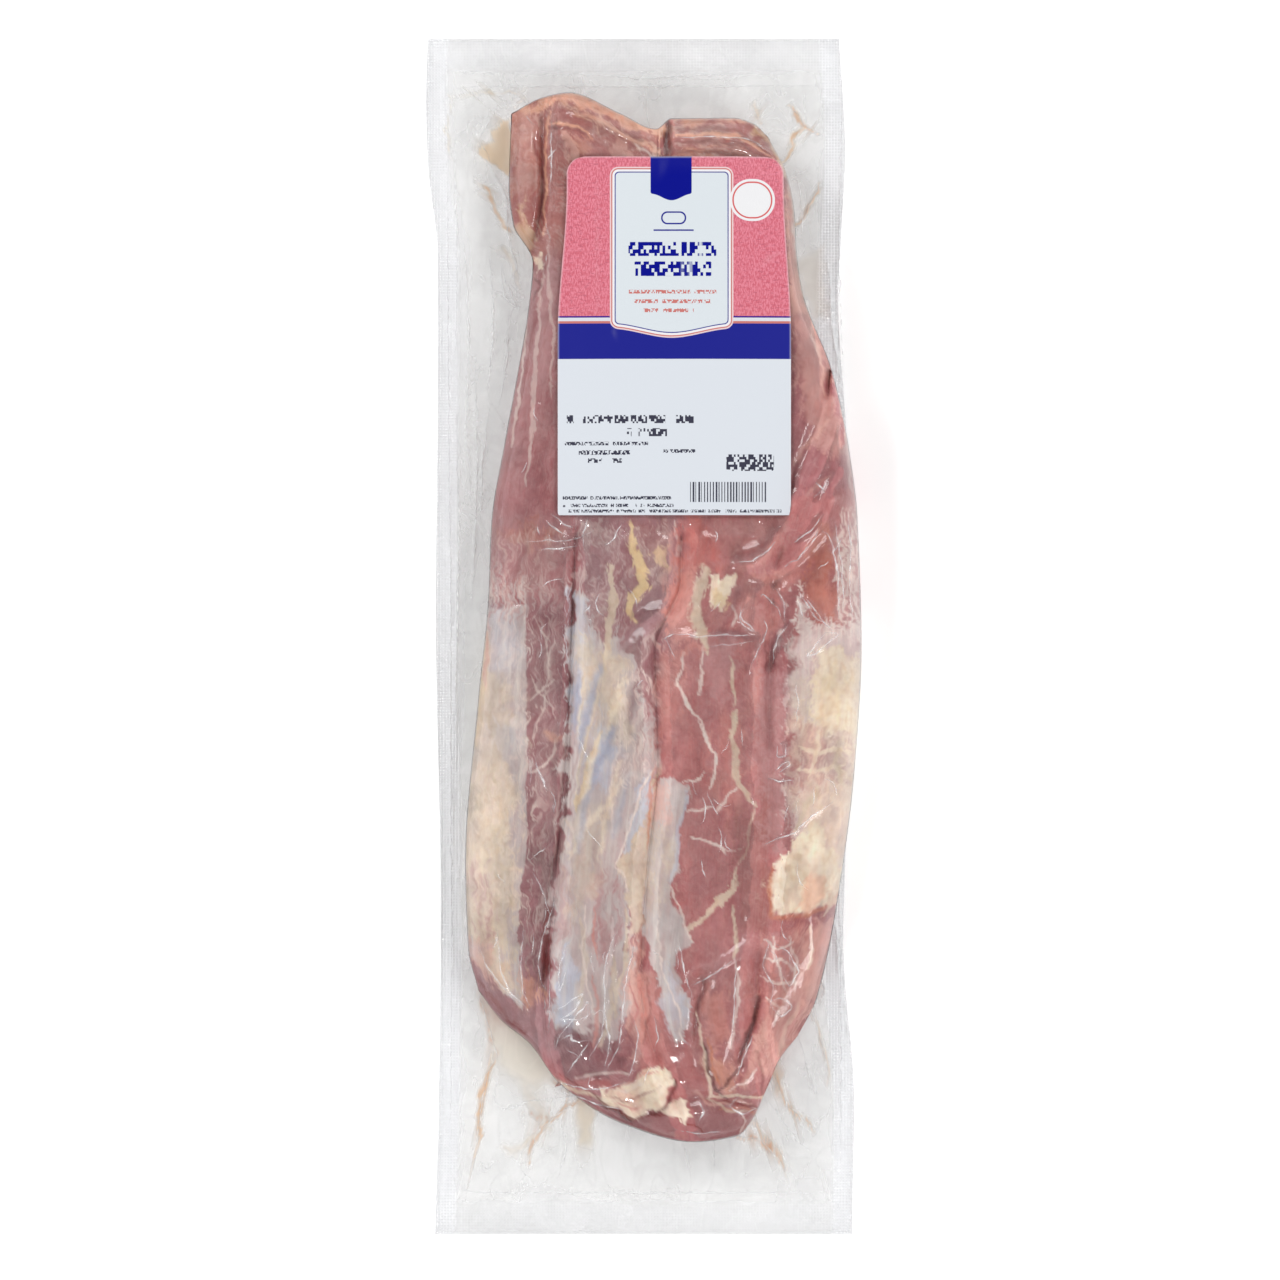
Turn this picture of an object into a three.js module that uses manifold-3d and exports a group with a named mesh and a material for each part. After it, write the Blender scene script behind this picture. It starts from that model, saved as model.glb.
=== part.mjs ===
import * as THREE from "three";
import Module from "manifold-3d";

// Three raw pork tenderloins in one flat sealed pack with a paper label, in millimetres.
// +Y runs along the meat towards its folded heads and +Z is up. The origin lies under the
// middle of the pack, and every plan position is measured from it.

// The sealed rim of film round the meat.
const packHalfLength = 240;
const packHalfWidth = 87.4;
const rimThickness = 0.9;
const rimHeightAtMeat = 5.2;
const rimHeightAtEdge = 2.9;
const rimWave = 1.1;
const rimCornerTrim = 1.8;
const rimLeastWidth = 3.5;

// The wall of the meat between the rim and its widest line, and the flat it rests on.
const wallTop = 13;
const wallMiddle = 8.5;
const footInset = 2.5;
const wallMiddleInset = 0.7;
const soleInsetAcross = 0.075;
const soleInsetAlong = 0.035;

// How the tenderloins are rounded and how far neighbours press into each other.
const lobePower = 2.3;
const lobeOverlap = 3;
const lobeBlend = 2.4;
const endRounding = 24;

// The paper label on the film, and how flat the meat lies under it.
const labelLeft = -34.2;
const labelRight = 58.8;
const labelTop = 191.4;
const labelBottom = 47.6;
const labelTopInset = 3.6;
const labelTopRadius = 7;
const labelBottomRadius = 2;
const labelGap = 0.35;
const labelThickness = 0.5;
const labelCrown = 38.5;
const labelFallAcross = 4.6;
const labelFallAlong = 2.4;
const labelBlend = 9;

// Cells of the meat's upper surface: across each of its four lobes, and along the whole.
const lobeCells = [9, 8, 8, 6];
const cellsAcross = lobeCells.reduce((sum, cells) => sum + cells, 0);
const cellsAlong = 68;
const edgeCrowding = 0.45;
const rimSteps = [0.3, 0.65, 1];

// Sides of the pack as [along Y, across X].
const rimLeftKnots = [
  [-240, -83.8],
  [-185, -82.2],
  [-105, -81.4],
  [6, -83.4],
  [118, -82.6],
  [152, -82.6],
  [190, -86.6],
  [215, -packHalfWidth],
  [240, -86.6],
];
const rimRightKnots = [
  [-240, 83.8],
  [-185, 84.6],
  [-125, 80.2],
  [-65, 82],
  [0, 83],
  [79, 81.6],
  [135, 78.2],
  [195, 81],
  [240, 78.6],
];

// Sides of the meat as [along Y, across X], and its two ends as [across X, along Y].
const meatLeftKnots = [
  [-142, -66],
  [-125, -70.2],
  [-90, -71.4],
  [-25, -66.2],
  [15, -62.2],
  [45, -61],
  [79, -55.4],
  [107, -50.2],
  [131, -46.2],
  [150, -44.4],
  [165, -52.2],
  [180, -54],
  [209.5, -53],
];
const meatRightKnots = [
  [-160, 61.8],
  [-145, 69.4],
  [-101, 78.6],
  [-49, 85],
  [-5, packHalfWidth],
  [47, 85.8],
  [79, 81.8],
  [107, 75.4],
  [138, 63.8],
  [154, 61.4],
  [170, 60.5],
  [185, 57.4],
  [200, 50],
];
const meatTopKnots = [
  [-53, 209.5],
  [-41, 215.8],
  [-30, 218],
  [-9, 209.4],
  [5, 203.4],
  [11, 207.6],
  [36, 207.8],
  [44, 205.5],
  [50, 200],
];
const meatBottomKnots = [
  [-66, -142],
  [-57.4, -153.4],
  [-45.4, -163.4],
  [-33.4, -179.4],
  [-7, -195.8],
  [20, -202.6],
  [37.4, -200.2],
  [44, -193],
  [53, -171.8],
  [61.8, -160],
];

// Lines where two tenderloins meet, as [along Y, across X].
const leftSeamKnots = [
  [-200, -20],
  [-172, -36],
  [-149, -39.4],
  [-105, -34.2],
  [-25, -28.6],
  [44, -26.2],
  [100, -16],
  [160, 4],
  [210, 6],
];
const rightSeamKnots = [
  [-200, 18],
  [-140, -1],
  [-101, 0.6],
  [-49, 5.8],
  [-5, 4.6],
  [22, 15.6],
  [44, 15.8],
  [120, 8],
  [210, 5],
];
const outerGrooveKnots = [
  [-200, 60],
  [-150, 44],
  [-97, 50],
  [15, 51],
  [60, 64],
  [90, 78],
  [130, 84],
];

// Under the label the seams can't be seen, so the grid's lines between lobes run on evenly there.
const leftGuideKnots = [...leftSeamKnots.slice(0, 6), [110, -21], [210, -18]];
const outerGuideKnots = [...outerGrooveKnots.slice(0, 4), [60, 47], [120, 37], [205, 29]];

// Crown heights of each lobe as [along Y, height].
const leftCrownKnots = [
  [-190, 21],
  [-150, 27],
  [-60, 30],
  [44, 31],
  [100, 34],
  [190, 34],
];
const middleCrownKnots = [
  [-200, 27],
  [-150, 33],
  [-90, 36],
  [-10, 35],
  [60, 36],
];
const rightCrownKnots = [
  [-200, 28],
  [-150, 34],
  [-60, 38],
  [44, 39.5],
  [120, 39],
  [200, 36],
];
const outerCrownKnots = [
  [-170, 25],
  [-110, 31],
  [-40, 34],
  [40, 35],
  [110, 30],
];

// Folds and furrows of the meat: a path in plan, its half width, and its height (down is negative).
const folds = [
  { path: [[-39.4, 211], [-39.6, 175], [-44, 150]], reach: 5, rise: -4.2 },
  { path: [[-27, 213], [-10, 201], [8, 191]], reach: 5, rise: 3.2 },
  { path: [[16, 196], [34, 196], [50, 188]], reach: 5, rise: 2.4 },
  { path: [[9, 206], [10, 190]], reach: 5, rise: -4 },
  { path: [[69, 128], [74, 108], [75, 96]], reach: 4.5, rise: -4 },
  { path: [[74, 86], [60, 70], [50, 44]], reach: 6, rise: -2.6 },
  { path: [[20, -138], [30, -134], [44, -126]], reach: 5, rise: -2.4 },
  { path: [[23, -136], [22, -155], [25, -172]], reach: 5, rise: -3 },
  { path: [[45, -131], [43, -155], [37, -171]], reach: 5, rise: -3.4 },
  { path: [[-18, -176], [4, -187], [22, -184], [44, -186]], reach: 5, rise: -3.6 },
  { path: [[-24, -25], [-22, 6], [-5, 40]], reach: 7, rise: 1.2 },
  { path: [[66, -94], [70, -130]], reach: 8, rise: 1.6 },
];

function clamp01(value) {
  return Math.min(1, Math.max(0, value));
}

function mix(from, to, share) {
  return from + (to - from) * share;
}

function smoothStep(value) {
  const share = clamp01(value);
  return share * share * (3 - 2 * share);
}

// A smooth curve through its knots that never swings past them, level beyond both ends.
function smoothCurve(knots) {
  const last = knots.length - 1;
  const slope = (i) => (knots[i + 1][1] - knots[i][1]) / (knots[i + 1][0] - knots[i][0]);
  const tangents = knots.map((knot, i) => {
    if (i === 0) return slope(0);
    if (i === last) return slope(last - 1);
    const before = slope(i - 1);
    const after = slope(i);
    return before * after <= 0 ? 0 : (2 * before * after) / (before + after);
  });
  return (position) => {
    if (position <= knots[0][0]) return knots[0][1];
    if (position >= knots[last][0]) return knots[last][1];
    const i = knots.findIndex((knot) => knot[0] > position) - 1;
    const span = knots[i + 1][0] - knots[i][0];
    const t = (position - knots[i][0]) / span;
    const t2 = t * t;
    const t3 = t2 * t;
    return (
      (2 * t3 - 3 * t2 + 1) * knots[i][1] +
      (t3 - 2 * t2 + t) * span * tangents[i] +
      (3 * t2 - 2 * t3) * knots[i + 1][1] +
      (t3 - t2) * span * tangents[i + 1]
    );
  };
}

const rimLeft = smoothCurve(rimLeftKnots);
const rimRight = smoothCurve(rimRightKnots);
const meatLeft = smoothCurve(meatLeftKnots);
const meatRight = smoothCurve(meatRightKnots);
const meatTop = smoothCurve(meatTopKnots);
const meatBottom = smoothCurve(meatBottomKnots);
const leftSeam = smoothCurve(leftSeamKnots);
const rightSeam = smoothCurve(rightSeamKnots);
const outerGroove = smoothCurve(outerGrooveKnots);
const guides = [smoothCurve(leftGuideKnots), rightSeam, smoothCurve(outerGuideKnots)];

const lobes = [
  {
    left: meatLeft,
    right: (y) => leftSeam(y) + lobeOverlap,
    crown: smoothCurve(leftCrownKnots),
    far: 240,
    near: -194,
  },
  {
    left: (y) => leftSeam(y) - lobeOverlap,
    right: (y) => rightSeam(y) + lobeOverlap,
    crown: smoothCurve(middleCrownKnots),
    far: 150,
    near: -214,
  },
  {
    left: (y) => rightSeam(y) - lobeOverlap,
    right: (y) => Math.min(outerGroove(y) + 1.5 * lobeOverlap, meatRight(y)),
    crown: smoothCurve(rightCrownKnots),
    far: 240,
    near: -220,
  },
  {
    left: (y) => outerGroove(y) - 2 * lobeOverlap,
    right: meatRight,
    crown: smoothCurve(outerCrownKnots),
    far: 124,
    near: -186,
  },
];

// The rounded end of a lobe: 0 at its tip, 1 from one rounding inside it.
function roundedEnd(inside, rounding) {
  const share = clamp01(inside / rounding);
  return Math.sqrt(share * (2 - share));
}

function lobeHeight(lobe, x, y) {
  const left = lobe.left(y);
  const right = lobe.right(y);
  const across = Math.abs((2 * (x - left)) / (right - left) - 1);
  if (across >= 1 || y >= lobe.far || y <= lobe.near) return wallTop;
  const round = Math.sqrt(1 - across ** lobePower);
  const ends = roundedEnd(lobe.far - y, endRounding) * roundedEnd(y - lobe.near, endRounding);
  return wallTop + (lobe.crown(y) - wallTop) * round * ends;
}

function blendedMax(a, b, blend) {
  const share = clamp01(0.5 + (0.5 * (a - b)) / blend);
  return mix(b, a, share) + blend * share * (1 - share);
}

function distanceToPath(path, x, y) {
  let nearest = Infinity;
  for (let i = 0; i + 1 < path.length; i++) {
    const [ax, ay] = path[i];
    const [bx, by] = path[i + 1];
    const share = clamp01(
      ((x - ax) * (bx - ax) + (y - ay) * (by - ay)) / ((bx - ax) ** 2 + (by - ay) ** 2),
    );
    nearest = Math.min(nearest, Math.hypot(x - mix(ax, bx, share), y - mix(ay, by, share)));
  }
  return nearest;
}

// The label's upper corners draw in a little, because the paper falls away with the meat there.
function labelInsetAt(y) {
  return labelTopInset * smoothStep((y - mix(labelBottom, labelTop, 0.5)) / 60);
}

// How far a plan point lies outside the label, and 0 inside it.
function outsideLabel(x, y) {
  const inset = labelInsetAt(y);
  const across = Math.max(labelLeft + inset - x, x - labelRight + 0.8 * inset, 0);
  const along = Math.max(labelBottom - y, y - labelTop, 0);
  return Math.hypot(across, along);
}

// The gentle dome that the paper keeps over the tenderloins.
function labelDome(x, y) {
  const across = (x - (labelLeft + labelRight) / 2) / ((labelRight - labelLeft) / 2);
  const along = (y - (labelTop + labelBottom) / 2) / ((labelTop - labelBottom) / 2);
  return labelCrown - labelFallAcross * across ** 2 - labelFallAlong * along ** 2;
}

// Height of the meat in its tight film at a plan point.
function meatHeight(x, y) {
  let height = wallTop;
  for (const lobe of lobes) height = blendedMax(height, lobeHeight(lobe, x, y), lobeBlend);
  for (const fold of folds) {
    const away = distanceToPath(fold.path, x, y) / fold.reach;
    height += fold.rise * Math.exp(-away * away * 2);
  }
  height = mix(labelDome(x, y), height, smoothStep(outsideLabel(x, y) / labelBlend));
  const ends = roundedEnd(meatTop(x) - y, endRounding) * roundedEnd(y - meatBottom(x), endRounding);
  const sides = roundedEnd(Math.min(x - meatLeft(y), meatRight(y) - x), footInset * 2);
  return wallTop + Math.max(0, height - wallTop) * ends * sides;
}

// A point of the meat's plan from its place across (0 left, 1 right) and along (0 top, 1 bottom).
function meatPlan(across, along) {
  const firstTop = meatTopKnots[0];
  const lastTop = meatTopKnots[meatTopKnots.length - 1];
  const firstBottom = meatBottomKnots[0];
  const lastBottom = meatBottomKnots[meatBottomKnots.length - 1];
  const topX = mix(firstTop[0], lastTop[0], across);
  const bottomX = mix(firstBottom[0], lastBottom[0], across);
  const leftY = mix(firstTop[1], firstBottom[1], along);
  const rightY = mix(lastTop[1], lastBottom[1], along);
  const corner = (a, b) => mix(a, b, across);
  return [
    mix(topX, bottomX, along) +
      mix(meatLeft(leftY), meatRight(rightY), across) -
      mix(corner(firstTop[0], lastTop[0]), corner(firstBottom[0], lastBottom[0]), along),
    mix(meatTop(topX), meatBottom(bottomX), along) +
      mix(leftY, rightY, across) -
      mix(corner(firstTop[1], lastTop[1]), corner(firstBottom[1], lastBottom[1]), along),
  ];
}

// A point on the pack's outer edge for the same place on the border.
function rimPlan(across, along) {
  const y = mix(packHalfLength, -packHalfLength, along);
  const x = mix(rimLeft(y), rimRight(y), across);
  const isCorner = (across === 0 || across === 1) && (along === 0 || along === 1);
  const trim = isCorner ? rimCornerTrim : 0;
  return [x - Math.sign(x) * trim, y - Math.sign(y) * trim];
}

// Slow waves of the film rim.
function rimHeight(x, y, share) {
  const wave = Math.sin(y / 17 + x / 60) * 0.6 + Math.sin(y / 31 - x / 23 + 1) * 0.4;
  return mix(rimHeightAtMeat, rimHeightAtEdge, share) + rimWave * wave * (0.35 + 0.65 * share);
}

// Cells crowd towards both sides of the meat, where it curves most.
function crowded(share) {
  return mix(share, (1 - Math.cos(Math.PI * share)) / 2, edgeCrowding);
}

// The place across at which a guide line crosses the row at the given place along.
function guidePlace(guide, along) {
  let low = 0;
  let high = 1;
  for (let halving = 0; halving < 24; halving++) {
    const middle = (low + high) / 2;
    const [x, y] = meatPlan(middle, along);
    if (x < guide(y)) low = middle;
    else high = middle;
  }
  return low;
}

// Places of the grid's columns across the row at the given place along.
function columnPlaces(along) {
  const stops = [0, ...guides.map((guide) => guidePlace(guide, along)), 1];
  const places = [0];
  lobeCells.forEach((cells, lobe) => {
    for (let i = 1; i <= cells; i++) {
      places.push(mix(stops[lobe], stops[lobe + 1], crowded(i / cells)));
    }
  });
  return places;
}

// Places on the border, anticlockwise seen from above, as grid steps [across, along].
function borderSteps() {
  const steps = [];
  for (let j = 0; j < cellsAlong; j++) steps.push([0, j]);
  for (let i = 0; i < cellsAcross; i++) steps.push([i, cellsAlong]);
  for (let j = cellsAlong; j > 0; j--) steps.push([cellsAcross, j]);
  for (let i = cellsAcross; i > 0; i--) steps.push([i, 0]);
  return steps;
}

// Vertices and faces of one closed solid under construction.
class Shell {
  constructor() {
    this.positions = [];
    this.faces = [];
  }

  vertex(x, y, z) {
    this.positions.push(x, y, z);
    return this.positions.length / 3 - 1;
  }

  quad(a, b, c, d) {
    this.faces.push(a, b, c, a, c, d);
  }

  // Faces between two rings of equal length, outer first, facing up or down.
  band(outer, inner, facingUp) {
    outer.forEach((vertex, k) => {
      const next = (k + 1) % outer.length;
      if (facingUp) this.quad(vertex, outer[next], inner[next], inner[k]);
      else this.quad(vertex, inner[k], inner[next], outer[next]);
    });
  }

  geometry() {
    const geometry = new THREE.BufferGeometry();
    geometry.setAttribute("position", new THREE.Float32BufferAttribute(this.positions, 3));
    geometry.setIndex(this.faces);
    geometry.computeVertexNormals();
    return geometry;
  }
}

// The grid of points on the meat's upper surface, rows from the heads to the tails.
function meatGrid() {
  const rows = [];
  for (let j = 0; j <= cellsAlong; j++) {
    const along = crowded(j / cellsAlong);
    rows.push(
      columnPlaces(along).map((across, i) => {
        const [x, y] = meatPlan(across, along);
        const onBorder = i === 0 || i === cellsAcross || j === 0 || j === cellsAlong;
        return [x, y, onBorder ? wallTop : meatHeight(x, y)];
      }),
    );
  }
  return rows;
}

// Faces of a sheet laid over the grid, facing up or down.
function addSheet(shell, indices, facingUp) {
  for (let j = 0; j < cellsAlong; j++) {
    for (let i = 0; i < cellsAcross; i++) {
      const first = indices[j][i];
      const below = indices[j + 1][i];
      const opposite = indices[j + 1][i + 1];
      const beside = indices[j][i + 1];
      if (facingUp) shell.quad(first, below, opposite, beside);
      else shell.quad(first, beside, opposite, below);
    }
  }
}

// Outward directions in plan along the meat's border.
function borderNormals(points) {
  return points.map((point, k) => {
    const before = points[(k + points.length - 1) % points.length];
    const after = points[(k + 1) % points.length];
    const tangent = new THREE.Vector2(after[0] - before[0], after[1] - before[1]).normalize();
    return [tangent.y, -tangent.x];
  });
}

// The sealed pack: meat lobes in tight film, the thin rim round them and the flat under them.
function packGeometry(grid) {
  const shell = new Shell();
  const indices = grid.map((row) => row.map((point) => shell.vertex(...point)));
  addSheet(shell, indices, true);

  const steps = borderSteps();
  const places = steps.map(([i, j]) => {
    const along = crowded(j / cellsAlong);
    return [columnPlaces(along)[i], along];
  });
  const border = steps.map(([i, j]) => grid[j][i]);
  const normals = borderNormals(border);
  const edge = places.map(([across, along]) => rimPlan(across, along));
  const foot = border.map(([x, y], k) => {
    const [nx, ny] = normals[k];
    const room = (edge[k][0] - x) * nx + (edge[k][1] - y) * ny;
    const inset = Math.max(footInset, rimLeastWidth - room);
    return { x: x - nx * inset, y: y - ny * inset, inset };
  });

  const widestRing = steps.map(([i, j]) => indices[j][i]);
  const middleRing = border.map(([x, y], k) => {
    const inset = (foot[k].inset * wallMiddleInset) / footInset;
    return shell.vertex(x - normals[k][0] * inset, y - normals[k][1] * inset, wallMiddle);
  });
  const rimRing = (share, drop) =>
    foot.map((point, k) => {
      const x = mix(point.x, edge[k][0], share);
      const y = mix(point.y, edge[k][1], share);
      return shell.vertex(x, y, rimHeight(x, y, share) - drop);
    });

  let inner = rimRing(0, 0);
  let innerUnder = rimRing(0, rimThickness);
  shell.band(middleRing, widestRing, true);
  shell.band(inner, middleRing, true);
  const sole = places.map(([across, along]) =>
    meatPlan(
      mix(soleInsetAcross, 1 - soleInsetAcross, across),
      mix(soleInsetAlong, 1 - soleInsetAlong, along),
    ),
  );
  const soleRing = sole.map(([x, y]) => shell.vertex(x, y, 0));
  shell.band(innerUnder, soleRing, false);
  for (const share of rimSteps) {
    const outer = rimRing(share, 0);
    const outerUnder = rimRing(share, rimThickness);
    shell.band(outer, inner, true);
    shell.band(outerUnder, innerUnder, false);
    inner = outer;
    innerUnder = outerUnder;
  }
  inner.forEach((vertex, k) => {
    const next = (k + 1) % inner.length;
    shell.quad(vertex, innerUnder[k], innerUnder[next], inner[next]);
  });

  const outline = sole.map(([x, y]) => new THREE.Vector2(x, y));
  for (const [a, b, c] of THREE.ShapeUtils.triangulateShape(outline, [])) {
    const turn = outline[b].clone().sub(outline[a]).cross(outline[c].clone().sub(outline[a]));
    const face = turn > 0 ? [a, c, b] : [a, b, c];
    shell.faces.push(...face.map((corner) => soleRing[corner]));
  }
  return shell.geometry();
}

// The label's outline in plan, with round corners.
function labelOutline() {
  const outline = new THREE.Shape();
  const topLeft = labelLeft + labelTopInset;
  const topRight = labelRight - 0.8 * labelTopInset;
  const kneeY = mix(labelBottom, labelTop, 0.55);
  outline.moveTo(labelLeft + labelBottomRadius, labelBottom);
  outline.lineTo(labelRight - labelBottomRadius, labelBottom);
  outline.quadraticCurveTo(labelRight, labelBottom, labelRight, labelBottom + labelBottomRadius);
  outline.lineTo(labelRight, kneeY);
  outline.lineTo(topRight, labelTop - labelTopRadius);
  outline.quadraticCurveTo(topRight, labelTop, topRight - labelTopRadius, labelTop);
  outline.lineTo(topLeft + labelTopRadius, labelTop);
  outline.quadraticCurveTo(topLeft, labelTop, topLeft, labelTop - labelTopRadius);
  outline.lineTo(labelLeft, kneeY);
  outline.lineTo(labelLeft, labelBottom + labelBottomRadius);
  outline.quadraticCurveTo(labelLeft, labelBottom, labelLeft + labelBottomRadius, labelBottom);
  return outline;
}

function solidOf(wasm, geometry) {
  const index = geometry.index ? geometry.index.array : geometry.attributes.position.array.keys();
  return new wasm.Manifold(
    new wasm.Mesh({
      numProp: 3,
      vertProperties: new Float32Array(geometry.attributes.position.array),
      triVerts: new Uint32Array(index),
    }),
  );
}

// The paper label: a thin sheet that follows the film, cut to the label's outline.
function labelGeometry(wasm, grid) {
  const sheet = new Shell();
  const layer = (lift) => grid.map((row) => row.map(([x, y, z]) => sheet.vertex(x, y, z + lift)));
  const upper = layer(labelGap + labelThickness);
  const lower = layer(labelGap);
  addSheet(sheet, upper, true);
  addSheet(sheet, lower, false);
  const steps = borderSteps();
  steps.forEach(([i, j], k) => {
    const [nextI, nextJ] = steps[(k + 1) % steps.length];
    sheet.quad(upper[j][i], lower[j][i], lower[nextJ][nextI], upper[nextJ][nextI]);
  });

  const cutter = new Shell();
  const outline = labelOutline().getPoints(4);
  if (outline[0].equals(outline[outline.length - 1])) outline.pop();
  const floor = outline.map((point) => cutter.vertex(point.x, point.y, 0));
  const roof = outline.map((point) => cutter.vertex(point.x, point.y, 2 * labelCrown));
  floor.forEach((vertex, k) => {
    const next = (k + 1) % floor.length;
    cutter.quad(vertex, floor[next], roof[next], roof[k]);
  });
  for (const [a, b, c] of THREE.ShapeUtils.triangulateShape(outline, [])) {
    cutter.faces.push(roof[a], roof[b], roof[c], floor[a], floor[c], floor[b]);
  }

  const label = solidOf(wasm, sheet.geometry()).intersect(solidOf(wasm, cutter.geometry()));
  const mesh = label.getMesh();
  const geometry = new THREE.BufferGeometry();
  geometry.setAttribute("position", new THREE.Float32BufferAttribute(mesh.vertProperties, 3));
  geometry.setIndex([...mesh.triVerts]);
  geometry.computeVertexNormals();
  return geometry;
}

const wasm = await Module();
wasm.setup();

const grid = meatGrid();
const filmOverMeat = new THREE.MeshStandardMaterial({
  color: 0xb98680,
  roughness: 0.28,
  metalness: 0,
});
const labelPaper = new THREE.MeshStandardMaterial({
  color: 0xe3dfe4,
  roughness: 0.55,
  metalness: 0,
});

const pack = new THREE.Mesh(packGeometry(grid), filmOverMeat);
pack.name = "vacuum_pack";
const label = new THREE.Mesh(labelGeometry(wasm, grid), labelPaper);
label.name = "label";

const group = new THREE.Group();
group.add(pack, label);

export default group;
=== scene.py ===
import logging
import math
from collections.abc import Callable
from dataclasses import dataclass
from enum import Enum

import bpy
import numpy as np
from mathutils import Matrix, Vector


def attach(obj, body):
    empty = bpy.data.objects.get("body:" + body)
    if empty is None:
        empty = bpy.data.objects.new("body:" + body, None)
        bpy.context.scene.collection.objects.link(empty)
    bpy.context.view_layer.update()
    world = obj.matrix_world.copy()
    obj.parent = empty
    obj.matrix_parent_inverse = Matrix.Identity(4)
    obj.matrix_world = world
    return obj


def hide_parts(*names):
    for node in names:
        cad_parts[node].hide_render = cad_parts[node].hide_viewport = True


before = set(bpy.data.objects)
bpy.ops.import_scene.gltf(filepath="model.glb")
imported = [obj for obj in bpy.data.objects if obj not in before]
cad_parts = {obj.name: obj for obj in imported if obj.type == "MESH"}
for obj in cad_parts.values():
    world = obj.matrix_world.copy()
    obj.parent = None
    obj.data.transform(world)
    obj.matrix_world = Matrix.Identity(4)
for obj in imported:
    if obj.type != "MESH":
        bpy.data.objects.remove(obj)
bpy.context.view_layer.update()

# Looks of three raw pork tenderloins sealed in one flat clear pack with a paper label.
# Sizes are in millimetres in the pack's own frame: +Y along the meat to its heads, +Z up.

MM = 0.001
Point = tuple[float, float]
Colour = tuple[int, int, int]
Line = Callable[[np.ndarray], np.ndarray]
Heights = Callable[[np.ndarray, np.ndarray], np.ndarray]
Source = bpy.types.NodeSocket | float | tuple
log = logging.getLogger("pack")


def linear(colour: Colour) -> tuple[float, float, float]:
    """Turns a colour of 0 to 255 a channel into the linear light that shaders use.

    Args:
        colour: Red, green and blue as a screen shows them.

    Returns:
        The three linear values.
    """
    shares = [channel / 255 for channel in colour]
    return tuple(s / 12.92 if s <= 0.04045 else ((s + 0.055) / 1.055) ** 2.4 for s in shares)


def mix(start: np.ndarray, end: np.ndarray, share: np.ndarray) -> np.ndarray:
    """Returns the value that lies the given share of the way from start to end."""
    return start + (end - start) * share


def smooth_step(value: np.ndarray) -> np.ndarray:
    """Returns a share that leaves 0 and reaches 1 without a kink."""
    share = np.clip(value, 0.0, 1.0)
    return share * share * (3.0 - 2.0 * share)


def blended_max(a: np.ndarray, b: np.ndarray, blend: float) -> np.ndarray:
    """Returns the larger of two heights with a round fillet where they cross."""
    share = np.clip(0.5 + 0.5 * (a - b) / blend, 0.0, 1.0)
    return mix(b, a, share) + blend * share * (1.0 - share)


def rounded_end(inside: np.ndarray, rounding: float) -> np.ndarray:
    """Returns 0 at a rounded tip and 1 from one rounding inside it."""
    share = np.clip(inside / rounding, 0.0, 1.0)
    return np.sqrt(share * (2.0 - share))


def hump(distance: np.ndarray, reach: float) -> np.ndarray:
    """Returns 1 at no distance, falling away as a bell does over the reach."""
    return np.exp(-2.0 * (distance / reach) ** 2)


class Curve:
    """A smooth curve through its knots that never swings past them, level beyond its ends."""

    def __init__(self, *knots: Point) -> None:
        """Works out the slope at each knot.

        Args:
            knots: Place and value of each knot, places rising.
        """
        self.places, self.values = np.array(knots, float).T
        slopes = np.diff(self.values) / np.diff(self.places)
        before, after = slopes[:-1], slopes[1:]
        turns = before * after <= 0.0
        total = np.where(turns, 1.0, before + after)
        inner = np.where(turns, 0.0, 2.0 * before * after / total)
        self.tangents = np.concatenate(([slopes[0]], inner, [slopes[-1]]))

    def __call__(self, place: np.ndarray) -> np.ndarray:
        """Evaluates the curve.

        Args:
            place: Places along the curve.

        Returns:
            The curve's value at each place.
        """
        held = np.clip(place, self.places[0], self.places[-1])
        i = np.clip(np.searchsorted(self.places, held, side="right") - 1, 0, len(self.places) - 2)
        span = self.places[i + 1] - self.places[i]
        t = (held - self.places[i]) / span
        t2, t3 = t * t, t * t * t
        ends = (2 * t3 - 3 * t2 + 1) * self.values[i] + (3 * t2 - 2 * t3) * self.values[i + 1]
        bends = (t3 - 2 * t2 + t) * self.tangents[i] + (t3 - t2) * self.tangents[i + 1]
        return ends + span * bends


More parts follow.
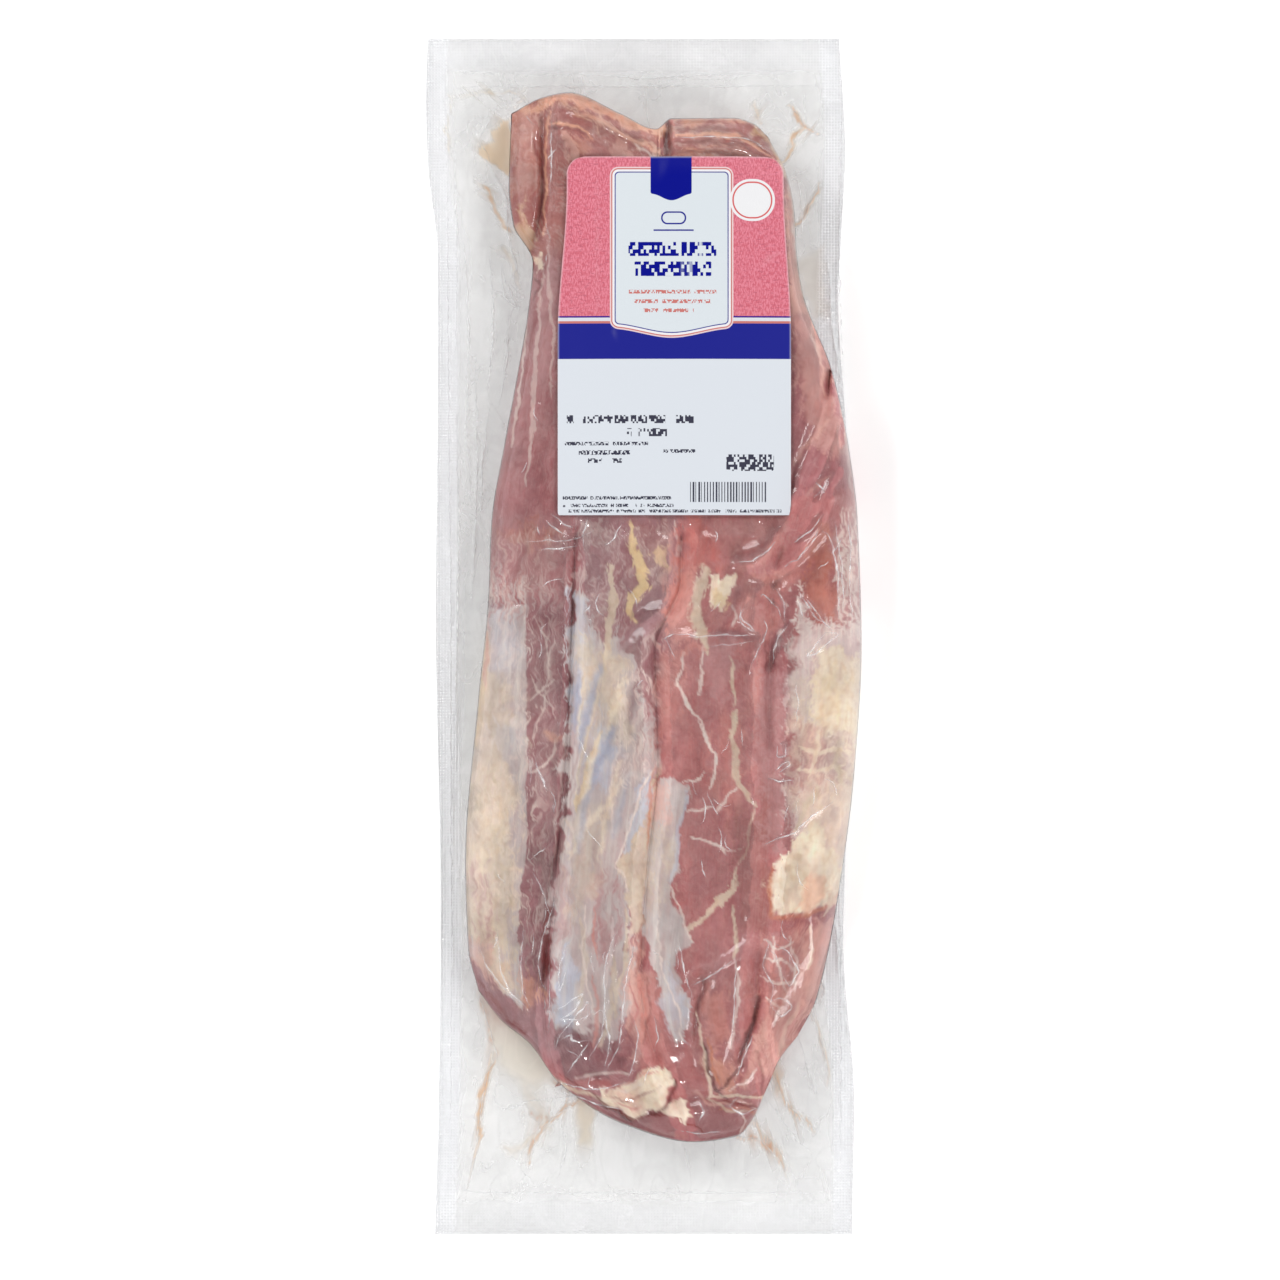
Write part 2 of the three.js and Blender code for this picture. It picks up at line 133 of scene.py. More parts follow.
class Noise:
    """Smooth random values over a plane, the same on each run."""

    CELLS = 256

    def __init__(self, seed: int) -> None:
        """Draws the directions of the noise's lattice.

        Args:
            seed: Start of the random draw.
        """
        turn = np.random.default_rng(seed).random((self.CELLS, self.CELLS)) * 2.0 * math.pi
        self.across, self.along = np.cos(turn), np.sin(turn)

    def plain(self, u: np.ndarray, v: np.ndarray) -> np.ndarray:
        """Evaluates one layer of noise.

        Args:
            u: First coordinate, in lattice cells.
            v: Second coordinate, in lattice cells.

        Returns:
            Values from about -1 to 1.
        """
        iu, iv = np.floor(u).astype(int), np.floor(v).astype(int)
        fu, fv = u - iu, v - iv
        corners = []
        for du in (0, 1):
            for dv in (0, 1):
                at = (iu + du) % self.CELLS, (iv + dv) % self.CELLS
                corners.append(self.across[at] * (fu - du) + self.along[at] * (fv - dv))
        wu = fu * fu * fu * (fu * (6 * fu - 15) + 10)
        wv = fv * fv * fv * (fv * (6 * fv - 15) + 10)
        low = mix(corners[0], corners[1], wv)
        high = mix(corners[2], corners[3], wv)
        return 1.5 * mix(low, high, wu)

    def layered(self, u: np.ndarray, v: np.ndarray, layers: int = 3) -> np.ndarray:
        """Adds ever finer layers of noise.

        Args:
            u: First coordinate, in cells of the coarsest layer.
            v: Second coordinate, in cells of the coarsest layer.
            layers: How many layers, each twice as fine and half as strong.

        Returns:
            Values from about -1 to 1.
        """
        total, strength = 0.0, 1.0
        for layer in range(layers):
            total = total + strength * self.plain(u * 2**layer + 17.3 * layer, v * 2**layer - 9.1 * layer)
            strength *= 0.5
        return total

    def ridged(self, u: np.ndarray, v: np.ndarray, layers: int = 2) -> np.ndarray:
        """Adds layers of noise that make thin crests.

        Args:
            u: First coordinate, in cells of the coarsest layer.
            v: Second coordinate, in cells of the coarsest layer.
            layers: How many layers, each twice as fine and half as strong.

        Returns:
            Values of 1 on a crest and near 0 between crests.
        """
        return 1.0 - np.clip(np.abs(self.layered(u, v, layers)), 0.0, 1.0)


def near_path(points: np.ndarray, x: np.ndarray, y: np.ndarray) -> tuple[np.ndarray, np.ndarray]:
    """Measures how far places lie from a bent line.

    Args:
        points: Corners of the line, one row each.
        x: Places across.
        y: Places along.

    Returns:
        The distance to the line, and the share of its length at the nearest point.
    """
    lengths = np.hypot(*np.diff(points, axis=0).T)
    starts = np.concatenate(([0.0], np.cumsum(lengths)))
    nearest = np.full(x.shape, np.inf)
    share = np.zeros(x.shape)
    for i, (a, b) in enumerate(zip(points[:-1], points[1:])):
        step = b - a
        t = np.clip(((x - a[0]) * step[0] + (y - a[1]) * step[1]) / max(step @ step, 1e-9), 0.0, 1.0)
        away = np.hypot(x - a[0] - t * step[0], y - a[1] - t * step[1])
        closer = away < nearest
        nearest = np.where(closer, away, nearest)
        share = np.where(closer, (starts[i] + t * lengths[i]) / starts[-1], share)
    return nearest, share


def near_box(points: np.ndarray, margin: float, x: np.ndarray, y: np.ndarray) -> np.ndarray:
    """Picks the places in the upright box round a line or an outline.

    Args:
        points: Corners of the line or the outline, one row each.
        margin: How far the box reaches past them.
        x: Places across.
        y: Places along.

    Returns:
        The numbers of the places inside.
    """
    low, high = points.min(0) - margin, points.max(0) + margin
    return np.flatnonzero((x > low[0]) & (x < high[0]) & (y > low[1]) & (y < high[1]))


def inside_outline(points: np.ndarray, x: np.ndarray, y: np.ndarray) -> np.ndarray:
    """Tells which places lie inside a closed outline.

    Args:
        points: Corners of the outline, one row each.
        x: Places across.
        y: Places along.

    Returns:
        True for each place inside.
    """
    inside = np.zeros(x.shape, bool)
    for a, b in zip(points, np.roll(points, -1, axis=0)):
        crosses = (a[1] > y) != (b[1] > y)
        rise = b[1] - a[1] if b[1] != a[1] else 1e-9
        inside ^= crosses & (x < a[0] + (y - a[1]) * (b[0] - a[0]) / rise)
    return inside


@dataclass
class PackForm:
    """The solid form of the pack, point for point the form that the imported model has."""

    wall_top: float = 13.0
    wall_middle: float = 8.5
    foot_inset: float = 2.5
    wall_middle_inset: float = 0.7
    sole_inset_across: float = 0.075
    sole_inset_along: float = 0.035
    lobe_power: float = 2.3
    lobe_overlap: float = 3.0
    lobe_blend: float = 2.4
    end_rounding: float = 24.0
    rim_height_at_meat: float = 5.2
    rim_height_at_edge: float = 2.9
    rim_wave: float = 1.1
    rim_least_width: float = 3.5
    half_length: float = 240.0
    label_left: float = -34.2
    label_right: float = 58.8
    label_top: float = 191.4
    label_bottom: float = 47.6
    label_top_inset: float = 3.6
    label_right_share: float = 0.8
    label_taper: float = 60.0
    label_crown: float = 38.5
    label_fall_across: float = 4.6
    label_fall_along: float = 2.4
    label_blend: float = 9.0
    halvings: int = 24

    def __post_init__(self) -> None:
        """Lays out the outlines, seams, crowns and folds."""
        self.rim_left = Curve(
            (-240, -83.8), (-185, -82.2), (-105, -81.4), (6, -83.4), (118, -82.6),
            (152, -82.6), (190, -86.6), (215, -87.4), (240, -86.6),
        )
        self.rim_right = Curve(
            (-240, 83.8), (-185, 84.6), (-125, 80.2), (-65, 82), (0, 83), (79, 81.6),
            (135, 78.2), (195, 81), (240, 78.6),
        )
        self.meat_left = Curve(
            (-142, -66), (-125, -70.2), (-90, -71.4), (-25, -66.2), (15, -62.2), (45, -61),
            (79, -55.4), (107, -50.2), (131, -46.2), (150, -44.4), (165, -52.2), (180, -54),
            (209.5, -53),
        )
        self.meat_right = Curve(
            (-160, 61.8), (-145, 69.4), (-101, 78.6), (-49, 85), (-5, 87.4), (47, 85.8),
            (79, 81.8), (107, 75.4), (138, 63.8), (154, 61.4), (170, 60.5), (185, 57.4),
            (200, 50),
        )
        self.meat_top = Curve(
            (-53, 209.5), (-41, 215.8), (-30, 218), (-9, 209.4), (5, 203.4), (11, 207.6),
            (36, 207.8), (44, 205.5), (50, 200),
        )
        self.meat_bottom = Curve(
            (-66, -142), (-57.4, -153.4), (-45.4, -163.4), (-33.4, -179.4), (-7, -195.8),
            (20, -202.6), (37.4, -200.2), (44, -193), (53, -171.8), (61.8, -160),
        )
        self.left_seam = Curve(
            (-200, -20), (-172, -36), (-149, -39.4), (-105, -34.2), (-25, -28.6),
            (44, -26.2), (100, -16), (160, 4), (210, 6),
        )
        self.right_seam = Curve(
            (-200, 18), (-140, -1), (-101, 0.6), (-49, 5.8), (-5, 4.6), (22, 15.6),
            (44, 15.8), (120, 8), (210, 5),
        )
        self.outer_groove = Curve(
            (-200, 60), (-150, 44), (-97, 50), (15, 51), (60, 64), (90, 78), (130, 84),
        )
        over = self.lobe_overlap
        left_crown = Curve((-190, 21), (-150, 27), (-60, 30), (44, 31), (100, 34), (190, 34))
        middle_crown = Curve((-200, 27), (-150, 33), (-90, 36), (-10, 35), (60, 36))
        right_crown = Curve((-200, 28), (-150, 34), (-60, 38), (44, 39.5), (120, 39), (200, 36))
        outer_crown = Curve((-170, 25), (-110, 31), (-40, 34), (40, 35), (110, 30))
        self.lobes = (
            (self.meat_left, lambda y: self.left_seam(y) + over, left_crown, 240, -194),
            (lambda y: self.left_seam(y) - over, lambda y: self.right_seam(y) + over,
             middle_crown, 150, -214),
            (lambda y: self.right_seam(y) - over,
             lambda y: np.minimum(self.outer_groove(y) + 1.5 * over, self.meat_right(y)),
             right_crown, 240, -220),
            (lambda y: self.outer_groove(y) - 2 * over, self.meat_right, outer_crown, 124, -186),
        )
        self.folds = (
            (((-39.4, 211), (-39.6, 175), (-44, 150)), 5, -4.2),
            (((-27, 213), (-10, 201), (8, 191)), 5, 3.2),
            (((16, 196), (34, 196), (50, 188)), 5, 2.4),
            (((9, 206), (10, 190)), 5, -4),
            (((69, 128), (74, 108), (75, 96)), 4.5, -4),
            (((74, 86), (60, 70), (50, 44)), 6, -2.6),
            (((20, -138), (30, -134), (44, -126)), 5, -2.4),
            (((23, -136), (22, -155), (25, -172)), 5, -3),
            (((45, -131), (43, -155), (37, -171)), 5, -3.4),
            (((-18, -176), (4, -187), (22, -184), (44, -186)), 5, -3.6),
            (((-24, -25), (-22, 6), (-5, 40)), 7, 1.2),
            (((66, -94), (70, -130)), 8, 1.6),
        )

    def plan(self, across: np.ndarray, along: np.ndarray) -> tuple[np.ndarray, np.ndarray]:
        """Places a point of the meat's plan.

        Args:
            across: Share from the left side to the right.
            along: Share from the heads to the tails.

        Returns:
            The point's X and Y.
        """
        top, bottom = self.meat_top, self.meat_bottom
        first_top, last_top = (top.places[0], top.values[0]), (top.places[-1], top.values[-1])
        first_low = (bottom.places[0], bottom.values[0])
        last_low = (bottom.places[-1], bottom.values[-1])
        top_x = mix(first_top[0], last_top[0], across)
        low_x = mix(first_low[0], last_low[0], across)
        left_y = mix(first_top[1], first_low[1], along)
        right_y = mix(last_top[1], last_low[1], along)
        sides = mix(self.meat_left(left_y), self.meat_right(right_y), across)
        ends = mix(top(top_x), bottom(low_x), along)
        far_y = mix(first_top[1], last_top[1], across)
        near_y = mix(first_low[1], last_low[1], across)
        return sides, ends + mix(left_y, right_y, across) - mix(far_y, near_y, along)

    def place_of(self, guide: Curve, along: np.ndarray) -> np.ndarray:
        """Finds where a line down the meat crosses rows of the plan.

        Args:
            guide: The line's X at each Y.
            along: The rows' shares along.

        Returns:
            The share across of each crossing.
        """
        low, high = np.zeros(along.shape), np.ones(along.shape)
        for _ in range(self.halvings):
            middle = (low + high) / 2
            x, y = self.plan(middle, along)
            left = x < guide(y)
            low, high = np.where(left, middle, low), np.where(left, high, middle)
        return low

    def lobe_height(self, lobe: tuple, x: np.ndarray, y: np.ndarray) -> np.ndarray:
        """Works out the height of one round lobe of meat.

        Args:
            lobe: Its left side, right side and crown, and the Y of its far and near ends.
            x: Places across.
            y: Places along.

        Returns:
            The lobe's height at each place.
        """
        left_side, right_side, crown, far, near = lobe
        left, right = left_side(y), right_side(y)
        across = np.clip(np.abs(2 * (x - left) / (right - left) - 1), 0.0, 1.0)
        ends = rounded_end(far - y, self.end_rounding) * rounded_end(y - near, self.end_rounding)
        round_share = np.sqrt(1.0 - across**self.lobe_power)
        return self.wall_top + (crown(y) - self.wall_top) * round_share * ends

    def label_inset(self, y: np.ndarray) -> np.ndarray:
        """Returns how far the label's left side leans inwards at each Y."""
        middle = (self.label_bottom + self.label_top) / 2
        return self.label_top_inset * smooth_step((y - middle) / self.label_taper)

    def outside_label(self, x: np.ndarray, y: np.ndarray) -> np.ndarray:
        """Measures how far plan places lie outside the label.

        Args:
            x: Places across.
            y: Places along.

        Returns:
            The distance, 0 under the label.
        """
        inset = self.label_inset(y)
        right = self.label_right - self.label_right_share * inset
        across = np.maximum(self.label_left + inset - x, x - right)
        along = np.maximum(self.label_bottom - y, y - self.label_top)
        return np.hypot(np.maximum(across, 0), np.maximum(along, 0))

    def height(self, x: np.ndarray, y: np.ndarray) -> np.ndarray:
        """Works out the height of the film's surface over the meat.

        Args:
            x: Places across.
            y: Places along.

        Returns:
            The height at each place.
        """
        height = np.full(x.shape, self.wall_top)
        for lobe in self.lobes:
            height = blended_max(height, self.lobe_height(lobe, x, y), self.lobe_blend)
        for path, reach, rise in self.folds:
            height = height + rise * hump(near_path(np.array(path, float), x, y)[0], reach)
        half_across = (self.label_right - self.label_left) / 2
        half_along = (self.label_top - self.label_bottom) / 2
        across = (x - (self.label_left + self.label_right) / 2) / half_across
        along = (y - (self.label_bottom + self.label_top) / 2) / half_along
        dome = self.label_crown - self.label_fall_across * across**2
        dome = dome - self.label_fall_along * along**2
        height = mix(dome, height, smooth_step(self.outside_label(x, y) / self.label_blend))
        ends = rounded_end(self.meat_top(x) - y, self.end_rounding)
        ends = ends * rounded_end(y - self.meat_bottom(x), self.end_rounding)
        side = np.minimum(x - self.meat_left(y), self.meat_right(y) - x)
        sides = rounded_end(side, 2 * self.foot_inset)
        return self.wall_top + np.maximum(0, height - self.wall_top) * ends * sides

    def rim_plan(self, across: np.ndarray, along: np.ndarray) -> tuple[np.ndarray, np.ndarray]:
        """Returns the point of the pack's outer edge that belongs to a place on the border."""
        y = mix(self.half_length, -self.half_length, along)
        return mix(self.rim_left(y), self.rim_right(y), across), y

    def sole(self, across: np.ndarray, along: np.ndarray) -> tuple[np.ndarray, np.ndarray]:
        """Places a point of the flat sole under the meat.

        Args:
            across: Share from the left side to the right.
            along: Share from the heads to the tails.

        Returns:
            The point's X and Y.
        """
        return self.plan(
            mix(self.sole_inset_across, 1 - self.sole_inset_across, across),
            mix(self.sole_inset_along, 1 - self.sole_inset_along, along),
        )

    def rim_height(self, x: np.ndarray, y: np.ndarray, share: np.ndarray) -> np.ndarray:
        """Works out the height of the film rim.

        Args:
            x: Places across.
            y: Places along.
            share: 0 at the meat and 1 at the pack's edge.

        Returns:
            The height at each place.
        """
        wave = np.sin(y / 17 + x / 60) * 0.6 + np.sin(y / 31 - x / 23 + 1) * 0.4
        slope = mix(self.rim_height_at_meat, self.rim_height_at_edge, share)
        return slope + self.rim_wave * wave * (0.35 + 0.65 * share)


class Tissue(Enum):
    """What shows on the meat, each with its colour as it looks through the film."""

    HEAD = (172, 108, 99)
    TAN = (220, 172, 146)
    ROSY = (165, 110, 112)
    MAUVE = (176, 136, 136)
    PURPLE = (158, 122, 125)
    DEEP_PURPLE = (126, 82, 86)
    DARK = (92, 44, 44)
    RED = (177, 115, 113)
    BRIGHT_RED = (188, 106, 98)
    PINK = (199, 142, 133)
    BROWN = (148, 98, 93)
    PALE_PINK = (208, 166, 154)
    SILVER = (193, 183, 180)
    BLUE_SILVER = (187, 189, 199)
    CREAM = (209, 195, 176)
    FAT = (228, 215, 196)
    YELLOW_FAT = (219, 197, 156)
    WEB = (224, 210, 201)
    BLOOD = (124, 40, 36)
    ORANGE = (196, 128, 98)
    LILAC = (216, 200, 196)
    # Painted shadow of the silverskin's folds.
    BLUE_SHADE = (164, 167, 182)


KINDS = {
    "fat": (Tissue.FAT, Tissue.YELLOW_FAT, Tissue.CREAM),
    "silver": (Tissue.SILVER, Tissue.BLUE_SILVER, Tissue.WEB, Tissue.LILAC),
    "dark": (Tissue.DARK, Tissue.BLOOD),
}


class Look(Enum):
    """How a mark covers what lies under it."""

    SOLID = 0
    STREAKED = 1
    WEBBED = 2


@dataclass(frozen=True)
class Mark:
    """One patch or strand of tissue, drawn on the meat's plan."""

    tissue: Tissue
    points: tuple[Point, ...]
    width: float = 0.0
    strength: float = 1.0
    soft: float = 1.6
    ragged: float = 1.0
    rise: float = 0.0
    look: Look = Look.SOLID

    def cover(self, x: np.ndarray, y: np.ndarray, soft: np.ndarray, fray: np.ndarray | float = 0.0
              ) -> np.ndarray:
        """Works out how strongly the mark covers places.

        Args:
            x: Places across, already made to wander.
            y: Places along, already made to wander.
            soft: Width of the mark's soft edge at each place.
            fray: How far the mark's edge is moved outwards at each place.

        Returns:
            The share covered, from 0 to 1.
        """
        points = np.array(self.points, float)
        if self.width > 0:
            away, share = near_path(points, x, y)
            taper = 0.25 + 0.75 * np.sin(math.pi * np.clip(share, 0.02, 0.98)) ** 0.5
            return smooth_step((0.5 * self.width * taper + fray - away) / soft + 0.5)
        away, _ = near_path(np.vstack((points, points[:1])), x, y)
        signed = np.where(inside_outline(points, x, y), away, -away)
        return smooth_step((signed + fray) / soft + 0.5)


def patch(tissue: Tissue, *points: Point, **facts: object) -> Mark:
    """Returns a filled patch of tissue with the given outline."""
    return Mark(tissue, points, **facts)


def strand(tissue: Tissue, width: float, *points: Point, **facts: object) -> Mark:
    """Returns a strand of tissue that follows the given line."""
    return Mark(tissue, points, width=width, **{"soft": 0.7, "ragged": 0.5, **facts})


STREAKED, WEBBED = Look.STREAKED, Look.WEBBED

HEAD_MARKS = (
    patch(Tissue.HEAD, (-56, 222), (8, 222), (8, 186), (-30, 150), (-56, 150), strength=0.75, soft=8),
    patch(Tissue.HEAD, (8, 216), (62, 216), (62, 184), (8, 184), strength=0.7, soft=6),
    patch(Tissue.ORANGE, (-54, 204), (-53, 212), (-38, 218), (-20, 218), (0, 209), (9, 203), (9, 199),
          (-14, 210), (-30, 214), (-44, 211), (-50, 205), strength=0.4, soft=4),
    patch(Tissue.TAN, (-50, 212), (-38, 217), (-22, 217), (-8, 211), (8, 204), (8, 200), (-8, 206),
          (-20, 211), (-36, 213), (-47, 209), strength=0.85, soft=2, ragged=1.4, rise=0.3),
    # Painted shade along the groove of the fold that runs here.
    patch(Tissue.BROWN, (-24, 208), (-10, 203), (6, 196), (6, 191), (-10, 198), (-24, 205),
          strength=0.6, soft=2),
    patch(Tissue.TAN, (-31, 211), (-22, 209.6), (-11, 203), (4, 195.6), (7, 191), (-4, 196), (-15, 202),
          (-26, 207), strength=0.7, soft=2, rise=0.2),
    patch(Tissue.PINK, (-50, 208), (-43, 210), (-42, 196), (-44, 184), (-51, 182), strength=0.4,
          soft=5, ragged=2),
    patch(Tissue.TAN, (-50, 212), (-43, 214), (-42, 180), (-46, 160), (-52, 158), (-52, 190),
          strength=0.15,
          soft=5, ragged=2),
    patch(Tissue.WEB, (-52, 216), (6, 206), (4, 186), (-42, 186), (-44, 150), (-52, 160), strength=0.25,
          soft=4, look=WEBBED),
    patch(Tissue.WEB, (10, 210), (48, 210), (58, 188), (10, 188), strength=0.4, soft=4, look=WEBBED),
    patch(Tissue.WEB, (-46, 150), (-30, 186), (-26, 60), (-60, 60), strength=0.25, soft=6, look=WEBBED),
    patch(Tissue.BROWN, (-51, 184), (-42, 186), (-41.6, 168), (-46, 160), (-51, 166), strength=0.3,
          soft=5),
    patch(Tissue.YELLOW_FAT, (-52, 170), (-48, 174), (-45, 160), (-44, 149), (-47, 147), (-52, 158),
          strength=0.45, soft=4, ragged=2),
    strand(Tissue.BLOOD, 1.8, (-43, 197), (-41.6, 190), (-40.4, 183), strength=0.6, soft=1.6),
    # Painted shade along the groove of the fold that runs here.
    strand(Tissue.DARK, 1.2, (-40.2, 206), (-40, 190), (-40, 172), (-42, 158), strength=0.5, soft=1.4),
    strand(Tissue.TAN, 1.0, (-37.4, 210), (-38.8, 204), (-39, 188), (-39.2, 172), (-40.6, 160),
           strength=0.85, rise=0.3),
    patch(Tissue.BROWN, (-38, 206), (-31, 203), (-32, 190), (-34, 176), (-38.6, 172),
          strength=0.35, soft=3),
    strand(Tissue.TAN, 1.4, (-38, 203.6), (-31.4, 205), (-26, 203), (-20.6, 199), strength=0.9, rise=0.3),
    # Painted shade along the groove of the fold that runs here.
    strand(Tissue.DARK, 1.0, (-37.6, 202), (-31, 203.4), (-26, 201.4), (-20, 197), strength=0.4, soft=1.4),
    patch(Tissue.RED, (-28, 202), (-20, 198), (-12, 193), (-14, 188), (-24, 188), strength=0.6, soft=3),
    patch(Tissue.PALE_PINK, (-33, 202), (-30, 201), (-26, 193), (-25.4, 187), (-28, 186), (-31.4, 194),
          strength=0.85, soft=1.2),
    patch(Tissue.TAN, (-28.4, 199), (-23, 199), (-22, 194), (-26, 192), strength=0.35, soft=3),
    patch(Tissue.PALE_PINK, (-12, 198), (-8, 197), (-3, 190), (-1, 187), (-10, 187.4), (-11.4, 192),
          strength=0.7, soft=1.8, ragged=1.6),
    strand(Tissue.WEB, 1.0, (-3, 196), (2, 192.6), (7, 189.6), strength=0.7),
    # Painted shade along the deep groove between the head's folds.
    strand(Tissue.DARK, 2.2, (9, 208), (9.4, 198), (10, 190), strength=0.8, soft=2),
    strand(Tissue.BLOOD, 1.6, (10.6, 199), (11.4, 194), (11, 190), strength=0.7, soft=1.6),
    patch(Tissue.TAN, (12, 211), (24, 213), (42, 210), (44, 205), (30, 206), (14, 204),
          strength=0.6, soft=3, ragged=1.6),
    patch(Tissue.PALE_PINK, (16, 206.6), (26, 208), (36, 206), (34, 204), (20, 204),
          strength=0.5, soft=2, ragged=1.6),
    # The brown strands below are painted shade in the grooves between the tan ridges of the fold.
    strand(Tissue.BROWN, 1.4, (14, 202.6), (26, 203.6), (38, 201), (46, 198), strength=0.7, soft=1.4),
    strand(Tissue.TAN, 1.6, (12.6, 199.8), (26, 200.8), (38, 199), (46, 195.6), (52, 190),
           strength=0.8, rise=0.3),
    strand(Tissue.BROWN, 1.4, (13, 197.2), (26, 197.8), (40, 196), (50, 189), strength=0.7, soft=1.4),
    patch(Tissue.TAN, (13, 195), (30, 196), (44, 192), (44, 189), (13, 190), strength=0.4, soft=3,
          look=STREAKED),
    strand(Tissue.BROWN, 1.0, (14, 193), (28, 193.4), (42, 190.6), strength=0.5),
    patch(Tissue.YELLOW_FAT, (44, 207), (50, 203), (56, 192), (60, 182), (56, 184), (50, 196), (44, 203),
          strength=0.55, soft=2, ragged=1.4),
    strand(Tissue.WEB, 1.2, (44, 205), (50, 199), (56, 189), (60, 172), strength=0.5),
)

UPPER_MARKS = (
    patch(Tissue.ROSY, (-56, 152), (-34, 152), (-26, 48), (-62, 46), strength=0.7, soft=6),
    patch(Tissue.MAUVE, (-40, 150), (-34, 150), (-26, 60), (-40, 60), (-48, 100),
          strength=0.6, soft=4, look=STREAKED),
    strand(Tissue.WEB, 1.6, (-39.4, 149), (-41.4, 134), (-43, 114), (-44.2, 86), (-47, 60), strength=0.45),
    strand(Tissue.WEB, 1.2, (-37, 160), (-38, 140), (-36, 120), (-37, 96), strength=0.4),
    strand(Tissue.WEB, 0.9, (-47, 126), (-49, 100), (-53, 76), strength=0.6),
    patch(Tissue.FAT, (-45, 152), (-41, 153), (-39.6, 148), (-43, 146), strength=0.9, rise=0.3),
    strand(Tissue.DARK, 1.2, (-45, 144), (-41, 140), (-44, 134), strength=0.5),
    patch(Tissue.MAUVE, (-62, 50), (-28, 50), (-27, 14), (-64, 14), strength=0.6, soft=8),
    patch(Tissue.ORANGE, (-56, 43), (-44, 44), (-32, 41), (-36, 36), (-54, 36),
          strength=0.3, soft=5, ragged=2),
    patch(Tissue.PALE_PINK, (58, 190), (62, 180), (63, 150), (66, 130), (60, 128), (57, 160),
          strength=0.8, soft=3),
    patch(Tissue.ROSY, (60, 130), (70, 128), (88, 70), (88, 44), (60, 46), strength=0.55, soft=6),
    strand(Tissue.WEB, 1.4, (60, 180), (61, 160), (63.5, 142), (67, 126), (71, 108), strength=0.7),
    strand(Tissue.BROWN, 1.2, (70.2, 127), (72.5, 118), (74.2, 109), (75.4, 96), strength=0.4, soft=2),
    patch(Tissue.PALE_PINK, (58, 150), (68, 130), (76, 100), (80, 74), (68, 76), (60, 110), strength=0.5,
          soft=6, ragged=2),
    patch(Tissue.LILAC, (77, 54), (90, 54), (90, -2), (77, 2), strength=0.6, soft=5),
    strand(Tissue.PALE_PINK, 1.4, (67.6, 127), (71, 109), (72.6, 96), strength=0.6),
    strand(Tissue.WEB, 1.0, (77, 104), (80, 88), (83, 66), (84, 48), strength=0.5),
    strand(Tissue.PALE_PINK, 1.6, (74, 86), (68, 80), (60, 69), strength=0.5, soft=1.6),
    strand(Tissue.PALE_PINK, 1.4, (74, 64), (69, 60), (65, 55), strength=0.45, soft=1.6),
)

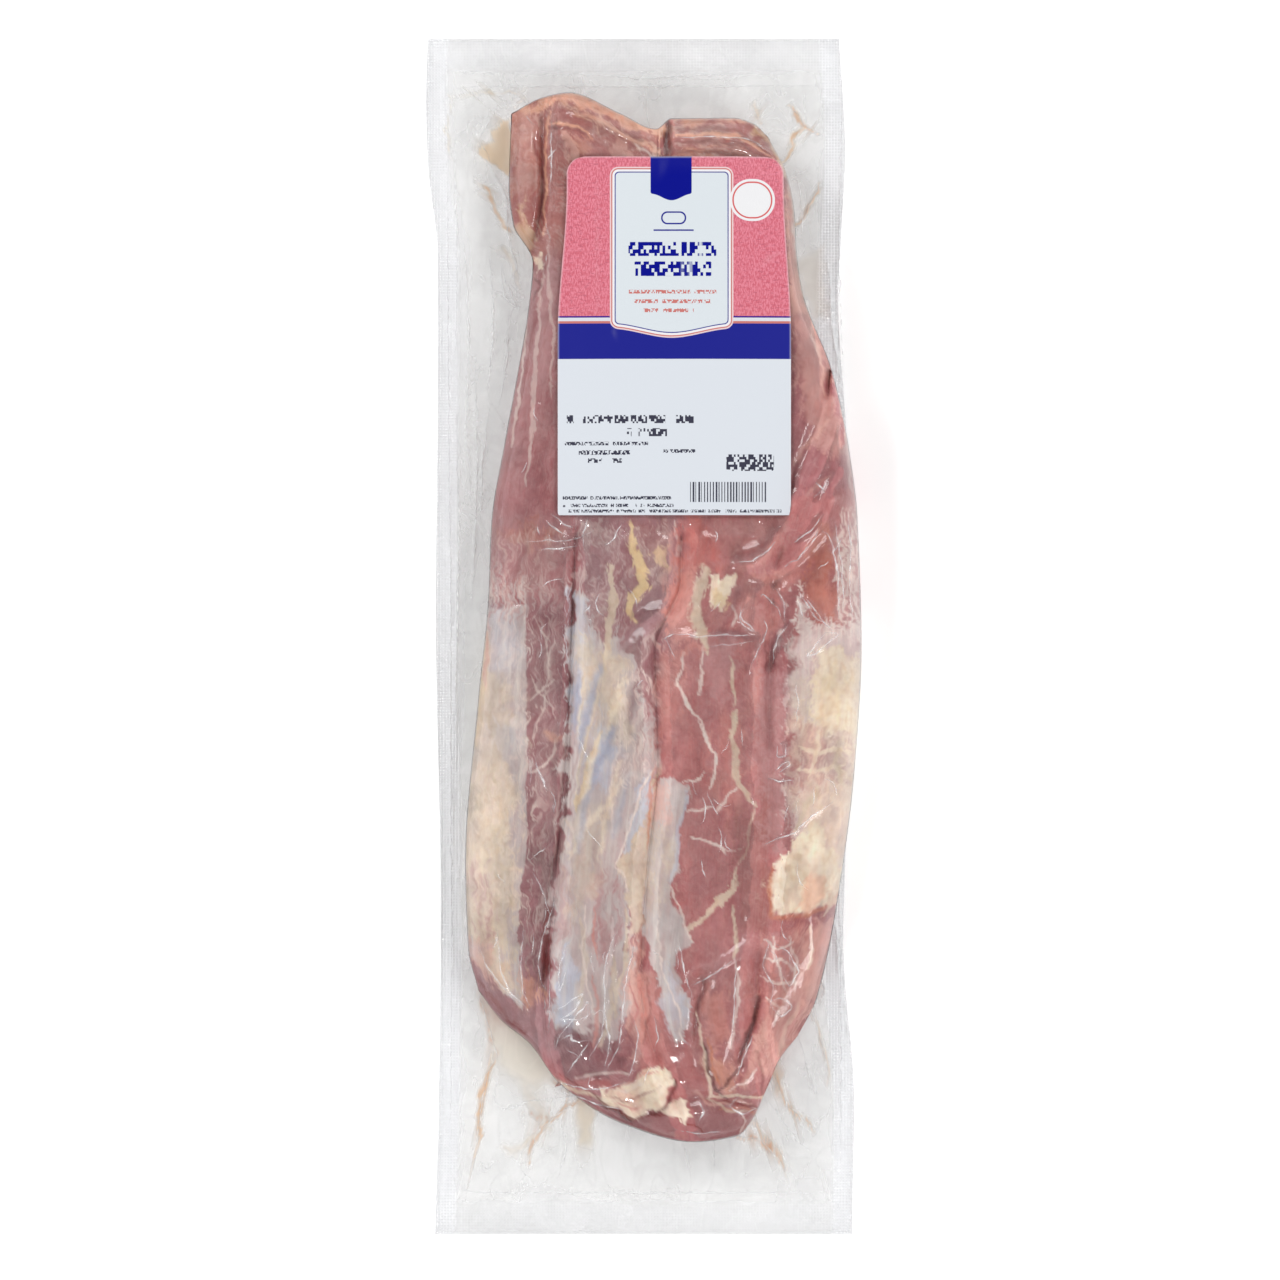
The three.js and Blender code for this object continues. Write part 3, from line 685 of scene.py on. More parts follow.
LEFT_MARKS = (
    patch(Tissue.PURPLE, (-66, 16), (-26, 16), (-26, -170), (-74, -170), soft=8, strength=0.8),
    patch(Tissue.SILVER, (-70, 13), (-58, 11), (-46.8, 13), (-46.6, -88), (-48, -95), (-49, -101),
          (-50.4, -119), (-48, -149), (-56, -142), (-64, -131), (-80, -124), (-80, -60), (-74, 0),
          strength=0.97, soft=0.8, ragged=0.25, rise=0.35),
    patch(Tissue.BLUE_SILVER, (-62, 12), (-50, 12), (-48, -12), (-60, -16), strength=0.5, soft=6),
    patch(Tissue.CREAM, (-72, -10), (-58, -14), (-50, -26), (-50, -44), (-60, -60), (-72, -60),
          strength=0.75, soft=8, ragged=3),
    patch(Tissue.BLUE_SILVER, (-60, -36), (-50, -30), (-48, -44), (-56, -52), strength=0.45, soft=6),
    patch(Tissue.CREAM, (-74, -56), (-54, -50), (-50, -70), (-52, -110), (-56, -136), (-66, -126),
          (-76, -110), strength=0.9, soft=6, ragged=2),
    patch(Tissue.FAT, (-68, -66), (-58, -62), (-54, -84), (-58, -104), (-66, -96),
          strength=0.5, soft=5, ragged=2.5),
    patch(Tissue.PALE_PINK, (-72, -120), (-60, -124), (-54, -140), (-60, -138), (-70, -128),
          strength=0.6, soft=4),
    patch(Tissue.MAUVE, (-69.8, -84), (-64, -92), (-60, -112), (-63, -122), (-67, -108),
          strength=0.75, soft=3, ragged=1.6, look=STREAKED),
    strand(Tissue.YELLOW_FAT, 3.2, (-63.8, 16), (-63.4, -6), (-65, -24), (-67, -44), strength=0.5, soft=2),
    strand(Tissue.PINK, 1.4, (-63, 4), (-63, -8), (-64, -20), strength=0.6),
    *(strand(Tissue.SILVER, 1.5, (x, 30 - (x * 7) % 9), (x + 0.6, 10), strength=0.5, ragged=1.6)
      for x in (-62, -59, -56.5, -53, -50.5, -48)),
    *(strand(Tissue.RED, 1.3, (x, 26), (x - 0.4, 6 - (x * 5) % 7), strength=0.5, ragged=1.6)
      for x in (-60.5, -57, -54.6, -51.5, -49)),
    patch(Tissue.DEEP_PURPLE, (-46.4, 24), (-30, 24), (-29, -40), (-31, -78), (-40, -120), (-44, -134),
          (-50.4, -122), (-48, -98), (-46.4, -86), strength=0.42, soft=3, ragged=1.6, look=STREAKED),
    patch(Tissue.DARK, (-41, -76), (-33, -76), (-38, -104), (-40, -140), (-45, -142), (-46, -112),
          (-42, -92), strength=0.4, soft=4, ragged=1.5),
    patch(Tissue.MAUVE, (-46, -36), (-36, -34), (-36, -60), (-40, -76), (-46, -84),
          strength=0.5, soft=5, ragged=2, look=STREAKED),
    patch(Tissue.WEB, (-64, 40), (-30, 40), (-29, -40), (-32, -90), (-46, -130), (-48, 10), (-64, 16),
          strength=0.34, soft=6, ragged=2, look=WEBBED),
    patch(Tissue.WEB, (-76, 20), (-47, 20), (-47, -110), (-78, -110), strength=0.5, soft=6, look=WEBBED),
    strand(Tissue.WEB, 0.9, (-30.6, -35), (-34.2, -68), (-36.6, -88.6), (-37.8, -110), strength=0.5),
    strand(Tissue.WEB, 1.0, (-46.6, -54), (-41, -52), (-36.6, -48.6), (-33.6, -39.4), strength=0.8),
    strand(Tissue.WEB, 0.7, (-45.6, -26), (-41, -22), (-35.4, -17), strength=0.7),
    strand(Tissue.WEB, 0.7, (-45, -16), (-40, -24), (-35, -33), strength=0.6),
    strand(Tissue.WEB, 0.7, (-44, -40), (-40, -28), (-38, -14), (-36, 0), strength=0.5),
    strand(Tissue.WEB, 0.6, (-43, 8), (-39, -2), (-37, -12), strength=0.5),
    strand(Tissue.TAN, 2.4, (-39.4, -38), (-35, -42), (-31, -40), strength=0.5, soft=2),
    strand(Tissue.DARK, 1.4, (-28.6, -33.4), (-30.6, -57.8), (-31.2, -73.4), (-33.6, -79.4),
           (-37.4, -93.4), (-38.6, -107), (-39.8, -119), strength=0.55, soft=1.6, ragged=0.2),
    strand(Tissue.BLOOD, 3.0, (-38, -108), (-39, -120), (-40, -138), strength=0.7, soft=1.6),
    strand(Tissue.DEEP_PURPLE, 6.0, (-30, 44), (-31.4, 10), (-31.4, -30), (-34, -72), (-38, -100),
           strength=0.5, soft=5),
    strand(Tissue.DARK, 1.3, (-27.5, 42), (-28.5, 18), (-27.5, -4), (-28.2, -34), strength=0.5,
           soft=1.6, ragged=0.2),
    patch(Tissue.TAN, (-48, -136), (-42, -137), (-41.4, -146), (-47, -147), strength=0.5, soft=5),
    patch(Tissue.PURPLE, (-46, -149), (-40, -148), (-36, -158), (-34, -166), (-40, -164), strength=0.9),
    patch(Tissue.CREAM, (-60, -128), (-54, -134), (-50, -143), (-54, -143), (-60, -136), strength=0.6),
    strand(Tissue.BLOOD, 2.2, (-66, -138), (-58, -149), (-48, -159), strength=0.6, soft=2),
)

MIDDLE_MARKS = (
    patch(Tissue.PURPLE, (-28, 50), (15, 50), (15, 16), (0, -30), (-28, 0), soft=5, strength=0.8),
    patch(Tissue.BROWN, (-4, 46), (12, 46), (12, 34), (-2, 34), strength=0.5, soft=5),
    patch(Tissue.DEEP_PURPLE, (-2, 34), (12, 30), (8, -2), (6, -34), (-6, -34), (-6, 0),
          strength=0.5, soft=7),
    patch(Tissue.WEB, (-27, 44), (14, 44), (14, 10), (6, -30), (6, -70), (-4, -150), (-30, -150),
          (-28, -40), strength=0.42, soft=5, ragged=2, look=WEBBED),
    patch(Tissue.SILVER, (-28.5, 19), (-22, 17), (-20, 4), (-17.4, -3), (-8, 0), (-4, -10), (-1, -21),
          (6, -46), (1, -61), (-5, -76), (-9, -86), (-7, -101), (-5, -121), (-6, -145), (-12, -166),
          (-24, -161), (-35, -157), (-37, -129), (-36, -105), (-32, -81), (-30, -49), (-31, -9),
          strength=0.95, soft=2, ragged=1.6, rise=0.35),
    patch(Tissue.BLUE_SILVER, (-29, 17), (-23, 14), (-21, -20), (-23, -40), (-29, -36),
          strength=0.75, soft=4, ragged=1.5),
    patch(Tissue.CREAM, (-25, 2), (-17, -4), (-14, -28), (-19, -44), (-25, -30),
          strength=0.6, soft=4, ragged=2, look=STREAKED),
    patch(Tissue.BLUE_SILVER, (-19.4, -34), (-12, -36), (-8, -50), (-14, -62), (-20, -58),
          strength=0.8, soft=5, ragged=2),
    patch(Tissue.CREAM, (-17, -4), (-9, -8), (-4, -30), (-8, -44), (-14, -34),
          strength=0.7, soft=4, ragged=2),
    patch(Tissue.PURPLE, (-3, 18), (8, 20), (9, 10), (2, 2), (-3, 8), strength=0.9, soft=2),
    patch(Tissue.MAUVE, (-3, -12), (7, -20), (6.6, -60), (2, -64), (-4, -44),
          strength=0.75, soft=4, ragged=2, look=STREAKED),
    patch(Tissue.MAUVE, (-26, -76), (-14, -70), (-9, -84), (-14, -100), (-28, -110),
          strength=0.35, soft=6, ragged=3, look=STREAKED),
    patch(Tissue.MAUVE, (-19, -92), (-11, -94), (-7.4, -118), (-13, -134), (-20, -124),
          strength=0.85, soft=4, ragged=2, look=STREAKED),
    patch(Tissue.MAUVE, (-35, -96), (-30, -92), (-30, -116), (-34, -122), strength=0.6, soft=4),
    patch(Tissue.BLUE_SILVER, (-34, -128), (-28, -124), (-26, -142), (-31, -158), (-35, -152),
          strength=0.9, soft=3),
    patch(Tissue.CREAM, (-28, -70), (-18, -66), (-18, -100), (-30, -112), strength=0.45, soft=5),
    patch(Tissue.CREAM, (5.8, -50), (6.4, -70), (3.4, -85), (2.4, -100), (1, -118), (-5, -118),
          (-7, -101), (-10, -90), (-5, -76), strength=0.85, soft=1.6, rise=0.3),
    patch(Tissue.BLUE_SILVER, (3, -50), (-1, -62), (-5, -76), (-9, -86), (-7, -88), (-1, -76), (4, -62),
          strength=0.9, soft=1.4, rise=0.3),
    patch(Tissue.PALE_PINK, (-2, -112), (2, -116), (-2, -150), (-8, -160), (-8, -136),
          strength=0.8, soft=3, look=STREAKED),
    patch(Tissue.DEEP_PURPLE, (-35, -157), (-26, -158), (-17, -156), (-8, -164), (-10, -176), (-30, -176),
          strength=0.75, soft=3, ragged=2),
    strand(Tissue.CREAM, 2.6, (-14, 29), (-12.2, 16.6), (-14, 0.6), (-16, -14), strength=0.8, rise=0.3),
    strand(Tissue.YELLOW_FAT, 3.8, (-5.2, 46), (-4.2, 34.6), (-1.4, 27.8), (0.2, 20.2), (-5.2, 14.2),
           (-5.8, 10.6), (-3, 5.8), strength=0.9, soft=1, rise=0.45),
    strand(Tissue.WEB, 1.8, (12.4, 46), (14.2, 37.4), (14.2, 30.2), (13.7, 15.4), (9.4, 7.8),
           strength=0.75, rise=0.2),
    patch(Tissue.YELLOW_FAT, (3.6, 34), (9.4, 34.6), (10, 28), (5, 27), strength=0.6, soft=2, ragged=1.8),
    strand(Tissue.YELLOW_FAT, 2.4, (-17, -38), (-23.2, -56.6), (-27, -70.2), strength=0.6, rise=0.2),
    strand(Tissue.FAT, 2.6, (-8.6, -57.8), (-14.6, -66.6), (-23.2, -75), (-29.4, -88.6), strength=0.6,
           soft=1.6),
    strand(Tissue.WEB, 0.9, (5.8, -47.4), (1.6, -56.6), (-2.7, -67.8), (-5.2, -76.2), (-9.4, -86.2),
           (-11, -92.2), (-7.8, -94.2), (-7, -101.4), strength=0.9, rise=0.25),
    strand(Tissue.ORANGE, 1.3, (3.4, -52), (2.2, -69.8), (1.8, -93.4), (0.2, -111.4), strength=0.7),
    strand(Tissue.BLOOD, 1.4, (1.2, -104), (-1, -120), (-3, -134), strength=0.45, soft=1.8),
    patch(Tissue.PALE_PINK, (-6, -134), (6, -132), (10, -150), (8, -172), (-4, -170), strength=0.7,
          soft=6),
    strand(Tissue.WEB, 1.2, (-10, -20), (-9, -40), (-13, -60), (-12, -78), strength=0.5),
    strand(Tissue.CREAM, 2.0, (-25, -112), (-23, -130), (-26, -150), strength=0.5),
    strand(Tissue.CREAM, 2.0, (-12, -128), (-12, -146), (-17, -164), strength=0.6),
    strand(Tissue.PINK, 1.4, (-20, -136), (-18, -150), (-20, -164), strength=0.6),
    strand(Tissue.BROWN, 1.0, (-26, -20), (-27, -50), (-29, -70), strength=0.35),
)


# The BLUE_SHADE strands are painted shadow along the silverskin's folds; the cream and fat strands are the
# tissue's own colour.
SILVER_FOLDS = (
    strand(Tissue.CREAM, 9.0, (-24, -2), (-22, -10), (-22, -20), strength=0.5, soft=5),
    strand(Tissue.BLUE_SHADE, 2.4, (-25.7, -14), (-26.6, -26), (-27.2, -38), strength=0.8, soft=3),
    strand(Tissue.BLUE_SHADE, 2.6, (-17.3, -12), (-19.6, -22), (-23, -33), (-26, -46),
           strength=0.75, soft=3),
    strand(Tissue.CREAM, 1.0, (-16.8, -17), (-19.6, -28), (-22.4, -38), (-25, -50), (-27, -62),
           strength=0.9,
           soft=1.4),
    strand(Tissue.CREAM, 0.9, (-23.4, -12), (-24.4, -24), (-26.4, -38), strength=0.8, soft=1.4),
    strand(Tissue.FAT, 3.6, (-8, -17), (-9.4, -25), (-13.4, -34), (-15, -41), strength=0.85,
           soft=3, rise=0.3),
    strand(Tissue.BLUE_SHADE, 4.6, (-12.4, -37), (-15, -45), (-18.6, -52), (-21, -60),
           strength=0.85, soft=4),
    strand(Tissue.FAT, 1.6, (-17.6, -38), (-20, -50), (-24, -64), strength=0.75, soft=2.4),
    strand(Tissue.BLUE_SHADE, 2.4, (-22, -62), (-24.6, -74), (-26, -86), strength=0.6, soft=3),
    strand(Tissue.FAT, 2.6, (-8.4, -50), (-12, -60), (-15, -72), (-17, -86), strength=0.7, soft=3),
    strand(Tissue.BLUE_SHADE, 2.0, (-6, -56), (-9, -68), (-12, -80), strength=0.55, soft=3),
    strand(Tissue.DEEP_PURPLE, 3.4, (-2.4, -19), (-4, -26), (-5.8, -33), strength=0.5, soft=3),
    patch(Tissue.WEB, (-8, -16), (4, -14), (5, -52), (-8, -60), (-9, -40), strength=0.7, soft=4,
          look=WEBBED),
)

RIGHT_MARKS = (
    patch(Tissue.RED, (14, 50), (90, 60), (90, 0), (60, -60), (56, -200), (0, -200), (2, -120), (6, -40),
          soft=6, strength=0.75),
    patch(Tissue.PALE_PINK, (8, 46), (56, 46), (56, -110), (40, -170), (22, -170), (12, -60), strength=0.3,
          soft=8, look=WEBBED),
    patch(Tissue.MAUVE, (8, 46), (56, 46), (56, -110), (40, -170), (22, -170), (12, -60), strength=0.35,
          soft=8, look=STREAKED),
    patch(Tissue.ROSY, (20, -70), (48, -66), (50, -120), (30, -140), (20, -120), strength=0.4, soft=8),
    patch(Tissue.BRIGHT_RED, (15, 47), (22, 47), (30, 42), (29, 33), (24, 25), (17, 26), strength=0.7,
          soft=7),
    patch(Tissue.PINK, (9, 8), (14, 26), (22, 25), (22, 8), (20, -2), (11, -2), strength=0.8, soft=3),
    patch(Tissue.BROWN, (26, 48), (56, 48), (54, 34), (34, 30), (27, 38), strength=0.5, soft=6),
    patch(Tissue.MAUVE, (24, -1), (36, -1), (36, -14), (32, -28), (25, -22), strength=0.65, soft=4),
    patch(Tissue.BROWN, (38, 24), (54, 20), (52, -6), (40, -4), strength=0.4, soft=6),
    patch(Tissue.PINK, (5, -5), (15, -5), (15, -30), (10, -42), (5, -38), strength=0.45, soft=4),
    patch(Tissue.RED, (7, -34), (22, -32), (25, -60), (8, -60), strength=0.6, soft=4),
    patch(Tissue.PINK, (28, -30), (36, -30), (40, -60), (34, -80), (29, -50), strength=0.35, soft=5),
    strand(Tissue.CREAM, 4.6, (25.4, 27), (21.8, 16.6), (20.6, 8.2), (23.6, 0.6), (25, -5),
           strength=0.85, soft=1.4, rise=0.3),
    patch(Tissue.FAT, (26.6, 24.6), (29, 25.4), (31, 22), (35.6, 25.4), (35.8, 20.4), (32.8, 15.6),
          (30.2, 9.2), (27.8, 12.2), (26.4, 18), soft=0.9, ragged=0.8, rise=0.7),
    patch(Tissue.YELLOW_FAT, (28, 18), (32, 19), (32, 13), (30, 10.4), strength=0.6, soft=2),
    strand(Tissue.WEB, 0.9, (34.8, 12), (37.4, 8), (36, 4), strength=0.7),
    strand(Tissue.WEB, 1.3, (16.2, -6.6), (13.2, -19), (17, -26.2), (23, -33), (25, -39.8), strength=0.85,
           rise=0.15),
    strand(Tissue.WEB, 1.1, (23.4, -4.2), (23.6, -15.8), (22.4, -23.8), strength=0.8),
    strand(Tissue.PINK, 2.6, (14.5, -8), (20, -4), (24, -5), strength=0.6),
    strand(Tissue.CREAM, 1.3, (34.6, -8), (35.2, -20.6), (35.8, -27), strength=0.85),
    strand(Tissue.CREAM, 1.3, (37.2, -29), (37, -33), (35.2, -41), strength=0.9),
    strand(Tissue.WEB, 1.1, (21.8, -33.4), (25.4, -41.4), (28.6, -47), (28.8, -54.2), (26.6, -60.2),
           strength=0.95, rise=0.15),
    strand(Tissue.WEB, 0.9, (16.2, -57.8), (20.6, -58.6), (24.4, -54), strength=0.9),
    strand(Tissue.CREAM, 2.4, (36.5, -30), (34.6, -39.4), (36.5, -45), (37, -55), (39.4, -60.2),
           (44.4, -68), strength=0.8, rise=0.2),
    strand(Tissue.CREAM, 1.1, (43.6, -66), (43.2, -76.2), (40.6, -85.4), (37.8, -92.2), strength=0.7),
    strand(Tissue.WEB, 1.0, (37, -59.8), (31.4, -67), (29, -70.6), strength=0.8),
    strand(Tissue.WEB, 1.0, (17, -70.2), (21.8, -70.2), (27.4, -68.2), strength=0.8),
    strand(Tissue.WEB, 1.0, (19.4, -79.8), (25.4, -82.2), (30.2, -83.6), (33.4, -87.4), strength=0.85),
    strand(Tissue.WEB, 0.7, (30.2, -83.6), (36, -86), (39, -84), strength=0.6),
    strand(Tissue.CREAM, 3.6, (37.4, -93), (35.2, -100.6), (29, -107.6), (25.4, -111), strength=0.85,
           rise=0.2),
    strand(Tissue.CREAM, 1.8, (25.4, -111), (19.4, -115.4), (17.2, -119), strength=0.8),
    strand(Tissue.CREAM, 1.8, (35.8, -107), (36.8, -116), (36.6, -128), strength=0.85),
    patch(Tissue.BROWN, (36, -74), (50, -70), (52, -92), (50, -118), (38, -118), strength=0.6, soft=5),
    patch(Tissue.BROWN, (44.6, -56), (53.8, -58), (54, -84), (46, -82), strength=0.6, soft=4),
    patch(Tissue.SILVER, (7, -57), (12, -56), (19.4, -61), (17, -65.8), (14.6, -73.4), (12.6, -79.8),
          (13.2, -88.6), (13.8, -93.4), (10.6, -99.4), (10.2, -103.8), (15.8, -113), (19.4, -122.2),
          (15.8, -122.6), (12.6, -125.4), (13.2, -132.2), (17, -141.8), (19.4, -147.8), (18.2, -154.2),
          (16.6, -160.2), (13.2, -162.6), (11.4, -157), (7, -145), (1.6, -123.4), (0, -116.2),
          (1, -88.6), (3, -76.2), (5, -63.8), strength=0.98, soft=1, ragged=0.7, rise=0.45),
    patch(Tissue.CREAM, (4, -76), (10, -76), (10, -98), (4, -112), (0, -100),
          strength=0.6, soft=5, ragged=2, look=STREAKED),
    patch(Tissue.PALE_PINK, (3, -62), (9, -60), (10, -72), (3, -76), strength=0.6, soft=4),
    strand(Tissue.BLUE_SILVER, 1.8, (18, -62), (13.8, -76), (12.6, -88), (11, -99), strength=0.7),
    patch(Tissue.BLUE_SILVER, (9, -130), (14, -138), (18, -150), (14, -160), (10, -152), (8, -140),
          strength=0.6, soft=4),
    strand(Tissue.WEB, 0.8, (10.6, -99.4), (14.4, -108), (19.4, -122.2), strength=0.9, rise=0.2),
    patch(Tissue.PINK, (24, -142), (33, -143), (35, -158), (28, -166), (22.6, -158),
          strength=0.75, soft=4),
    patch(Tissue.RED, (-4, -160), (20, -166), (26, -182), (4, -186), strength=0.6, soft=4),
    strand(Tissue.WEB, 1.2, (37, -128.6), (37.8, -146.6), (34.6, -163.4), strength=0.6),
    # The two dark strands below are painted shade along fold grooves.
    strand(Tissue.DARK, 2.0, (46.2, -144), (43.8, -154.2), (37.8, -169.4), strength=0.7, soft=2),
    strand(Tissue.DARK, 1.8, (24.2, -138.2), (21.8, -147.8), (20.6, -159), strength=0.6, soft=2),
    strand(Tissue.FAT, 1.3, (21.6, -150), (22.4, -157), (24.8, -169.4), (26.6, -183.4), (36.5, -184),
           strength=0.8, rise=0.2),
    patch(Tissue.TAN, (27, -168), (35, -170), (37, -181), (29, -184), strength=0.5, soft=6),
    # The dark and brown strands below are painted shade along the outer groove of the right tenderloin.
    strand(Tissue.DARK, 2.4, (49, -2), (49.6, -22), (50.4, -44), strength=0.55, soft=3),
    strand(Tissue.BROWN, 2.2, (53, 0), (50, -10), (49.6, -36), strength=0.5, soft=2),
)

# Mostly painted shade and painted light of the film's satin folds: purple strands darken the fold grooves,
# pink strands lighten the fold crests.
FOLD_SHADE_AND_LIGHT_MARKS = (
    strand(Tissue.DEEP_PURPLE, 4.0, (37, 31.5), (45, 33.6), (51, 38.4), (54, 44), strength=0.45, soft=5),
    strand(Tissue.PINK, 3.0, (37, 28.6), (43, 28.6), (49, 32.4), (54, 40), strength=0.35, soft=3),
    strand(Tissue.PINK, 4.0, (43, 23.4), (51, 23), (60, 27), (66, 34), (72, 44), strength=0.55, soft=5),
    strand(Tissue.DEEP_PURPLE, 4.0, (71, 34), (67, 24.8), (61.8, 18.8), (58, 11.3), (56.4, 3), (53, -5),
           strength=0.45, soft=6),
    strand(Tissue.DEEP_PURPLE, 2.4, (38, 19.6), (36.4, 14), (35, 9), strength=0.4, soft=3),
    strand(Tissue.PINK, 3.0, (42, 17), (40, 10), (41, 5), strength=0.4, soft=3),
    strand(Tissue.DEEP_PURPLE, 3.0, (27, 1.6), (36, 1), (45, -0.6), strength=0.6, soft=3),
    strand(Tissue.PINK, 3.0, (49, 17), (56, 20), (62, 26), strength=0.35, soft=4),
    strand(Tissue.DEEP_PURPLE, 1.2, (58, 5.4), (53.5, 0.9), (52, -5), (51.7, -12), strength=0.6, soft=1.6),
    strand(Tissue.DEEP_PURPLE, 1.2, (49, -9), (49.4, -16), (49.1, -26), strength=0.5, soft=1.6),
    strand(Tissue.PINK, 3.0, (46, -8), (45, -18), (44, -30), strength=0.45, soft=4),
    strand(Tissue.PINK, 4.0, (68, 20), (73, 14), (75, 8), strength=0.45, soft=4),
    strand(Tissue.PURPLE, 5.0, (-8.4, -4), (-2.5, 2.6), (5, 6), strength=0.6, soft=3),
    strand(Tissue.DEEP_PURPLE, 3.4, (-6, 7), (0, 10.6), (7, 12), strength=0.5, soft=3),
    strand(Tissue.PINK, 5.0, (12, 8), (17, 20), (18, 32), strength=0.35, soft=4),
)

OUTER_MARKS = (
    patch(Tissue.ORANGE, (70, 42), (74, 38), (76.6, 24), (77.8, 6), (73, 6), (64, 18), (66, 30),
          strength=0.4, soft=5, ragged=1.6),
    patch(Tissue.MAUVE, (78, 50), (90, 50), (90, 0), (78, 2), strength=0.8, soft=3, look=STREAKED),
    *(strand(Tissue.WEB, 1.4, (x, 50), (x + 1.4, 36), (x - 0.4, 22), (x + 1.6, 4), strength=0.75, ragged=1.2)
      for x in (78, 80.4, 82.6, 85)),
    patch(Tissue.LILAC, (61.4, 17), (64, 8), (72, 4), (80, 4), (90, 8), (90, -108), (78, -100),
          (60, -88), (58.4, -70), (60, -44), (58, -20), (59, -4),
          strength=0.9, soft=5, ragged=1.6, rise=0.3),
    patch(Tissue.WEB, (61.4, 19), (64, 8), (72, 4), (80, 4), (90, 8), (90, -104), (78, -100),
          (60, -88), (57.4, -70), (58, -44), (57, -20), (58, -4),
          strength=0.85, soft=3, ragged=2.4, look=WEBBED),
    patch(Tissue.FAT, (62, -36), (90, -30), (90, -96), (62, -84), (60, -60), strength=0.55, soft=6,
          ragged=3),
    patch(Tissue.FAT, (64, -40), (90, -34), (90, -92), (66, -80), strength=0.8, soft=6, ragged=3,
          look=WEBBED),
    patch(Tissue.PALE_PINK, (62, -34), (70, -40), (72, -54), (64, -60), (59, -48), strength=0.6,
          soft=5, ragged=3),
    patch(Tissue.CREAM, (61, -18), (66, -18), (66, -36), (60, -60), (58, -48), strength=0.5, soft=4),
    patch(Tissue.FAT, (69, -5), (78, -4), (88, -10), (89, -38), (80, -41), (71, -38), (66.6, -30),
          (67.4, -14), strength=0.97, soft=3, ragged=1.6, rise=0.7),
    patch(Tissue.YELLOW_FAT, (70, -16), (78, -12), (80, -30), (72, -32), strength=0.35, soft=6, ragged=3),
    patch(Tissue.DEEP_PURPLE, (50.6, 0), (59, -2), (59, -14), (56, -24), (50.6, -26),
          strength=0.55, soft=2.4),
    patch(Tissue.MAUVE, (46, -14), (58, -12), (60, -34), (58, -84), (50, -88), (46, -44), strength=0.6,
          soft=6, ragged=1.4),
    patch(Tissue.MAUVE, (60, -38), (84, -40), (84, -58), (62, -60), strength=0.7, soft=4, ragged=2,
          look=STREAKED),
    strand(Tissue.FAT, 2.2, (62, -44), (69, -47), (75, -44), (83, -46), strength=0.8, rise=0.3),
    strand(Tissue.FAT, 1.8, (61, -52), (68, -54), (76, -52), (83, -57), strength=0.7, rise=0.3),
    strand(Tissue.FAT, 1.8, (70, -38), (69, -47), (66, -57), strength=0.7),
    strand(Tissue.CREAM, 1.8, (78, -41), (77, -50), (80, -60), strength=0.7),
    patch(Tissue.PALE_PINK, (60, -56), (74, -55), (82, -66), (80, -94), (72, -84), (62, -78),
          strength=0.2, soft=5, ragged=2),
    strand(Tissue.CREAM, 2.6, (69, -60), (65, -68), (61.4, -76), strength=0.7, soft=1.4),
    patch(Tissue.FAT, (52.6, -91), (57.6, -82), (65, -76), (72, -78), (80, -90), (81, -99), (74, -106),
          (65, -109.8), (53, -112.6), (51.4, -104), strength=0.98, soft=2.4, ragged=1.2, rise=0.8),
    patch(Tissue.CREAM, (54, -94), (62, -84), (64, -98), (56, -106), strength=0.5, soft=6, ragged=3),
    patch(Tissue.TAN, (65, -97), (71, -96), (73, -103), (66, -110), (62, -107), strength=0.55, soft=3),
    strand(Tissue.ORANGE, 1.8, (51.4, -92), (50.4, -104), (51.6, -112.8), (64, -111.4), (74, -107.6),
           (79, -100), strength=0.65, soft=1.6),
    patch(Tissue.RED, (50, -113), (72, -111), (73, -122), (50, -124), strength=0.5, soft=4),
    patch(Tissue.PINK, (48, -120), (74, -116), (70, -146), (56, -176), (44, -176), (48, -146),
          strength=0.6, soft=5),
    patch(Tissue.PALE_PINK, (64, -118), (74, -112), (73, -140), (64, -152), (62, -134),
          strength=0.6, soft=4),
    patch(Tissue.MAUVE, (47, -119), (56, -117), (62, -130), (62, -146), (54, -152), (47, -134),
          strength=0.5, soft=2, look=STREAKED),
    *(strand(Tissue.WEB, 0.9, *line, strength=0.75) for line in (
        ((48, -121), (54, -124), (60, -122)), ((48, -128), (55, -129), (61, -134)),
        ((52, -119), (53, -130), (57, -142)), ((47, -136), (54, -139), (62, -138)),
        ((58, -120), (61, -130), (60, -142)), ((49, -144), (54, -149), (53, -156)))),
    strand(Tissue.FAT, 1.6, (66, -116), (68, -124), (66, -132), strength=0.7),
    strand(Tissue.CREAM, 1.6, (62, -146), (57, -156), (54, -168), strength=0.4),
    strand(Tissue.CREAM, 1.6, (72, -112), (76, -104), (78.6, -96), strength=0.6),
)

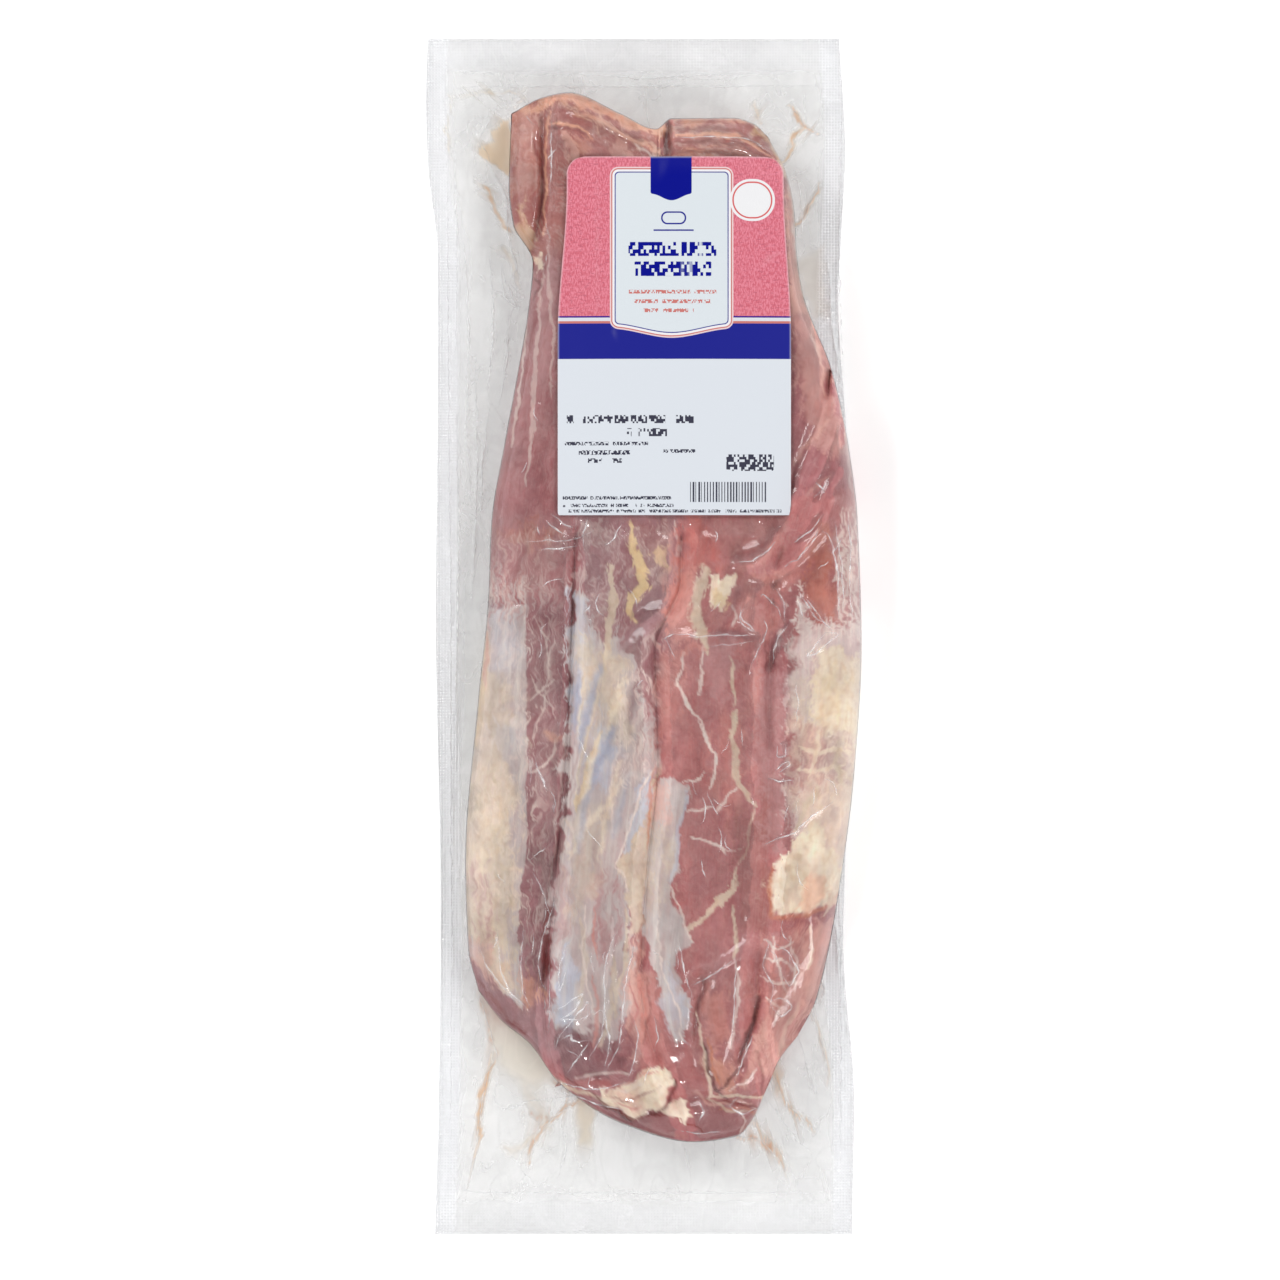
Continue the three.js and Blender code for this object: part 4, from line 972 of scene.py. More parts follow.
TAIL_MARKS = (
    patch(Tissue.PALE_PINK, (51.5, -144), (66, -134), (66, -150), (59.3, -168), (49.6, -178), (46, -172),
          strength=0.6, soft=4, look=STREAKED),
    strand(Tissue.PALE_PINK, 4.0, (49.6, -152), (44, -170), (40, -180), strength=0.5, soft=2),
    strand(Tissue.PINK, 1.4, (-18.9, -107.4), (-19.9, -117), (-17.9, -129), strength=0.7),
    strand(Tissue.MAUVE, 3.0, (-17.6, -111), (-15, -121), (-17, -132), strength=0.6, soft=1.5),
    strand(Tissue.CREAM, 1.6, (-7.2, -109), (-6.2, -123), (-10, -140.6), (-11, -152), strength=0.7),
    strand(Tissue.WEB, 0.8, (-23, -108), (-24.4, -124), (-22, -140), (-19, -152), strength=0.7),
    strand(Tissue.PINK, 2.4, (-1.3, -134.7), (0.7, -150.4), (-2.3, -166), strength=0.75, soft=1.2),
    strand(Tissue.BROWN, 0.9, (1.6, -136), (2.8, -149), (0, -163), strength=0.8),
    strand(Tissue.RED, 1.0, (-5.2, -138), (-3.2, -150), (-7, -163), strength=0.7),
    strand(Tissue.WEB, 0.8, (6.5, -107.4), (5.6, -121), (8.5, -136.7), (14.4, -150), (15.3, -162),
           strength=0.8),
    strand(Tissue.LILAC, 1.2, (-12.6, -112), (-13.4, -128), (-15.6, -142), strength=0.7),
    patch(Tissue.DEEP_PURPLE, (-30, -186), (0, -190), (30, -184), (48, -186), (48, -206), (-30, -206),
          strength=0.4, soft=4),
    strand(Tissue.RED, 5.0, (-35.4, -176), (-20, -180), (-3, -183), strength=0.7, soft=2.4, ragged=1.4),
    strand(Tissue.CREAM, 1.8, (-35.4, -177.8), (-24.6, -182), (-14, -186), (-1.4, -190.6), strength=0.8),
    patch(Tissue.FAT, (-17.4, -182.6), (-8.2, -181), (-2.6, -174.2), (4.2, -170.6), (11.8, -173.8),
          (9, -186.6), (-2.2, -192.4), (-5, -192.4), (-17.4, -185.8), soft=1, ragged=1.0, rise=0.8),
    patch(Tissue.PALE_PINK, (-12, -183.6), (-2, -183), (0, -189), (-5, -190), strength=0.6, soft=3),
    patch(Tissue.CREAM, (2, -174), (9, -176), (7, -184), (0, -184), strength=0.5, soft=3),
    # The dark strand and the blood-coloured line below are painted shadow along the groove under the tail's
    # fat.
    strand(Tissue.DARK, 1.6, (-18, -186.6), (-11, -190), (-5, -193.4), strength=0.85),
    strand(Tissue.BLOOD, 1.1, (-33.6, -175), (-26.7, -178.4), (-18.9, -184), (-11.1, -189.6),
           (-4.2, -192.6),
           (4, -191.4), (10.4, -190.6), (17.6, -195), (24, -198.4), strength=0.8),
    strand(Tissue.WEB, 0.8, (-26.7, -176.2), (-16.9, -173.9), (-5.2, -174.3), strength=0.8),
    strand(Tissue.BROWN, 0.9, (-15, -183.6), (-8, -186), (-3.2, -184.6), (6.5, -179.7), strength=0.75),
    strand(Tissue.PINK, 1.0, (-7, -179), (0.6, -174.2), (6.4, -174), strength=0.8),
    strand(Tissue.PINK, 0.8, (-12, -186.6), (-5, -189), (0, -188), strength=0.8),
    strand(Tissue.WEB, 0.7, (-16, -181), (-7.6, -182), (-1, -178.6), strength=0.7),
    strand(Tissue.DARK, 1.6, (12.6, -176), (10.4, -187), (2, -192), strength=0.7),
    patch(Tissue.FAT, (5.8, -188.6), (13, -185.4), (17.4, -186.6), (18.2, -191), (15.8, -194.6),
          (10, -190.6), strength=0.9, soft=1, rise=0.4),
    strand(Tissue.ORANGE, 1.2, (30, -189), (40, -188), (46, -192), (46, -197), strength=0.5),
    strand(Tissue.PALE_PINK, 1.4, (20, -182), (28, -187), (40, -186), (47, -190), strength=0.6),
    strand(Tissue.CREAM, 1.0, (26, -184), (33, -189), (42, -190), strength=0.6),
    strand(Tissue.BROWN, 1.8, (-16, -193), (0, -198.6), (18, -200), strength=0.5),
    strand(Tissue.DARK, 1.6, (46, -166), (48, -178), (47, -184), strength=0.5, soft=2),
    strand(Tissue.DARK, 1.3, (24.1, -162), (26.1, -173.9), (28, -181), (34, -185), strength=0.75),
    strand(Tissue.ORANGE, 0.9, (25.6, -160), (27.6, -170), (29.6, -179.6), strength=0.8),
    strand(Tissue.DARK, 1.1, (40, -170), (33, -177.8), (29, -182), strength=0.7),
    strand(Tissue.CREAM, 1.1, (30, -183), (39.8, -183.9), (47.4, -184), (48, -188), strength=0.85),
    strand(Tissue.BLOOD, 1.1, (31, -185.4), (39, -187), (46.6, -188.8), strength=0.8),
    strand(Tissue.WEB, 0.8, (34.4, -180.6), (41, -178), (45, -172), strength=0.7),
    strand(Tissue.WEB, 0.7, (38, -190), (41.4, -194), (39, -198), strength=0.7),
)


ALL_MARKS = (
    *HEAD_MARKS, *UPPER_MARKS, *LEFT_MARKS, *MIDDLE_MARKS, *SILVER_FOLDS, *RIGHT_MARKS, *FOLD_SHADE_AND_LIGHT_MARKS,
    *OUTER_MARKS, *TAIL_MARKS,
)


@dataclass
class FleshMap:
    """Paints tissue over the meat: colours, how fatty or silvery it is, and low relief."""

    form: PackForm
    wander_size: float = 8.0
    fine_wander_size: float = 1.8
    streak_width: float = 1.4
    streak_length: float = 20.0
    edge_softness: float = 0.95
    lanes: tuple[float, ...] = (-66.0, -28.0, 6.0, 50.0, 84.0)
    seeds: tuple[int, ...] = (3, 11, 23, 37, 51)
    fray_level: float = 0.35
    widest_fray: float = 5.0
    cloud_contrast: float = 0.09
    broad_contrast: float = 0.16

    def __post_init__(self) -> None:
        """Draws the noises that every mark shares."""
        self.noises = [Noise(seed) for seed in self.seeds]

    def lane(self, x: np.ndarray, y: np.ndarray) -> np.ndarray:
        """Works out how far across the fibres places lie, in lines that run down with the meat.

        Args:
            x: Places across.
            y: Places along.

        Returns:
            The coordinate across the fibres, in millimetres.
        """
        form = self.form
        sides = [form.meat_left(y), form.left_seam(y), form.right_seam(y), form.outer_groove(y)]
        sides.append(np.maximum(form.meat_right(y), sides[-1] + 1.0))
        across = np.full(x.shape, self.lanes[0])
        for k in range(len(sides) - 1):
            width = np.maximum(sides[k + 1] - sides[k], 1.0)
            share = np.clip((x - sides[k]) / width, 0.0, 1.0)
            across = across + share * (self.lanes[k + 1] - self.lanes[k])
        return across

    def grain(self, x: np.ndarray, y: np.ndarray) -> tuple[np.ndarray, np.ndarray]:
        """Returns coordinates across and along the fibres, which turn with the folded heads.

        Args:
            x: Places across.
            y: Places along.

        Returns:
            The coordinate across the fibres and the one along them, in millimetres.
        """
        left_head = smooth_step((y - 168) / 16) * smooth_step((x + 40) / 6) * smooth_step((10 - x) / 4)
        right_head = smooth_step((y - 160) / 16) * smooth_step((x - 8) / 4)
        down = self.lane(x, y), y
        slanted = 0.52 * x + 0.85 * y, 0.85 * x - 0.52 * y
        level = y + 0.1 * x, x
        u = mix(mix(down[0], slanted[0], left_head), level[0], right_head)
        v = mix(mix(down[1], slanted[1], left_head), level[1], right_head)
        return u, v

    def paint(self, x: np.ndarray, y: np.ndarray) -> dict[str, np.ndarray]:
        """Paints every mark over plan places.

        Args:
            x: Places across.
            y: Places along.

        Returns:
            Colour, fat, silver, dark and relief at each place, by name.
        """
        wide, fine, streaks, web, tone = self.noises
        u, v = self.grain(x, y)
        slow = x / self.wander_size, y / self.wander_size
        quick = x / self.fine_wander_size, y / self.fine_wander_size
        wander_x = 2.2 * wide.layered(*slow) + 0.3 * fine.plain(*quick)
        wander_y = 2.2 * wide.layered(slow[1] + 40, slow[0]) + 0.3 * fine.plain(quick[1], quick[0] + 9)
        warp_x = 3.2 * wide.layered(x / 9, y / 9)
        warp_y = 3.2 * wide.layered(y / 9 + 40, x / 9)
        streak = streaks.layered((u + warp_x) / self.streak_width, (v + warp_y) / self.streak_length, 3)
        streak = smooth_step(0.5 + 0.9 * streak + 0.4 * web.plain(u / 5, v / 14))
        along_wisps = smooth_step((web.ridged((u + warp_x) / 2.8, (v + warp_y) / 20) - 0.8) / 0.18)
        lean_u, lean_v = 0.9 * u + 0.35 * v, 0.9 * v - 0.35 * u
        crossing = fine.ridged((lean_u + warp_x) / 3.6 + 5, (lean_v + warp_y) / 18)
        cross_wisps = smooth_step((crossing - 0.84) / 0.15)
        veil = smooth_step(0.5 + 1.1 * tone.layered((u + warp_x) / 5, (v + warp_y) / 18, 3))
        network = 0.75 * along_wisps + 0.6 * cross_wisps * (0.3 + 0.7 * veil) + 0.4 * veil
        network = np.clip(network, 0.0, 1.0)
        thin = smooth_step(0.4 + 1.3 * streaks.layered(u / 3.4, v / 12, 3))
        colour = self.ground(x, y, tone)
        masks = {name: np.zeros(x.shape) for name in ("fat", "silver", "dark", "relief")}
        for mark in ALL_MARKS:
            points = np.array(mark.points, float)
            margin = mark.width + 2 * mark.soft + 3 * mark.ragged + 1.0
            near = near_box(points, margin, x, y)
            if not near.size:
                continue
            at_x = x[near] + mark.ragged * wander_x[near]
            at_y = y[near] + mark.ragged * wander_y[near]
            soft = np.full(near.shape, self.edge_softness * mark.soft)
            reach = 0.35 * mark.width or min(mark.soft, self.widest_fray)
            fray = reach * (network[near] - self.fray_level)
            cover = mark.cover(at_x, at_y, soft, fray) * mark.strength
            if not mark.width:
                cover = cover * (1 - 0.2 * thin[near])
            if mark.look is Look.STREAKED:
                cover = cover * (0.15 + 0.85 * streak[near])
            if mark.look is Look.WEBBED:
                cover = cover * network[near]
            target = np.array(linear(mark.tissue.value))
            colour[near] = mix(colour[near], target, cover[:, None])
            for name, tissues in KINDS.items():
                aim = 1.0 if mark.tissue in tissues else 0.0
                masks[name][near] = mix(masks[name][near], aim, cover)
            masks["relief"][near] = np.maximum(masks["relief"][near], mark.rise * cover)
        cloud = self.mottle(x, y)
        broad = tone.layered((u + warp_x) / 9, (v + warp_y) / 26, 2)
        shade = 1 + self.cloud_contrast * cloud + self.broad_contrast * broad
        masks["colour"] = np.clip(colour * shade[:, None], 0.0, 1.0)
        masks["cloud"] = cloud
        return masks

    def ground(self, x: np.ndarray, y: np.ndarray, tone: Noise) -> np.ndarray:
        """Returns the colours of the bare muscle under every mark.

        Args:
            x: Places across.
            y: Places along.
            tone: Noise that varies the muscle's tone.

        Returns:
            A linear colour for each place.
        """
        pale, deep = np.array(linear(Tissue.ROSY.value)), np.array(linear(Tissue.DEEP_PURPLE.value))
        share = 0.2 + 0.3 * tone.layered(x / 22, y / 34)
        return mix(pale, deep, np.clip(share, 0.0, 1.0)[:, None])

    def mottle(self, x: np.ndarray, y: np.ndarray) -> np.ndarray:
        """Makes the small light and dark clouds of the flesh.

        Args:
            x: Places across.
            y: Places along.

        Returns:
            Values about 0 at each place.
        """
        wide, fine, _, web, tone = self.noises
        warp = 2.0 * wide.layered(x / 7, y / 7)
        clouds = tone.layered((x + warp) / 3.4, (y + warp) / 4.6, 3)
        return 0.6 * clouds + 0.4 * fine.layered((x - warp) / 1.5, (y + warp) / 2.2, 2)


@dataclass(frozen=True)
class Crease:
    """A raised fold of film along a line on the plan."""

    points: tuple[Point, ...]
    width: float = 1.0
    rise: float = 0.5
    # gleam: how much crease whitening with a painted highlight lightens the fold.
    gleam: float = 0.8


MEAT_CREASES = (
    Crease(((-46.6, 37.4), (-38, 38.4), (-30.6, 38.2), (-24.6, 39.8), (-19.4, 43)), 1.0, 0.7, 0.35),
    Crease(((-42.8, 34.6), (-34, 35), (-25.8, 36.6)), 0.8, 0.5, 0.5),
    Crease(((-39, 46.6), (-34.2, 42.2), (-29.4, 39.8)), 0.8, 0.5, 0.6),
    Crease(((-36.6, 49), (-32, 45), (-28.2, 43.4)), 0.8, 0.4, 0.5),
    Crease(((-42.8, 44), (-41.4, 41)), 0.9, 0.4, 1.0),
    Crease(((-22, 47), (-24.6, 41), (-23.4, 35)), 0.8, 0.4, 0.5),
    Crease(((-58.6, -117.4), (-57.4, -132.6), (-53.4, -141.8), (-45.8, -149.4)), 0.7, 0.5, 0.9),
    Crease(((-47.8, -117.4), (-49, -129.8), (-48.2, -141.8), (-45.4, -147.8)), 0.7, 0.5, 0.9),
    Crease(((-66, -124), (-63, -131), (-58, -138), (-50, -147)), 0.6, 0.3, 0.7),
    Crease(((-34.6, -103), (-36.2, -108.6), (-40.6, -121.4), (-42.2, -129.8), (-40.6, -138.6),
            (-38.2, -143)), 0.9, 0.6, 0.8),
    Crease(((-37.6, -129.8), (-37.8, -151.8), (-37.8, -165)), 0.6, 0.3, 0.4),
    Crease(((-30, -122), (-34, -134), (-33.4, -142), (-30.4, -132)), 0.6, 0.3, 0.7),
    Crease(((-35, -164.6), (-34.2, -160.2), (-28.2, -153), (-22, -145.4), (-22.6, -151.8),
            (-25.8, -155.4)), 0.9, 0.7, 1.0),
    Crease(((-34.2, -161.4), (-28.2, -158.6), (-29.4, -161), (-24.4, -161.4), (-21.4, -161)),
           1.5, 0.8, 1.0),
    Crease(((-11, -117.4), (-15.6, -132.2), (-15.6, -146.6), (-16.6, -160.2), (-22.6, -169.4)),
           0.9, 0.6, 0.95),
    Crease(((-2.4, -117.4), (-7.4, -139), (-8.6, -154.2), (-9.8, -163.8), (-15.4, -173.8)),
           0.9, 0.6, 0.95),
    Crease(((-20.2, -151), (-16.6, -148.6), (-15.4, -151.8), (-13.4, -161.4), (-15.4, -172.6)),
           0.8, 0.5, 0.9),
    Crease(((-30.6, -175), (-26, -168), (-21.4, -161.4)), 0.8, 0.5, 0.8),
    Crease(((-4, -152), (-2, -160), (-3.4, -168), (-6, -176)), 0.8, 0.5, 0.9),
    Crease(((4, -150), (6, -160), (2, -172)), 0.6, 0.4, 0.6),
    Crease(((4, -4.2), (12, 1.4), (25.4, -0.6)), 0.7, 0.5, 0.4),
    Crease(((4, -4.2), (10, 6), (15, 14)), 0.7, 0.4, 0.3),
    Crease(((15.8, -0.6), (30, 0.6), (45, 0.4)), 1.1, 0.8, 0.35),
    Crease(((26, -3.6), (36, -3), (44, -2)), 0.7, 0.4, 0.2),
    Crease(((36.8, 29.4), (43.8, 30.2), (49.8, 34.6), (54.6, 39.4)), 1.2, 0.8, 0.45),
    Crease(((43.4, 24.6), (53.8, 26.6), (61.4, 31), (67.8, 38.6), (71.4, 45.4)), 0.8, 0.6, 0.45),
    Crease(((38.2, 11.8), (39, 7), (45, 1.8)), 0.8, 0.5, 0.7),
    Crease(((47, 9.4), (49.8, 2.6), (46.2, -4.2), (42.6, -12.6)), 0.9, 0.6, 0.85),
    Crease(((46.4, 14), (47.4, 17), (53.8, 11.8), (55, 7)), 0.9, 0.6, 0.6),
    Crease(((52, 20), (56, 14), (56.4, 6)), 1.2, 0.7, 0.3),
    Crease(((58.6, 36.6), (66.2, 41.8), (71.8, 48.6)), 0.8, 0.5, 0.5),
    Crease(((71, 42.2), (74.2, 39.8), (75.8, 34.6), (77.8, 24.2), (77.8, 7)), 1.3, 0.9, 0.45),
    Crease(((62, 18), (68, 8), (74, 4)), 1.2, 0.7, 0.35),
    Crease(((73, 1.8), (78.2, 1.4), (69, -6.6), (65, -7.8), (73, 1.8)), 0.8, 0.6, 0.95),
    Crease(((60.4, -18), (62, -26), (60.6, -36)), 0.6, 0.3, 0.5),
    Crease(((53.4, -42.6), (57, -43), (57, -48), (53.4, -48), (53.4, -42.6)), 0.7, 0.5, 0.85),
    Crease(((51.4, -54.2), (55, -51), (58.2, -49.8), (58.2, -51.8), (53, -54.6)), 0.8, 0.5, 1.0),
    Crease(((48, -56), (54, -58), (60, -57)), 0.8, 0.5, 0.7),
    Crease(((46, -84.4), (53, -81), (60.2, -78.2), (67.8, -71.4), (75.8, -65.8)), 0.9, 0.6, 0.4),
    Crease(((18.6, -139.6), (25.4, -136.4), (36.2, -128.9)), 0.9, 0.6, 0.7),
    Crease(((36.8, -130), (36.2, -148), (34.8, -163)), 0.8, 0.5, 0.4),
    Crease(((14, -121), (16.4, -134), (19.6, -145)), 0.7, 0.4, 0.5),
    Crease(((-36, -150), (-30, -146), (-24, -142), (-27, -149), (-33, -153), (-25, -153), (-20, -149)),
           1.4, 0.9, 1.0),
    Crease(((40, 12), (38, 7), (41, 3), (45, 2)), 1.0, 0.8, 0.9),
    Crease(((64, 16), (69, 10), (72, 5.4), (76, 2.4)), 0.9, 0.7, 0.6),
    Crease(((61.4, 14.6), (62.6, 12), (63.6, 8)), 1.3, 0.8, 0.9),
    Crease(((58, 5), (54, 1), (52, -5), (51.6, -11)), 0.8, 0.5, 0.45),
    Crease(((45.6, -118), (50, -122), (47.6, -132), (52, -140), (50, -150)), 0.8, 0.6, 0.75),
    Crease(((52, -122), (58, -126), (62, -134), (58, -140), (54, -132)), 0.7, 0.5, 0.75),
    Crease(((50, -146), (55, -144), (60, -148), (55, -152), (50, -146)), 0.8, 0.5, 0.85),
    Crease(((44, -158), (40, -168), (36, -178)), 0.9, 0.6, 0.6),
    Crease(((21.7, -184.6), (24.4, -189.8), (22.2, -194.2)), 1.3, 0.7, 1.0),
    Crease(((38, -184), (34, -188), (40, -191), (46, -188)), 0.9, 0.6, 0.85),
    Crease(((-35.6, -177.6), (-28, -180), (-18, -181), (-6, -178)), 0.9, 0.6, 0.85),
    Crease(((-30, -183), (-18, -187), (-8, -189)), 0.8, 0.5, 0.7),
    Crease(((12, -197), (22, -199), (32, -198)), 0.8, 0.5, 0.6),
    Crease(((-44.4, -94), (-40, -102), (-37, -112)), 0.7, 0.4, 0.4),
    Crease(((-43.4, -50), (-40, -58), (-38.2, -62)), 1.3, 0.4, 0.7),
    Crease(((76, 46), (79, 30), (80, 12)), 0.7, 0.5, 0.8),
    Crease(((81.6, 48), (83, 34), (82, 20), (84, 6)), 0.7, 0.5, 0.7),
    Crease(((61, 186), (63, 176), (63.4, 160)), 0.8, 0.5, 0.5),
    Crease(((-36.6, 206), (-36.8, 192), (-37.4, 176)), 0.7, 0.4, 0.4),
    Crease(((13, 199), (26, 199.4), (42, 199), (50, 194)), 0.7, 0.4, 0.4),
)

RIM_CREASES = (
    Crease(((-63.6, 194.6), (-59.8, 185.8), (-55, 176.2), (-54.6, 162), (-52.6, 154.6), (-50.6, 147.8),
            (-53.8, 142.2), (-48.8, 136.2)), 1.0, 0.8, 0.95),
    Crease(((-57, 150), (-55, 142), (-50.6, 132), (-56, 136), (-57, 150)), 0.7, 0.5, 0.7),
    Crease(((-62.2, 156), (-60.2, 135.4), (-60.6, 116), (-63, 96)), 0.8, 0.6, 0.85),
    Crease(((-54, 132), (-54.6, 112), (-58, 92)), 0.7, 0.5, 0.6),
    Crease(((-72, 160), (-70, 120), (-71, 84), (-69, 50)), 0.8, 0.6, 0.7),
    Crease(((-67.6, 110), (-66.6, 76), (-67.6, 40), (-69, 10)), 0.8, 0.6, 0.7),
    Crease(((-75.4, 90), (-74, 50), (-74.6, 10), (-76, -50)), 0.7, 0.5, 0.5),
    Crease(((-62, 92), (-64.6, 70), (-65.6, 44)), 0.8, 0.6, 0.75),
    Crease(((-76, 200), (-74.6, 150), (-75.6, 110)), 0.6, 0.3, 0.4),
    Crease(((-66.2, -143.8), (-61.4, -157.8), (-58.2, -170.6)), 0.9, 0.7, 0.6),
    Crease(((-58.2, -170.6), (-62.4, -175), (-64.6, -184.6), (-67.2, -208)), 0.8, 0.6, 0.4),
    Crease(((-58, -172), (-60, -186), (-56, -190), (-44, -186), (-24, -184)), 0.7, 0.5, 0.7),
    Crease(((-23.8, -184.6), (-36.6, -193.2), (-43, -199.6), (-45.4, -211)), 0.9, 0.6, 0.45),
    Crease(((-56, -205), (-50, -212), (-45, -219)), 0.7, 0.5, 0.6),
    Crease(((-33, -192), (-31, -206), (-34, -218)), 0.6, 0.4, 0.6),
    Crease(((37.2, -200.6), (46.9, -201.8), (56.6, -212.6)), 0.8, 0.5, 0.4),
    Crease(((46, -196), (54, -205), (60, -216), (62, -221)), 0.7, 0.5, 0.8),
    Crease(((50, -186), (58, -198), (68, -208)), 0.7, 0.5, 0.8),
    Crease(((52.2, -176), (57.6, -187.8), (69.4, -198.6), (72, -192)), 0.9, 0.7, 0.9),
    Crease(((66.6, -150.2), (72.6, -166.4), (74.2, -178.2)), 0.9, 0.6, 0.85),
    Crease(((62, -160), (66, -174), (70, -186)), 0.7, 0.5, 0.6),
    Crease(((70, -132), (73, -142), (71, -148)), 0.9, 0.6, 0.8),
    Crease(((76, -112), (78, -124), (78.4, -140)), 0.7, 0.5, 0.7),
    Crease(((54.6, 190.6), (59.4, 196.6), (64.4, 205.2), (63.4, 208.2), (57.6, 213)), 0.9, 0.6, 0.35),
    Crease(((64.4, 205.2), (70.2, 201.4)), 0.8, 0.5, 0.5),
    Crease(((71, 181.8), (66, 172), (61.6, 162.6)), 0.9, 0.6, 0.5),
    Crease(((43.4, 214), (45.8, 207)), 0.8, 0.5, 0.4),
    Crease(((74, 150), (76, 120), (80, 96)), 0.7, 0.5, 0.6),
    Crease(((-58, 214), (-66, 200), (-62, 192)), 0.8, 0.6, 0.8),
    Crease(((-30, 226), (0, 224), (40, 226)), 0.6, 0.3, 0.35),
    Crease(((-79, 214), (-78.4, 120), (-77.4, 0), (-77, -120), (-77.6, -214)), 0.7, 0.25, 0.3),
    Crease(((79.6, 214), (78.4, 150), (80.4, 100)), 0.7, 0.25, 0.3),
    Crease(((79, -110), (79.4, -160), (79, -214)), 0.7, 0.25, 0.3),
    Crease(((-79, 214), (-76, 219.6), (-70, 220.8), (70, 220.8), (77, 219.6),
           (79.6, 214)), 0.7, 0.25, 0.4),
    Crease(((-77.6, -214), (-75, -221.6), (-68, -223.2), (70, -223.2), (76.6, -221.6), (79, -214)),
           0.8, 0.25, 0.4),
)


@dataclass(frozen=True)
class Stain:
    """Meat juice caught between the two films of the rim."""

    points: tuple[Point, ...]
    width: float
    tint: Colour
    strength: float
    soft: float = 3.0


STAINS = (
    Stain(((-53, 209), (-62.2, 203.4), (-60.4, 199.6), (-66, 196.6), (-66.8, 193.6), (-61, 189.6),
           (-52, 183)), 0.0, (240, 214, 178), 0.85, 1.0),
    Stain(((-53, 211), (-50, 215), (-47, 217), (-51, 212)), 0.0, (238, 214, 182), 0.7, 1.6),
    Stain(((-78, 217), (-62, 218.4), (-46, 219)), 0.7, (232, 214, 182), 0.7, 1.0),
    Stain(((-77.6, 217), (-78.4, 204), (-77.6, 192)), 0.8, (234, 216, 186), 0.7, 1.2),
    Stain(((-66.6, -140), (-55, -143), (-37, -158), (-33, -172), (-36, -180), (-48, -180), (-56, -174),
           (-61, -162), (-64, -152)), 0.0, (250, 242, 226), 0.7, 6.0),
    Stain(((-66.4, -139), (-56, -142), (-44, -153), (-50, -157), (-60, -153)), 0.0,
          (204, 150, 132), 0.7, 5.0),
    Stain(((-66.2, -142), (-61.4, -157.8), (-58.2, -170.6)), 1.6, (194, 130, 82), 0.7, 1.0),
    Stain(((-58.2, -170.6), (-62.4, -175), (-64.6, -184.6), (-67.2, -208)), 2.2,
          (222, 168, 110), 0.85, 1.2),
    Stain(((-35.8, -178), (-23.8, -184.6), (-36.6, -193.2), (-43, -199.6), (-45.4, -213)), 1.6,
          (212, 154, 100), 0.85, 1.0),
    Stain(((-44, -200), (-50, -207), (-56, -204)), 3.6, (240, 218, 184), 0.5, 3.0),
    Stain(((-48, -191), (-42, -192.4), (-36, -192)), 1.2, (166, 86, 52), 0.85, 1.0),
    Stain(((-50, -178), (-42, -190), (-38, -198)), 4.0, (238, 222, 200), 0.5, 4.0),
    Stain(((-27, -184.6), (-19.4, -187), (-21, -203.8), (-26, -203.8)), 0.0, (238, 222, 196), 0.7, 4.0),
    Stain(((36, -200.4), (46.9, -201.8), (56.6, -213)), 1.3, (218, 154, 102), 0.85, 1.0),
    Stain(((42, -194), (50, -202), (58, -214)), 1.5, (228, 178, 128), 0.7, 1.2),
    Stain(((52.2, -174), (57.6, -187.8), (69.4, -199)), 1.5, (222, 170, 118), 0.85, 1.0),
    Stain(((49, -166), (55, -176), (53, -184)), 4.0, (228, 190, 152), 0.6, 3.0),
    Stain(((66.6, -148), (72.6, -166.4), (74.2, -180)), 1.2, (216, 160, 112), 0.6, 1.6),
    Stain(((78.6, -100), (74.6, -114), (72.6, -122), (69.4, -138)), 1.8, (208, 146, 98), 0.8, 1.2),
    Stain(((54.6, 189.6), (59.4, 196.6), (64.4, 205.2), (63.4, 208.2), (57.6, 213)), 1.8,
          (228, 182, 130), 0.85, 1.2),
    Stain(((60, 211), (64.4, 205.2), (70.4, 201)), 1.4, (220, 166, 116), 0.85, 1.0),
    Stain(((71, 182), (66, 172), (61.2, 162)), 1.6, (224, 174, 124), 0.8, 1.1),
    Stain(((43.4, 214.4), (45.8, 206.4)), 2.0, (224, 190, 150), 0.7, 1.8),
    Stain(((-64, 181), (-60.6, 172.2), (-52.6, 161)), 1.6, (226, 180, 130), 0.8, 1.1),
    Stain(((-56, 156), (-53, 150), (-50, 140)), 2.0, (226, 190, 148), 0.5, 2.0),
    Stain(((60, 150), (72, 156), (74, 130), (68, 128)), 0.0, (236, 226, 214), 0.4, 5.0),
)


